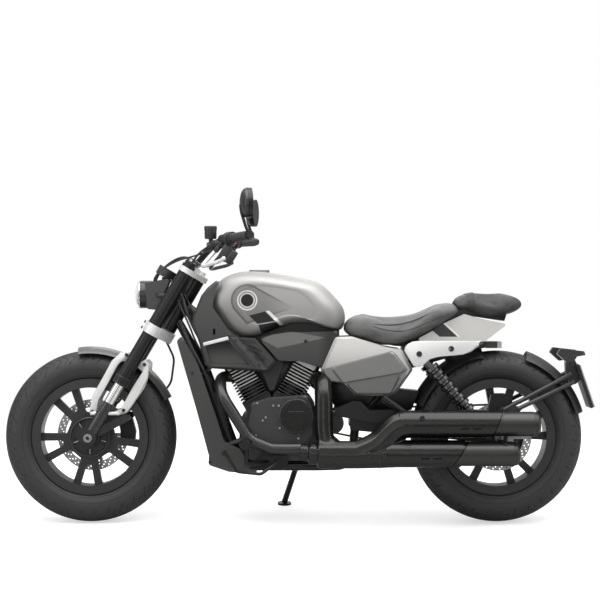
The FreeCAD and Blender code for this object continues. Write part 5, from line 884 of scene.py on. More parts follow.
ANTHRACITE = {"colour": (0.055, 0.0545, 0.0533), "rough": 0.36, "metal": 0.6, "grain": 0.00001, "flake": 0.3}
COATED = {"colour": (0.034, 0.0336, 0.0328), "rough": 0.26, "metal": 0.95, "grain": 0.00004,
          "grain_scale": 1100.0}
FINISHES = (
    TankPaint("tank_paint", (0.31, 0.307, 0.299), rough=0.52, metal=0.55, coat=0.05, coat_rough=0.25,
              grain=0.00001),
    CoverPaint("cover_paint", (0.50, 0.494, 0.48), rough=0.38, metal=0.45, coat=0.1, coat_rough=0.2,
               grain=0.00001),
    TailPaint("tail_paint", (0.50, 0.493, 0.477), rough=0.38, metal=0.4, coat=0.1, coat_rough=0.2,
              grain=0.00001),
    FlakePaint("fender_paint", (0.112, 0.110, 0.107), rough=0.38, metal=0.6, coat=0.1, coat_rough=0.2,
               grain=0.00001),
    FlakePaint("anthracite", **ANTHRACITE),
    ShroudPaint("shroud_paint", **ANTHRACITE),
    KneePaint("knee_paint", **ANTHRACITE),
    Finish("frame_black", (0.005, 0.005, 0.0052), rough=0.32, grain=0.00004, specular=0.35),
    Finish("wheel_black", (0.014, 0.014, 0.0145), rough=0.34, grain=0.00003),
    Finish("plastic_black", (0.014, 0.014, 0.0145), rough=0.46, grain=0.00008, grain_scale=1400.0),
    Finish("bracket_black", (0.045, 0.045, 0.045), rough=0.38, metal=0.4, grain=0.00006, grain_scale=1400.0),
    Finish("case_black", (0.045, 0.045, 0.045), rough=0.38, metal=0.6, grain=0.00012, grain_scale=420.0),
    FinMetal("front_fins", (0.010, 0.010, 0.0105), rough=0.40, lean_deg=-27.5),
    FinMetal("rear_fins", (0.010, 0.010, 0.0105), rough=0.40),
    Finish("silver_metal", (0.62, 0.62, 0.612), rough=0.38, metal=0.35, mottle=0.03, grain=0.00002),
    ForkLeg("fork_leg", (0.72, 0.72, 0.71), rough=0.18, metal=1.0, mottle=0.03, grain=0.00001),
    Finish("bright_metal", (0.80, 0.80, 0.79), rough=0.18, metal=1.0, mottle=0.03, grain=0.00001),
    Finish("bolt_steel", (0.35, 0.35, 0.35), rough=0.28, metal=1.0, mottle=0.05),
    Finish("bolt_black", (0.020, 0.020, 0.021), rough=0.28, metal=0.2),
    Finish("spring_steel", (0.13, 0.13, 0.132), rough=0.20, metal=1.0, mottle=0.05),
    TyreRubber("front_tyre", (0.014, 0.014, 0.014), rough=0.60, grain=0.005),
    TyreRubber("rear_tyre", (0.014, 0.014, 0.014), rough=0.60, grain=0.005, centre_x=WHEELBASE,
               half_width=0.080,
               swing=1.0),
    DiscSteel("front_disc", (0.36, 0.36, 0.36), rough=0.30, metal=1.0),
    DiscSteel("rear_disc", (0.36, 0.36, 0.36), rough=0.30, metal=1.0, centre_x=WHEELBASE,
              rows=(0.104, 0.111, 0.118)),
    # painted light and shade: the rider seat's leather is a lit copy, and the pillion pad's leather a shaded
    # copy, of one leather
    Leather("seat_leather", (0.092, 0.091, 0.090), rough=0.44, mottle=0.12, grain=0.0006),
    Leather("shaded_pad_leather", (0.024, 0.0237, 0.0233), rough=0.44, mottle=0.12, grain=0.0006),
    Finish("seat_seam", (0.012, 0.012, 0.012), rough=0.6),
    Finish("shield_coat", **COATED),
    Silencer("silencer_coat", **COATED),
    Finish("pipe_coat", (0.045, 0.045, 0.044), rough=0.32, metal=0.8, grain=0.00004, grain_scale=1100.0),
    BeltRubber("belt_rubber", (0.016, 0.016, 0.016), rough=0.7, grain=0.0012),
    GripRubber("grip_rubber", (0.022, 0.022, 0.022), rough=0.6, grain=0.0008),
    Finish("hose_rubber", (0.014, 0.014, 0.014), rough=0.40),
    LampGlass("lamp_glass", (0.50, 0.505, 0.515), rough=0.08, coat=1.0, coat_rough=0.03),
    LampHousing("lamp_housing", (0.022, 0.022, 0.0225), rough=0.25, coat=0.2),
    Finish("mirror_glass", (0.86, 0.87, 0.88), rough=0.03, metal=1.0, mottle=0.0),
    Finish("red_button", (0.30, 0.03, 0.03), rough=0.35),
    Finish("plate_blank", (0.45, 0.45, 0.45), rough=0.40, metal=0.3),
)

NODE_FINISH = {
    "fuel_tank": "tank_paint", "side_covers": "cover_paint", "tail_cowl": "tail_paint",
    "air_box": "plastic_black",
    "tank_shrouds": "shroud_paint", "knee_panels": "knee_paint", "chin_panels": "anthracite",
    "front_tyre": "front_tyre", "rear_tyre": "rear_tyre", "front_rim": "wheel_black",
    "rear_rim": "wheel_black",
    "front_disc": "front_disc", "rear_disc": "rear_disc", "rear_pulley": "wheel_black",
    "front_pulley": "wheel_black",
    "drive_belt": "belt_rubber", "fork_outer_tubes": "frame_black", "fork_legs": "fork_leg",
    "front_axle": "bolt_steel", "rear_axle": "bolt_steel", "lower_clamp": "silver_metal",
    "upper_clamp": "silver_metal", "handlebar": "frame_black", "grips": "grip_rubber",
    "hand_controls": "plastic_black", "mirrors": "frame_black", "headlight": "bolt_black",
    "headlight_lens": "lamp_glass", "headlight_brackets": "bracket_black", "instrument": "plastic_black",
    "front_fender": "fender_paint", "fender_stays": "silver_metal", "front_caliper": "frame_black",
    "brake_hose": "hose_rubber", "main_frame": "frame_black", "radiator": "plastic_black",
    "engine_block": "case_black", "clutch_cover": "shield_coat", "alternator_cover": "case_black",
    "front_cylinder": "front_fins", "rear_cylinder": "rear_fins", "fuel_cap": "tank_paint",
    "rider_seat": "seat_leather", "pillion_pad": "shaded_pad_leather", "tail_rails": "silver_metal",
    "swingarm": "frame_black", "rear_shocks": "spring_steel", "front_header": "pipe_coat",
    "rear_header": "pipe_coat", "exhaust_collector": "shield_coat", "lower_muffler": "silencer_coat",
    "upper_muffler": "silencer_coat", "inner_fender": "plastic_black", "rear_fender": "plastic_black",
    "rear_lamps": "lamp_housing", "rider_pegs": "frame_black", "foot_controls": "frame_black",
    "passenger_pegs": "frame_black", "rear_caliper": "frame_black", "side_stand": "frame_black",
}


class Shop:
    """The bench: adds primitives, shapes them, and hands finished pieces to the body they ride on."""

    def __init__(self, frame: dict) -> None:
        """Takes the loaded frame and builds every finish.
        """
        self.nodes = frame["nodes"]
        spin = next(joint for joint in frame["joints"] if joint["name"] == "front_wheel_spin")
        turn = Matrix.Rotation(math.radians(-LEAN_DEG), 4, "X")
        shift = Vector(spin["pos_m"]) - turn @ Vector((0.0, 0.0, TYRE_RADIUS))
        self.stance = Matrix.Translation(shift) @ turn
        self.upright = self.stance.inverted()
        self.slots = {entry["node"]: entry["material_slot"] for entry in frame["record"]["subparts"]}
        self.materials = {finish.name: finish.build(self.stance) for finish in FINISHES}
        self.screw = self._screw_head()

    def deselect(self) -> None:
        """Deselects every object."""
        if bpy.context.mode != "OBJECT":
            bpy.ops.object.mode_set(mode="OBJECT")
        bpy.ops.object.select_all(action="DESELECT")

    def select(self, *pieces: bpy.types.Object) -> bpy.types.Object:
        """Selects only these pieces and makes the first one active.

        Args:
            pieces: the pieces.

        Returns:
            The first piece.
        """
        self.deselect()
        for piece in pieces:
            piece.select_set(True)
        bpy.context.view_layer.objects.active = pieces[0]
        return pieces[0]

    @contextmanager
    def editing(self) -> Iterator[None]:
        """Edit mode on the active piece, all of it selected, and object mode again after it.

        Returns:
            The context for a with statement.
        """
        bpy.ops.object.mode_set(mode="EDIT")
        bpy.ops.mesh.select_all(action="SELECT")
        yield
        bpy.ops.object.mode_set(mode="OBJECT")

    def face_outwards(self) -> None:
        """Turns every face of the piece in edit mode outwards."""
        bpy.ops.mesh.select_all(action="SELECT")
        bpy.ops.mesh.normals_make_consistent(inside=False)

    def modify(self, piece: bpy.types.Object, kind: str, **settings: float | int | str) -> bpy.types.Object:
        """Adds one modifier to a piece and applies it.

        Args:
            piece: the piece.
            kind: the modifier's type.
            settings: its settings by name.

        Returns:
            The piece.
        """
        self.select(piece)
        modifier = piece.modifiers.new(kind, kind)
        for name, value in settings.items():
            setattr(modifier, name, value)
        bpy.ops.object.modifier_apply(modifier=modifier.name)
        return piece

    def spawn(self, name: str, mesh: bpy.types.Mesh) -> bpy.types.Object:
        """A new object with its own copy of a mesh.

        Args:
            name: the object's name.
            mesh: the mesh to copy.

        Returns:
            The object.
        """
        piece = bpy.data.objects.new(name, mesh.copy())
        bpy.context.scene.collection.objects.link(piece)
        return piece

    def paint(self, piece: bpy.types.Object, finish: str) -> None:
        """Gives a piece or a node one finish all over."""
        piece.data.materials.clear()
        piece.data.materials.append(self.materials[finish])

    def stack(self, steps: Outline, sides: int = 32) -> bpy.types.Object:
        """A turned body, made from a disc that is extruded and scaled along Z.

        Args:
            steps: its heights and radii, from the height 0 up.
            sides: its facets round the axis.

        Returns:
            The piece, on its side of the origin.
        """
        self.deselect()
        height, radius = steps[0]
        bpy.ops.mesh.primitive_circle_add(vertices=sides, radius=radius, fill_type="NGON")
        piece = bpy.context.object
        with self.editing():
            for next_height, next_radius in steps[1:]:
                rise = (0.0, 0.0, next_height - height)
                bpy.ops.mesh.extrude_region_move(TRANSFORM_OT_translate={"value": rise})
                ratio = next_radius / radius
                bpy.ops.transform.resize(value=(ratio, ratio, 1.0), center_override=(0.0, 0.0, next_height))
                height, radius = next_height, next_radius
            self.face_outwards()
        return piece

    def plate(self, outline: Outline, near: float, far: float, bevel: float) -> bpy.types.Object:
        """A flat plate across Y with bevelled edges.

        Args:
            outline: its corners in X and Z.
            near: the Y of one face.
            far: the Y of the other face.
            bevel: the width of the bevel.

        Returns:
            The plate in place.
        """
        self.deselect()
        bpy.ops.mesh.primitive_circle_add(vertices=len(outline), radius=1.0, fill_type="NGON")
        piece = bpy.context.object
        for vertex, (x, z) in zip(piece.data.vertices, outline):
            vertex.co = (x, near, z)
        with self.editing():
            bpy.ops.mesh.extrude_region_move(TRANSFORM_OT_translate={"value": (0.0, far - near, 0.0)})
            self.face_outwards()
        return self.bevel(piece, bevel)

    def bevel(self, piece: bpy.types.Object, width: float, segments: int = 2) -> bpy.types.Object:
        """Rounds the sharp edges of a piece."""
        return self.modify(piece, "BEVEL", width=width, segments=segments, limit_method="ANGLE")

    def ring(self, centre: Place, way: Place, radius: float, thick: float) -> bpy.types.Object:
        """A round ring about an axis.

        Args:
            centre: its centre in the upright frame.
            way: its axis.
            radius: its radius.
            thick: how thick it is.

        Returns:
            The ring.
        """
        self.deselect()
        bpy.ops.mesh.primitive_torus_add(major_radius=radius, minor_radius=thick, major_segments=48,
                                         minor_segments=10)
        return self.put_at(bpy.context.object, centre, way)

    def tube(self, points: tuple[Place, ...], radius: float, order: int = 3) -> bpy.types.Object:
        """A smooth round hose or wire through control points.

        Args:
            points: the control points.
            radius: the hose's radius.
            order: the order of its curve.

        Returns:
            The hose as a mesh.
        """
        self.deselect()
        bpy.ops.curve.primitive_nurbs_path_add()
        piece = bpy.context.object
        curve = piece.data
        curve.splines.clear()
        spline = curve.splines.new("NURBS")
        spline.points.add(len(points) - 1)
        for target, point in zip(spline.points, points):
            target.co = (*point, 1.0)
        spline.order_u = order
        spline.use_endpoint_u = True
        curve.bevel_depth = radius
        curve.bevel_resolution = 3
        curve.resolution_u = 10
        curve.use_fill_caps = True
        self.select(piece)
        bpy.ops.object.convert(target="MESH")
        return bpy.context.object

    def melt(self, piece: bpy.types.Object, voxel: float, passes: int) -> bpy.types.Object:
        """Merges what a piece is made of into one soft skin.

        Args:
            piece: a piece of closed bodies.
            voxel: the size of its new facets.
            passes: how often the skin is smoothed.

        Returns:
            The piece.
        """
        self.modify(piece, "REMESH", mode="VOXEL", voxel_size=voxel)
        return self.modify(piece, "SMOOTH", factor=0.5, iterations=passes)

    def put_at(self, piece: bpy.types.Object, at: Place, way: Place) -> bpy.types.Object:
        """Moves a piece drawn along Z to a place, pointing along a way."""
        piece.matrix_world = aimed(at, way)
        return piece

    def surface(self, node: str, x: float, z: float, side: int) -> Vector:
        """The point where a line along Y first meets a node, coming from one side.

        Args:
            node: the CAD node.
            x: the line's X.
            z: the line's Z.
            side: -1 from the camera's side, 1 from the far side.

        Returns:
            The point in the upright frame.
        """
        point = self.meet(self.nodes[node], x, z, side)
        if point is None:
            raise ValueError(f"nothing of {node} at {x:.3f}, {z:.3f}")
        return point

    def meet(self, piece: bpy.types.Object, x: float, z: float, side: int) -> Vector | None:
        """The point where a line along Y first meets a piece, coming from one side.

        Args:
            piece: a piece whose place is in its mesh.
            x: the line's X in the upright frame.
            z: the line's Z.
            side: -1 from the camera's side, 1 from the far side.

        Returns:
            The point in the upright frame, or None.
        """
        start = self.stance @ Vector((x, side * RAY_START, z))
        way = self.stance.to_3x3() @ Vector((0.0, -side, 0.0))
        hit, point, _, _ = piece.ray_cast(start, way)
        return self.upright @ point if hit else None

    def block(self, centre: Place, size: Place, bevel: float,
              way: Place = (0.0, 0.0, 1.0)) -> bpy.types.Object:
        """A rounded block.

        Args:
            centre: its middle.
            size: its size before it is turned.
            bevel: the width of its bevels.
            way: where its Z axis points.

        Returns:
            The block in place.
        """
        self.deselect()
        bpy.ops.mesh.primitive_cube_add(size=1.0)
        piece = bpy.context.object
        piece.scale = size
        bpy.ops.object.transform_apply(location=False, rotation=False, scale=True)
        self.bevel(piece, bevel, 3)
        return self.put_at(piece, centre, way)

    def rod(self, start: Place, end: Place, radius: float, edge: float = 0.0015,
            sides: int = 28) -> bpy.types.Object:
        """A round bar between two points, with chamfered ends.

        Args:
            start: the middle of one end.
            end: the middle of the other end.
            radius: its radius.
            edge: the bevel of its ends.
            sides: how many sides it has.

        Returns:
            The rod.
        """
        run = Vector(end) - Vector(start)
        steps = ((0.0, radius - edge), (edge, radius), (run.length - edge, radius),
                 (run.length, radius - edge))
        return self.put_at(self.stack(steps, sides), start, run)

    def _screw_head(self) -> bpy.types.Mesh:
        """The mesh of one socket screw's head, of unit radius.

        Returns:
            Its mesh, with a radius of 1.
        """
        steps = ((0.0, 1.0), (0.75, 1.0), (0.95, 0.86), (0.95, 0.52), (0.5, 0.48))
        piece = self.stack(steps, 14)
        mesh = piece.data
        bpy.data.objects.remove(piece)
        return mesh

    def join(self, pieces: list[bpy.types.Object]) -> bpy.types.Object:
        """Joins pieces into one object, with their places in the mesh.

        Args:
            pieces: the pieces.

        Returns:
            One piece with all of them.
        """
        for piece in pieces:
            self.select(piece)
            bpy.ops.object.transform_apply(location=True, rotation=True, scale=True)
        self.select(*pieces)
        if len(pieces) > 1:
            bpy.ops.object.join()
        return bpy.context.object

    def screws(self, name: str, body: Body, spots: list[tuple[Vector, Place, float]],
               finish: str = "bolt_steel") -> None:
        """A set of screw heads on one body.

        Args:
            name: the set's name.
            body: the body it rides on.
            spots: the seat, direction and radius of each head.
            finish: the finish they share.
        """
        heads = []
        for at, way, radius in spots:
            head = self.spawn(name, self.screw)
            head.matrix_world = aimed(at, way) @ Matrix.Scale(radius, 4)
            heads.append(head)
        self.finish(self.join(heads), name, body, finish, flat=True)

    def side_screws(self, name: str, body: Body, node: str, places: Outline, side: int,
                    radius: float, finish: str = "bolt_steel") -> None:
        """Screw heads seated on one side of a node.

        Args:
            name: the set's name.
            body: the body it rides on.
            node: the node.
            places: their places in the side view.
            side: -1 for the camera's side, 1 for the far side.
            radius: the radius of each head.
            finish: the finish they share.
        """
        spots = []
        for x, z in places:
            point = self.meet(self.nodes[node], x, z, side)
            if point is None:
                LOG.warning("nothing of %s at %.3f, %.3f", node, x, z)
            else:
                spots.append((point, (0.0, side, 0.0), radius))
        if spots:
            self.screws(name, body, spots, finish)

    def finish(self, piece: bpy.types.Object, name: str, body: Body | None, finish: str, slot: str = "",
               flat: bool = False) -> bpy.types.Object:
        """Leans a piece with the machine, fixes its place in its mesh, and lets it ride.

        Args:
            piece: the piece, placed in the upright frame.
            name: its name.
            body: the body it rides on, or None for a piece that is attached to no body.
            finish: the name of its finish.
            slot: the record's material slot; not used.
            flat: whether its facets stay flat.

        Returns:
            The finished piece.
        """
        self.select(piece)
        piece.matrix_world = self.stance @ piece.matrix_world
        bpy.ops.object.transform_apply(location=True, rotation=True, scale=True)
        if not flat:
            bpy.ops.object.shade_smooth_by_angle(angle=math.radians(SMOOTH_DEG))
        piece.name = name
        piece.data.name = name
        self.paint(piece, finish)
        if body is not None:
            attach(piece, body.value)
        LOG.info("%s rides on %s", name, body.value if body else "two bodies")
        return piece


def aimed(at: Place, way: Place) -> Matrix:
    """The matrix that takes the origin to a place and +Z to a way."""
    return Matrix.Translation(Vector(at)) @ Vector(way).to_track_quat("Z", "Y").to_matrix().to_4x4()


def scaled(profile: Outline, radius: float) -> Outline:
    """A turned body's heights and radii, from radii given as shares of one."""
    return tuple((height, radius * share) for height, share in profile)


def on_side(points: tuple[Place, ...], side: int) -> tuple[Place, ...]:
    """Points given for the far side, taken to one side."""
    return tuple((x, side * y, z) for x, y, z in points)


def around(centre: Corner, radius: float, count: int, start_deg: float = 0.0) -> Outline:
    """Points evenly round a circle in the side view.

    Args:
        centre: the circle's centre in X and Z.
        radius: its radius.
        count: how many points.
        start_deg: the first point's angle from +X.

    Returns:
        The points.
    """
    angles = [math.radians(start_deg + 360.0 * index / count) for index in range(count)]
    return tuple((centre[0] + radius * math.cos(a), centre[1] + radius * math.sin(a)) for a in angles)


def on_leg(distance: float, side: int, ahead: float = 0.0) -> Vector:
    """A point of a fork leg.

    Args:
        distance: the distance up the leg from the axle.
        side: -1 for the camera's side, 1 for the far side.
        ahead: the distance in front of the leg's middle.

    Returns:
        The point in the upright frame.
    """
    rake = math.radians(RAKE_DEG)
    x = distance * math.sin(rake) - ahead * math.cos(rake)
    z = TYRE_RADIUS + distance * math.cos(rake) + ahead * math.sin(rake)
    return Vector((x, side * Fork.half_spacing, z))


@dataclass
class CadDress:
    """Finishes for the CAD nodes."""

    def build(self, shop: Shop) -> None:
        """Gives every CAD node its finish.

        Args:
            shop: the bench.
        """
        for name, node in shop.nodes.items():
            shop.paint(node, NODE_FINISH.get(name, "plastic_black"))
        LOG.info("dressed %d nodes", len(shop.nodes))


@dataclass
class Wheels:
    """What is bolted to the two wheels."""

    spokes: int = 5
    ring_radius: float = 0.070
    ring_thick: float = 0.0042
    bolt_circle: float = 0.036
    bolt_radius: float = 0.0055
    bolts_from_deg: float = 20.0
    pocket_circle: float = 0.054
    pocket_size: Place = (0.012, 0.003, 0.020)
    pocket_bevel: float = 0.001
    pockets_from_deg: float = 56.0
    valve_steps: Outline = ((0.0, 0.0064), (0.008, 0.004), (0.026, 0.004), (0.030, 0.0024))
    valve_reach: float = 0.183
    valve_y: float = 0.03
    valve_turn: float = 0.9

    def build(self, shop: Shop) -> None:
        """Both hubs' bolts, rings and pockets, and the valves.

        Args:
            shop: the bench.
        """
        for name, centre, body in (("front", 0.0, Body.FRONT_WHEEL), ("rear", WHEELBASE, Body.REAR_WHEEL)):
            for side, word in SIDES:
                self.hub(shop, name, centre, body, side, word)
            self.valve(shop, name, centre, body)

    def hub(self, shop: Shop, name: str, centre: float, body: Body, side: int, word: str) -> None:
        """The bolts, ring and pockets on one side of a hub.

        Args:
            shop: the bench.
            name: the wheel's name, front or rear.
            centre: the axle's X.
            body: the body it rides on.
            side: -1 for the camera's side, 1 for the far side.
            word: the side's name.
        """
        axle = (centre, TYRE_RADIUS)
        spots = []
        for x, z in around(axle, self.bolt_circle, self.spokes, self.bolts_from_deg):
            spots.append((shop.surface(f"{name}_rim", x, z, side), (0.0, side, 0.0), self.bolt_radius))
        shop.screws(f"{name}_hub_bolts_{word}", body, spots, "bolt_black")
        face = min(side * spot[0].y for spot in spots) * side
        ring = shop.ring((centre, face, TYRE_RADIUS), (0.0, side, 0.0), self.ring_radius, self.ring_thick)
        shop.finish(ring, f"{name}_hub_ring_{word}", body, "wheel_black")
        marks = []
        for x, z in around(axle, self.pocket_circle, self.spokes, self.pockets_from_deg):
            way = Vector((x - centre, 0.0, z - TYRE_RADIUS))
            marks.append(shop.block((x, face, z), self.pocket_size, self.pocket_bevel, way))
        shop.finish(shop.join(marks), f"{name}_hub_pockets_{word}", body, "bolt_steel")

    def valve(self, shop: Shop, name: str, centre: float, body: Body) -> None:
        """The tyre valve, standing inwards from the rim well.

        Args:
            shop: the bench.
            name: the wheel's name, front or rear.
            centre: the axle's X.
            body: the body it rides on.
        """
        way = Vector((math.cos(self.valve_turn), 0.0, math.sin(self.valve_turn)))
        at = Vector((centre, self.valve_y, TYRE_RADIUS)) + way * self.valve_reach
        valve = shop.put_at(shop.stack(self.valve_steps, 12), at, -way)
        shop.finish(valve, f"{name}_valve", body, "bolt_black")


@dataclass
class Fork:
    """Collars, caps and clamp bolts of the fork, and the cover plates of the fender's stays."""

    half_spacing: float = 0.105
    collars: tuple = (0.232, 0.258)
    collar_radius: float = 0.0285
    collar_thick: float = 0.0022
    stay_bolts: tuple = ((0.1405, 0.6262), (0.2064, 0.5899), (0.0127, 0.4154), (0.1286, 0.4207))
    stays: tuple = (
        ((0.1174, 0.6341), (0.0845, 0.6031), (0.0549, 0.5471), (0.0121, 0.4648), (0.0022, 0.4220),
         (0.0055, 0.4068),
         (0.0252, 0.4035), (0.0351, 0.4582), (0.0746, 0.5274), (0.1062, 0.5866), (0.1240, 0.6064),
         (0.1504, 0.6182),
         (0.1484, 0.6341)),
        ((0.1879, 0.6011), (0.2116, 0.6051), (0.2222, 0.5919), (0.2195, 0.5438), (0.1866, 0.4813),
         (0.1504, 0.4253),
         (0.1352, 0.4088), (0.0944, 0.4075), (0.0957, 0.4167), (0.1194, 0.4266), (0.1286, 0.4450),
         (0.1635, 0.5076),
         (0.1965, 0.5603), (0.2011, 0.5767), (0.1899, 0.5899)),
    )
    stay_near: float = 0.093
    stay_far: float = 0.085
    stay_bevel: float = 0.002
    stay_bolt_radius: float = 0.0068
    cap: Outline = ((0.0, 1.0), (0.006, 1.0), (0.008, 0.9), (0.008, 0.45), (0.015, 0.42))
    cap_radius: float = 0.019
    cap_distance: float = 0.752
    clamp_bolts: tuple = (0.453, 0.477)
    clamp_depth: float = 0.034
    clamp_bolt_radius: float = 0.0055

    def build(self, shop: Shop) -> None:
        """Small parts on both legs and the clamps.

        Args:
            shop: the bench.
        """
        rake = math.radians(RAKE_DEG)
        up = (math.sin(rake), 0.0, math.cos(rake))
        ahead = (-math.cos(rake), 0.0, math.sin(rake))
        for side, word in SIDES:
            collars = [shop.ring(on_leg(distance, side), up, self.collar_radius, self.collar_thick)
                       for distance in self.collars]
            shop.finish(shop.join(collars), f"seal_collar_{word}", Body.STEERING, "bolt_black")
            cap = shop.stack(scaled(self.cap, self.cap_radius), 6)
            shop.finish(shop.put_at(cap, on_leg(self.cap_distance, side), up), f"fork_cap_{word}",
                        Body.STEERING,
                        "bolt_steel", flat=True)
            spots = [(on_leg(distance, side, self.clamp_depth), ahead, self.clamp_bolt_radius)
                     for distance in self.clamp_bolts]
            shop.screws(f"clamp_bolts_{word}", Body.STEERING, spots, "bolt_black")
            near, far = side * self.stay_near, side * self.stay_far
            plates = [shop.plate(outline, near, far, self.stay_bevel) for outline in self.stays]
            shop.finish(shop.join(plates), f"stay_plates_{word}", Body.STEERING, "silver_metal")
            spots = [(Vector((x, near, z)), (0.0, side, 0.0), self.stay_bolt_radius) for x,
                     z in self.stay_bolts]
            shop.screws(f"stay_bolts_{word}", Body.STEERING, spots, "bolt_black")


@dataclass
class Mirrors:
    """The glass and the domed backs of the round mirrors."""

    glass: Outline = ((0.0, 0.048), (0.0012, 0.048), (0.0018, 0.04728))
    glass_ahead: float = 0.0078
    dome: tuple = ((0.0, 0.0532), (0.005, 0.0520), (0.011, 0.0470), (0.0165, 0.0370), (0.020, 0.0230),
                   (0.0215, 0.0080))
    dome_behind: float = 0.004
    shell_radius: float = 0.054
    toe_in: float = 0.2

    def build(self, shop: Shop) -> None:
        """A glass on the rear face of each shell and a dome on its front.

        Args:
            shop: the bench.
        """
        for side, word in SIDES:
            way = Vector((1.0, -side * self.toe_in, 0.0)).normalized()
            middle = self.shell_centre(shop, side)
            glass = shop.put_at(shop.stack(self.glass, 48), middle + way * self.glass_ahead, way)
            shop.finish(glass, f"mirror_glass_{word}", Body.STEERING, "mirror_glass")
            dome = shop.put_at(shop.stack(self.dome, 48), middle - way * self.dome_behind, -way)
            shop.finish(dome, f"mirror_back_{word}", Body.STEERING, "wheel_black")

    def shell_centre(self, shop: Shop, side: int) -> Vector:
        """The middle of one mirror's shell, found from the top of its mesh.

        Args:
            shop: the bench.
            side: -1 for the camera's side, 1 for the far side.

        Returns:
            The centre of the shell.
        """
        points = [shop.upright @ vertex.co for vertex in shop.nodes["mirrors"].data.vertices]
        half = [point for point in points if point.y * side > 0]
        top = max(point.z for point in half)
        shell = [point for point in half if point.z > top - self.shell_radius]
        middle = Vector((0.0, 0.0, 0.0))
        for axis in range(3):
            values = [point[axis] for point in shell]
            middle[axis] = (min(values) + max(values)) / 2
        middle.z = top - self.shell_radius
        return middle


@dataclass
class Seats:
    """Padded rider seat and pillion pad, with their seams."""

    voxel: float = 0.006
    merge: float = 0.0001
    soften_passes: int = 6
    fill: float = 0.8
    pressure: float = 3.0
    most_swell: float = 0.009
    last_frame: int = 14
    seam_radius: float = 0.0016
    strap_span: tuple = (1.400, 1.428)
    strap_lift: float = 0.0022
    strap_thick: float = 0.002

    @property
    def seams(self) -> dict[str, tuple]:
        """The seams of each pad in the side view.

        Returns:
            The routes of the seams in the side view by node.
        """
        return {
            "rider_seat": (
                ((0.968, 0.742), (1.009, 0.752), (1.062, 0.727), (1.105, 0.717), (1.152, 0.713),
                 (1.195, 0.722), (1.235, 0.739),
                 (1.295, 0.766), (1.355, 0.795)),
                ((0.986, 0.765), (1.039, 0.743), (1.085, 0.737), (1.129, 0.737), (1.165, 0.743),
                 (1.205, 0.754), (1.255, 0.778),
                 (1.310, 0.806)),
            ),
            "pillion_pad": (
                ((1.352, 0.800), (1.390, 0.803), (1.450, 0.804), (1.510, 0.804), (1.570, 0.806),
                 (1.620, 0.812)),
            ),
        }

    def build(self, shop: Shop) -> None:
        """Both pads.

        Args:
            shop: the bench.
        """
        for node in ("rider_seat", "pillion_pad"):
            pad = shop.select(self.pad(shop, node))
            pad.name = f"{node}_cover"
            shop.paint(pad, NODE_FINISH[node])
            bpy.ops.object.shade_smooth()
            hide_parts(node)
            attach(pad, Body.CHASSIS.value)
            self.sewn(shop, pad, node)
            LOG.info("padded %s", node)

    def sewn(self, shop: Shop, pad: bpy.types.Object, node: str) -> None:
        """Seam cords laid on one pad, and the strap round the rear one.

        Args:
            shop: the bench.
            pad: the finished pad.
            node: the CAD node that it covers.
        """
        for index, route in enumerate(self.seams[node]):
            for side, word in SIDES:
                hits = [shop.meet(pad, x, z, side) for x, z in route]
                points = tuple(hit for hit in hits if hit is not None)
                if len(points) > 3:
                    seam = shop.tube(points, self.seam_radius)
                    shop.finish(seam, f"{node}_seam_{index}_{word}", Body.CHASSIS, "seat_seam")
        if node == "pillion_pad":
            self.strap(shop, pad)

    def strap(self, shop: Shop, pad: bpy.types.Object) -> None:
        """The band round the pillion pad, cut from a copy of its cover and stood off it.

        Args:
            shop: the bench.
            pad: the finished pad.
        """
        band = shop.spawn("pillion_strap", pad.data)
        band.data.transform(shop.upright)
        shop.select(band)
        with shop.editing():
            for x, way in zip(self.strap_span, (-1.0, 1.0)):
                bpy.ops.mesh.select_all(action="SELECT")
                bpy.ops.mesh.bisect(plane_co=(x, 0.0, 0.0), plane_no=(way, 0.0, 0.0), clear_outer=True)
            bpy.ops.mesh.select_all(action="SELECT")
            bpy.ops.transform.shrink_fatten(value=self.strap_lift)
        shop.modify(band, "SOLIDIFY", thickness=self.strap_thick, offset=-1.0)
        shop.finish(band, "pillion_strap", Body.CHASSIS, "seat_seam")

    def pad(self, shop: Shop, node: str) -> bpy.types.Object:
        """A soft copy of one CAD pad, swollen by cloth pressure where time allows.

        Args:
            shop: the bench.
            node: the CAD node.

        Returns:
            The soft pad, in the row's frame.
        """
        pad = shop.select(shop.spawn(node, shop.nodes[node].data))
        with shop.editing():
            bpy.ops.mesh.remove_doubles(threshold=self.merge)
            shop.face_outwards()
        shop.melt(pad, self.voxel, self.soften_passes)
        rest = [vertex.co.copy() for vertex in pad.data.vertices]
        self.swell(pad, rest)
        return pad

    def swell(self, pad: bpy.types.Object, rest: list[Vector]) -> None:
        """Swells a pad with the Cloth modifier and holds each point near its start.

        Args:
            pad: the pad.
            rest: its points before.
        """
        cloth = pad.modifiers.new("cloth", "CLOTH")
        cloth.settings.use_pressure = True
        cloth.settings.uniform_pressure_force = self.pressure
        cloth.settings.effector_weights.gravity = 0.0
        cloth.settings.quality = 4
        cloth.point_cache.frame_start = 1
        cloth.point_cache.frame_end = self.last_frame
        for frame in range(1, self.last_frame + 1):
            bpy.context.scene.frame_set(frame)
        bpy.ops.object.modifier_apply(modifier=cloth.name)
        bpy.context.scene.frame_set(1)
        for vertex, start in zip(pad.data.vertices, rest):
            move = vertex.co - start
            if move.length > self.most_swell:
                vertex.co = start + move.normalized() * self.most_swell


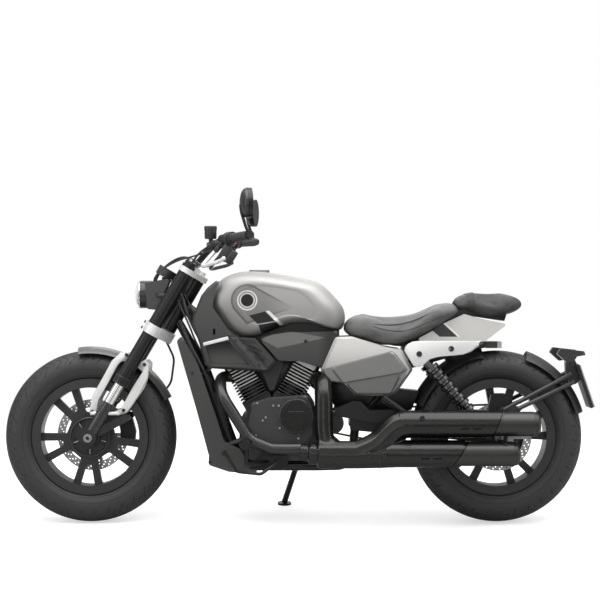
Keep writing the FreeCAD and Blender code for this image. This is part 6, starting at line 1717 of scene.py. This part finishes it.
@dataclass
class Headlamp:
    """The domed glass with its ring, and the bracket's screws."""

    centre_z: float = 0.850
    seat_x: float = 0.1865
    glass_radius: float = 0.0462
    ring_x: float = 0.1825
    ring_radius: float = 0.0492
    ring_thick: float = 0.0034
    dome: tuple = ((0.0, 1.0), (0.006, 0.975), (0.012, 0.89), (0.0165, 0.72), (0.019, 0.47), (0.020, 0.16))
    screw_places: tuple = ((0.251, 0.852),)
    screw_radius: float = 0.006

    def build(self, shop: Shop) -> None:
        """Glass, ring and screws.

        Args:
            shop: the bench.
        """
        ahead = (-1.0, 0.0, 0.0)
        dome = shop.stack(scaled(self.dome, self.glass_radius), 48)
        glass = shop.put_at(dome, (self.seat_x, 0.0, self.centre_z), ahead)
        shop.finish(glass, "headlight_glass", Body.STEERING, "lamp_glass", shop.slots["headlight_lens"])
        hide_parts("headlight_lens")
        ring = shop.ring((self.ring_x, 0.0, self.centre_z), ahead, self.ring_radius, self.ring_thick)
        shop.finish(ring, "headlight_ring", Body.STEERING, "bright_metal")
        for side, word in SIDES:
            shop.side_screws(f"bracket_screw_{word}", Body.STEERING, "headlight_brackets", self.screw_places,
                             side,
                             self.screw_radius, "bolt_black")


@dataclass
class Controls:
    """Perches, levers, switch blocks, the fluid reservoir and the stop button, beside the grips."""

    bar_way: Place = (0.528, 0.843, 0.059)
    perch: Place = (0.500, 0.256, 1.0478)
    perch_length: float = 0.036
    perch_radius: float = 0.0185
    housing_start: float = 0.040
    housing_length: float = 0.020
    housing_radius: float = 0.0235
    reservoir: Place = (0.458, 0.248, 1.050)
    reservoir_radius: float = 0.0232
    lever: tuple = ((0.482, 0.262, 1.012), (0.440, 0.278, 0.966), (0.428, 0.318, 0.947),
                    (0.466, 0.368, 0.958),
                    (0.498, 0.398, 0.966), (0.512, 0.414, 0.976))
    lever_radius: float = 0.0072
    switch_centre: Place = (0.512, 0.292, 0.997)
    switch_size: Place = (0.050, 0.034, 0.058)
    switch_way: Place = (0.52, 0.0, 0.85)
    switch_bevel: float = 0.006
    stem_radius: float = 0.012
    pivot_radius: float = 0.0105
    pivot_size: Place = (0.030, 0.018, 0.022)
    pivot_bevel: float = 0.004
    pivot_way: Place = (0.6, 0.0, 0.8)
    lever_tip: Place = (0.014, 0.014, 0.014)
    tip_bevel: float = 0.005
    button: Outline = ((0.0, 0.0065), (0.006, 0.0065), (0.008, 0.0048))
    button_at: Place = (0.5455, -0.312, 1.0335)
    button_way: Place = (0.6, 0.0, -0.8)
    pot: Outline = ((0.0, 0.82), (0.004, 0.94), (0.034, 0.96), (0.034, 1.0), (0.044, 1.0), (0.047, 0.9),
                    (0.047, 0.5), (0.0455, 0.45))
    cylinder: tuple = ((0.505, -0.262, 1.040), (0.448, -0.243, 1.024))
    cylinder_radius: float = 0.0135

    def build(self, shop: Shop) -> None:
        """Both sides; the fluid cylinder and the stop button are only on the camera's side.

        Args:
            shop: the bench.
        """
        blacks = []
        for side, word in SIDES:
            way, perch, switch = on_side((self.bar_way, self.perch, self.switch_centre), side)
            way = Vector(way).normalized()
            perch = Vector(perch)
            blacks.append(shop.rod(perch, perch + way * self.perch_length, self.perch_radius))
            start = perch + way * self.housing_start
            blacks.append(shop.rod(start, start + way * self.housing_length, self.housing_radius, 0.003))
            route = on_side(self.lever, side)
            blacks.append(shop.rod(perch + way * self.perch_length * 0.5, route[0], self.pivot_radius))
            blacks.append(shop.block(route[0], self.pivot_size, self.pivot_bevel, self.pivot_way))
            blacks.append(shop.block(switch, self.switch_size, self.switch_bevel, self.switch_way))
            blacks.append(shop.rod(start + way * self.housing_length * 0.5, switch, self.stem_radius))
            tip = shop.block(route[-1], self.lever_tip, self.tip_bevel)
            lever = shop.join([shop.tube(route, self.lever_radius), tip])
            shop.finish(lever, f"lever_{word}", Body.STEERING, "silver_metal" if side < 0 else "bolt_black")
        blacks.extend(self.fluid_parts(shop))
        body = shop.finish(shop.join(blacks), "control_housings", Body.STEERING, "plastic_black",
                           shop.slots["hand_controls"])
        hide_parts("hand_controls")
        button = shop.put_at(shop.stack(self.button, 18), self.button_at, self.button_way)
        shop.finish(button, "stop_button", Body.STEERING, "red_button")

    def fluid_parts(self, shop: Shop) -> list[bpy.types.Object]:
        """The brake's cylinder and its reservoir with a ribbed cap.

        Args:
            shop: the bench.

        Returns:
            The black parts.
        """
        x, y, z = self.reservoir
        pot = shop.stack(scaled(self.pot, self.reservoir_radius), 36)
        shop.put_at(pot, (x, -y, z), (0.0, 0.0, 1.0))
        cylinder = shop.rod(*self.cylinder, self.cylinder_radius)
        neck = shop.rod((x, -y, z + 0.004), (x + 0.004, -y, z - 0.026), 0.008)
        bracket = shop.block((0.480, -0.252, 1.037), (0.040, 0.026, 0.018), 0.004)
        return [pot, cylinder, neck, bracket]


@dataclass
class Cables:
    """Hoses and cables behind the headlight, on the steering or across to the machine."""

    steering_runs: tuple = (
        ("brake_line", 0.0040,
         ((0.446, -0.242, 1.020), (0.412, -0.215, 1.000), (0.385, -0.150, 0.962), (0.352, -0.050, 0.940),
                                (0.300, 0.045, 0.900), (0.292, 0.062, 0.800), (0.288, 0.062, 0.700),
                                (0.284, 0.061, 0.672))),
        ("throttle_pair", 0.0032,
         ((0.508, -0.285, 1.028), (0.450, -0.225, 1.005), (0.372, -0.125, 0.985), (0.330, -0.055, 0.978),
                                   (0.275, -0.030, 0.950), (0.235, -0.022, 0.914), (0.236, -0.020, 0.895))),
        ("switch_loom", 0.0046,
         ((0.500, -0.285, 0.975), (0.455, -0.262, 0.948), (0.420, -0.190, 0.955), (0.385, -0.105, 0.978),
                                 (0.345, -0.050, 0.992), (0.285, 0.020, 0.965), (0.240, 0.020, 0.915),
                                 (0.240, 0.018, 0.893))),
    )
    crossing_runs: tuple = (
        ("clutch_cable", 0.0036,
         ((0.300, -0.030, 0.905), (0.318, -0.052, 0.860), (0.334, -0.070, 0.810), (0.370, -0.084, 0.740),
                                  (0.400, -0.090, 0.660), (0.440, -0.088, 0.600))),
        ("main_loom", 0.0060,
         ((0.330, -0.022, 0.890), (0.342, -0.050, 0.845), (0.358, -0.066, 0.790), (0.392, -0.074, 0.715),
                               (0.430, -0.066, 0.650), (0.462, -0.060, 0.610))),
        ("throttle_cable", 0.0030,
         ((0.318, 0.018, 0.900), (0.352, -0.030, 0.852), (0.376, -0.050, 0.800), (0.404, -0.056, 0.740),
                                    (0.448, -0.050, 0.690), (0.480, -0.044, 0.665))),
    )

    def build(self, shop: Shop) -> None:
        """Every run as a smooth tube.

        Args:
            shop: the bench.
        """
        for name, radius, points in self.steering_runs:
            shop.finish(shop.tube(points, radius), name, Body.STEERING, "hose_rubber")
        for name, radius, points in self.crossing_runs:
            run = shop.finish(shop.tube(points, radius), name, None, "hose_rubber")
            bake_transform(run)


@dataclass
class Panels:
    """Trim of the shrouds, and the screws of the shrouds, knee panels and chin panels."""

    bar: tuple = ((0.427, 0.660), (0.425, 0.672), (0.516, 0.695), (0.520, 0.683))
    bar_near: float = 0.137
    bar_far: float = 0.132
    bar_bevel: float = 0.0012
    screw_sets: tuple = (
        ("knee_screw", "knee_panels", 0.0065, ((0.803, 0.677),)),
        ("shroud_screws", "tank_shrouds", 0.005, ((0.545, 0.680), (0.632, 0.590))),
        ("chin_screws", "chin_panels", 0.005, ((0.385, 0.560), (0.452, 0.232))),
    )

    def build(self, shop: Shop) -> None:
        """Bars and screws on both sides.

        Args:
            shop: the bench.
        """
        for side, word in SIDES:
            bar = shop.plate(self.bar, side * self.bar_near, side * self.bar_far, self.bar_bevel)
            shop.finish(bar, f"intake_bar_{word}", Body.CHASSIS, "silver_metal")
            for name, node, radius, places in self.screw_sets:
                shop.side_screws(f"{name}_{word}", Body.CHASSIS, node, places, side, radius, "bolt_black")


@dataclass
class EngineDress:
    """Bolts, the plug cap with its lead, and the coolant hose of the engine."""

    clutch: tuple = (0.768, 0.403)
    clutch_bolts: float = 0.0565
    alternator: tuple = (0.677, 0.349)
    alternator_bolts: float = 0.060
    bolt_radius: float = 0.0050
    clutch_bolt_radius: float = 0.0052
    case_bolt_radius: float = 0.0045
    cover_bars: tuple = (0.386, 0.420)
    bar_half: float = 0.030
    bar_radius: float = 0.0014
    case_bolts: tuple = ((0.625, 0.450), (0.684, 0.440), (0.704, 0.440), (0.656, 0.397), (0.645, 0.386),
                         (0.707, 0.358), (0.776, 0.320), (0.620, 0.330), (0.660, 0.292))
    plug_cap: tuple = ((0.820, 0.060, 0.598), (0.842, 0.096, 0.606), (0.858, 0.100, 0.626),
                       (0.852, 0.080, 0.655))
    plug_lead: tuple = ((0.852, 0.082, 0.650), (0.850, 0.060, 0.690), (0.820, 0.040, 0.700))
    coolant: tuple = ((0.452, -0.080, 0.300), (0.490, -0.098, 0.286), (0.540, -0.104, 0.300),
                      (0.580, -0.108, 0.320))
    cap_radius: float = 0.0125
    lead_radius: float = 0.0040
    coolant_radius: float = 0.0105

    def build(self, shop: Shop) -> None:
        """All of it, both sides.

        Args:
            shop: the bench.
        """
        shop.side_screws("clutch_bolts", Body.CHASSIS, "clutch_cover",
                         around(self.clutch, self.clutch_bolts, 5, 50.0), -1,
                         self.clutch_bolt_radius, "bolt_black")
        places = around(self.alternator, self.alternator_bolts, 6, 15.0)
        shop.side_screws("alternator_bolts", Body.CHASSIS, "alternator_cover", places, 1, self.bolt_radius,
                         "bolt_steel")
        for side, word in SIDES:
            shop.side_screws(f"case_bolts_{word}", Body.CHASSIS, "engine_block", self.case_bolts, side,
                             self.case_bolt_radius)
        self.clutch_trim(shop)
        for side, word in SIDES:
            for name, points, radius, finish in (("plug_cap", self.plug_cap, self.cap_radius, "silver_metal"),
                                                 ("plug_lead", self.plug_lead, self.lead_radius,
                                                  "hose_rubber")):
                hose = shop.tube(on_side(points, side), radius)
                shop.finish(hose, f"{name}_{word}", Body.CHASSIS, finish)
        shop.finish(shop.tube(self.coolant, self.coolant_radius), "coolant_hose", Body.CHASSIS, "hose_rubber")

    def clutch_trim(self, shop: Shop) -> None:
        """The clutch cover's rim and its two blank bars.

        Args:
            shop: the bench.
        """
        x, z = self.clutch
        face = shop.surface("clutch_cover", x, z, -1).y
        parts = [shop.ring((x, face + 0.003, z), (0.0, -1.0, 0.0), self.clutch_bolts + 0.004, 0.0032)]
        for height in self.cover_bars:
            start, end = ((x + reach, face + 0.0005, height) for reach in (-self.bar_half, self.bar_half))
            parts.append(shop.rod(start, end, self.bar_radius, 0.0004))
        shop.finish(shop.join(parts), "clutch_trim", Body.CHASSIS, "bracket_black")


@dataclass
class Pipes:
    """The collector's skin with its joint and screws, and the silencers' end rings."""

    collector: tuple = (
        (0.0525, ((0.846, -0.2145, 0.266), (0.950, -0.2145, 0.266), (1.000, -0.2145, 0.266),
                  (1.090, -0.2145, 0.268))),
        (0.0515, ((1.000, -0.2145, 0.272), (1.060, -0.2145, 0.292), (1.115, -0.218, 0.350),
                  (1.150, -0.222, 0.378), (1.200, -0.222, 0.378))),
        (0.0515, ((1.060, -0.2145, 0.268), (1.100, -0.218, 0.268), (1.140, -0.222, 0.270),
                  (1.190, -0.222, 0.270))),
        (0.0345, ((0.845, -0.095, 0.530), (0.866, -0.140, 0.530), (0.869, -0.180, 0.495),
                  (0.869, -0.192, 0.420),
                  (0.870, -0.198, 0.345), (0.880, -0.206, 0.296), (0.940, -0.2145, 0.272))),
        (0.0420, ((0.818, -0.205, 0.270), (0.840, -0.208, 0.268), (0.900, -0.2145, 0.266))),
        (0.0330, ((0.785, -0.198, 0.275), (0.810, -0.204, 0.272), (0.860, -0.212, 0.268))),
    )
    screws: tuple = ((1.2236, 0.403), (1.087, 0.270), (1.033, 0.269), (0.847, 0.281))
    silencers: tuple = (("upper_muffler", 1.655, 0.378), ("lower_muffler", 1.580, 0.270))
    lateral: float = -0.222
    skin_voxel: float = 0.0038
    skin_passes: int = 10
    screw_radius: float = 0.0095
    joint: Place = (1.071, -0.2145, 0.267)
    joint_radius: float = 0.0512
    joint_thick: float = 0.0016
    ring_radius: float = 0.0410
    ring_thick: float = 0.0022
    ring_inset: float = 0.010

    def build(self, shop: Shop) -> None:
        """All of it.

        Args:
            shop: the bench.
        """
        back = (1.0, 0.0, 0.0)
        skin = shop.join([shop.tube(points, radius) for radius, points in self.collector])
        skin = shop.finish(shop.melt(skin, self.skin_voxel, self.skin_passes), "collector_shield",
                           Body.CHASSIS, "shield_coat",
                           shop.slots["exhaust_collector"])
        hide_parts("exhaust_collector")
        spots = []
        for x, z in self.screws:
            hits = [shop.meet(piece, x, z, -1) for piece in (skin, shop.nodes["upper_muffler"])]
            point = min((hit for hit in hits if hit is not None), key=lambda hit: hit.y)
            spots.append((point, (0.0, -1.0, 0.0), self.screw_radius))
        shop.screws("shield_screws", Body.CHASSIS, spots, "bolt_black")
        band = shop.ring(self.joint, back, self.joint_radius, self.joint_thick)
        shop.finish(band, "collector_joint", Body.CHASSIS, "bolt_black")
        for name, x, z in self.silencers:
            ring = shop.ring((x - self.ring_inset, self.lateral, z), back, self.ring_radius, self.ring_thick)
            shop.finish(ring, f"{name}_end_ring", Body.CHASSIS, "bolt_black")


@dataclass
class Tail:
    """The blank number plate, and the rails' cover plates with their spacers and bolts."""

    plate: tuple = ((1.8195, 0.588), (1.8225, 0.589), (1.8765, 0.432), (1.8735, 0.431))
    plate_half: float = 0.085
    plate_bevel: float = 0.0008
    tower: tuple = ((1.166, 0.640), (1.168, 0.655), (1.178, 0.668), (1.194, 0.676), (1.217, 0.679),
                    (1.452, 0.678),
                    (1.412, 0.640), (1.382, 0.628), (1.292, 0.621), (1.2585, 0.612), (1.232, 0.589),
                    (1.217, 0.582),
                    (1.199, 0.586))
    bend_x: float = 1.300
    bend_rate: float = 0.30
    tower_near: float = 0.1655
    tower_far: float = 0.1555
    tower_bevel: float = 0.0025
    spacers: tuple = ((1.215, 0.655), (1.279, 0.650))
    spacer_from: float = 0.104
    spacer_radius: float = 0.009
    tower_bolts: tuple = ((1.219, 0.631), (1.337, 0.650))
    bolt: Outline = ((0.0, 0.0105), (0.003, 0.0105), (0.004, 0.0095), (0.004, 0.0065), (0.001, 0.0060))

    def build(self, shop: Shop) -> None:
        """All of it.

        Args:
            shop: the bench.
        """
        plate = shop.plate(self.plate, -self.plate_half, self.plate_half, self.plate_bevel)
        shop.finish(plate, "number_plate", Body.CHASSIS, "plate_blank")
        for side, word in SIDES:
            parts = [self.bent_plate(shop, side)]
            for x, z in self.spacers:
                start, end = ((x, side * y, z) for y in (self.spacer_from, self.tower_far + 0.002))
                parts.append(shop.rod(start, end, self.spacer_radius))
            shop.finish(shop.join(parts), f"shock_mount_{word}", Body.CHASSIS, "silver_metal")
            marks = []
            for x, z in self.tower_bolts:
                y = side * (self.tower_near - max(0.0, x - self.bend_x) * self.bend_rate)
                marks.append(shop.put_at(shop.stack(self.bolt, 24), (x, y, z), (0.0, side, 0.0)))
            shop.finish(shop.join(marks), f"shock_bolts_{word}", Body.CHASSIS, "bolt_black")

    def bent_plate(self, shop: Shop, side: int) -> bpy.types.Object:
        """The cover plate of one rail, flat over the shock and drawn in behind it.

        Args:
            shop: the bench.
            side: -1 for the camera's side, 1 for the far side.

        Returns:
            The plate.
        """
        plate = shop.plate(self.tower, side * self.tower_near, side * self.tower_far, self.tower_bevel)
        shop.select(plate)
        with shop.editing():
            bpy.ops.mesh.bisect(plane_co=(self.bend_x, 0.0, 0.0), plane_no=(1.0, 0.0, 0.0))
        for vertex in plate.data.vertices:
            vertex.co.y -= side * max(0.0, vertex.co.x - self.bend_x) * self.bend_rate
        return plate


@dataclass
class UnderSeat:
    """The pan under both pads, the box in front of the rear wheel and the intake between the cylinders."""

    pan: tuple = ((0.962, 0.722), (1.010, 0.694), (1.086, 0.668), (1.131, 0.659), (1.180, 0.656),
                  (1.229, 0.676),
                  (1.381, 0.768), (1.440, 0.766), (1.540, 0.751), (1.548, 0.776), (1.464, 0.796),
                  (1.388, 0.800),
                  (1.330, 0.775), (1.237, 0.722), (1.161, 0.695), (1.086, 0.695), (1.010, 0.718),
                  (0.975, 0.735))
    pan_half: float = 0.084
    intake: tuple = ((0.594, 0.586), (0.700, 0.612), (0.782, 0.600), (0.690, 0.466), (0.668, 0.466))
    intake_half: float = 0.036
    box: tuple = ((0.893, 0.545), (1.120, 0.500), (1.224, 0.490), (1.196, 0.420), (1.000, 0.420),
                  (0.905, 0.440))
    box_half: float = 0.070
    edge: float = 0.002

    def build(self, shop: Shop) -> None:
        """The three pieces.

        Args:
            shop: the bench.
        """
        for name, outline, half in (("seat_pan", self.pan, self.pan_half),
                                    ("battery_box", self.box, self.box_half),
                                    ("intake_body", self.intake, self.intake_half)):
            shop.finish(shop.plate(outline, -half, half, self.edge), name, Body.CHASSIS, "frame_black")


@dataclass
class Studio:
    """Pale floor, soft lights and the camera at the photograph's view."""

    camera_distance: float = 7.3
    view_width: float = 2.25
    look_x: float = 0.782
    look_z: float = 0.829
    sensor: float = 36.0
    low_glow: float = 0.05
    high_glow: float = 0.95
    floor_size: float = 60.0
    floor_shade: float = 0.60
    floor_glow: float = 0.55
    white_from: float = 1.3
    white_to: float = 2.2
    floor_grey: float = 0.45
    glow_from: float = -0.25
    glow_to: float = 0.85
    lights: tuple = (
        ("top_light", (0.0, -0.5, 3.0), (0.0, 0.0, 0.4), 5.0, 3.0, 185.0),
        ("front_fill", (-0.6, -4.2, 1.9), (0.0, 0.0, 0.5), 3.4, 1.6, 20.0),
        ("nose_light", (-3.4, -1.6, 1.4), (-0.4, 0.0, 0.5), 1.6, 2.2, 24.0),
        ("tail_light", (3.4, -1.2, 1.5), (0.6, 0.0, 0.5), 1.6, 2.2, 20.0),
        ("back_light", (0.3, 3.6, 2.2), (0.0, 0.0, 0.6), 3.0, 1.6, 30.0),
    )

    def build(self, shop: Shop) -> None:
        """World, floor, lights and camera.

        Args:
            shop: the bench.
        """
        scene = bpy.context.scene
        scene.view_settings.view_transform = "Standard"
        self.world(scene)
        self.floor()
        for light in self.lights:
            self.light(*light)
        self.camera(shop, scene)

    def world(self, scene: bpy.types.Scene) -> None:
        """A surround that is white to the eye, and lights the machine more from above than from below.

        Args:
            scene: the scene that gets it.
        """
        scene.world = bpy.data.worlds.new("studio")
        scene.world.use_nodes = True
        graph = Graph(scene.world.node_tree)
        place = graph.node("ShaderNodeTexCoord", {}, {}, "Generated")
        height = graph.node("ShaderNodeSeparateXYZ", {}, {0: place}, "Z")
        limits = {"From Min": self.glow_from, "From Max": self.glow_to, "To Min": self.low_glow,
                  "To Max": self.high_glow}
        glow = graph.node("ShaderNodeMapRange", {}, {"Value": height, **limits})
        white = (1.0, 1.0, 1.0, 1.0)
        lit = graph.node("ShaderNodeBackground", {}, {"Color": white, "Strength": glow})
        seen = graph.node("ShaderNodeBackground", {}, {"Color": white, "Strength": 1.0})
        both = graph.node("ShaderNodeMixShader", {}, {0: self.seen_rays(graph), 1: lit, 2: seen})
        graph.show("ShaderNodeOutputWorld", both)

    def seen_rays(self, graph: Graph) -> Sock:
        """1 for the rays that show the background, from the camera or through glass.

        Args:
            graph: the node tree being built.

        Returns:
            The mask.
        """
        kinds = ("Camera", "Transmission")
        camera, glass = (graph.node("ShaderNodeLightPath", {}, {}, f"Is {kind} Ray") for kind in kinds)
        return camera.most(glass)

    def floor(self) -> None:
        """A wide floor that is white where nothing shades it, and plain white far out."""
        bpy.ops.object.select_all(action="DESELECT")
        bpy.ops.mesh.primitive_plane_add(size=self.floor_size)
        floor = bpy.context.object
        floor.name = "studio_floor"
        material = bpy.data.materials.new("studio_floor")
        material.use_nodes = True
        graph = Graph(material.node_tree)
        matt, shaded = (graph.node("ShaderNodeBsdfDiffuse", {}, {"Color": (tone, tone, tone, 1.0)})
                        for tone in (self.floor_grey, self.floor_shade))
        glow = graph.node("ShaderNodeEmission", {}, {"Strength": self.floor_glow})
        near = graph.node("ShaderNodeAddShader", {}, {0: shaded, 1: glow})
        place = graph.node("ShaderNodeTexCoord", {}, {}, "Object")
        reach = graph.node("ShaderNodeVectorMath", {"operation": "LENGTH"}, {0: place}, "Value")
        limits = {"From Min": self.white_from, "From Max": self.white_to}
        fade = graph.node("ShaderNodeMapRange", {}, {"Value": reach, **limits})
        white = graph.node("ShaderNodeEmission", {}, {})
        seen = graph.node("ShaderNodeMixShader", {}, {0: fade, 1: near, 2: white})
        both = graph.node("ShaderNodeMixShader", {}, {0: self.seen_rays(graph), 1: matt, 2: seen})
        graph.show("ShaderNodeOutputMaterial", both)
        floor.data.materials.append(material)

    def light(self, name: str, at: Place, target: Place, width: float, height: float, power: float) -> None:
        """A soft box.

        Args:
            name: its name.
            at: its place.
            target: the point it faces.
            width: its width.
            height: its height.
            power: its power in watts.
        """
        bpy.ops.object.light_add(type="AREA", location=at)
        lamp = bpy.context.object
        lamp.name = name
        lamp.data.shape = "RECTANGLE"
        lamp.data.size = width
        lamp.data.size_y = height
        lamp.data.energy = power
        lamp.rotation_euler = (Vector(target) - Vector(at)).to_track_quat("-Z", "Y").to_euler()

    def camera(self, shop: Shop, scene: bpy.types.Scene) -> None:
        """The camera, square to the leaned machine as in the photograph.

        Args:
            shop: the bench.
            scene: the scene that it is set in.
        """
        bpy.ops.object.camera_add()
        camera = bpy.context.object
        camera.data.sensor_width = self.sensor
        camera.data.lens = self.sensor * self.camera_distance / self.view_width
        at = Matrix.Translation((self.look_x, -self.camera_distance, self.look_z))
        camera.matrix_world = shop.stance @ at @ Matrix.Rotation(math.pi / 2, 4, "X")
        scene.camera = camera


def main() -> None:
    """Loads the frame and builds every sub-assembly in order."""
    logging.basicConfig(level=logging.INFO, format="%(name)s: %(message)s")
    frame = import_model()
    shop = Shop(frame)
    assemblies = (Studio(), CadDress(), Wheels(), Fork(), Headlamp(), Controls(), Cables(), Mirrors(),
                  Panels(), EngineDress(),
                  Pipes(), Tail(), UnderSeat(), Seats())
    for assembly in assemblies:
        assembly.build(shop)
        LOG.info("built %s", type(assembly).__name__)


if __name__ == "__main__":
    main()
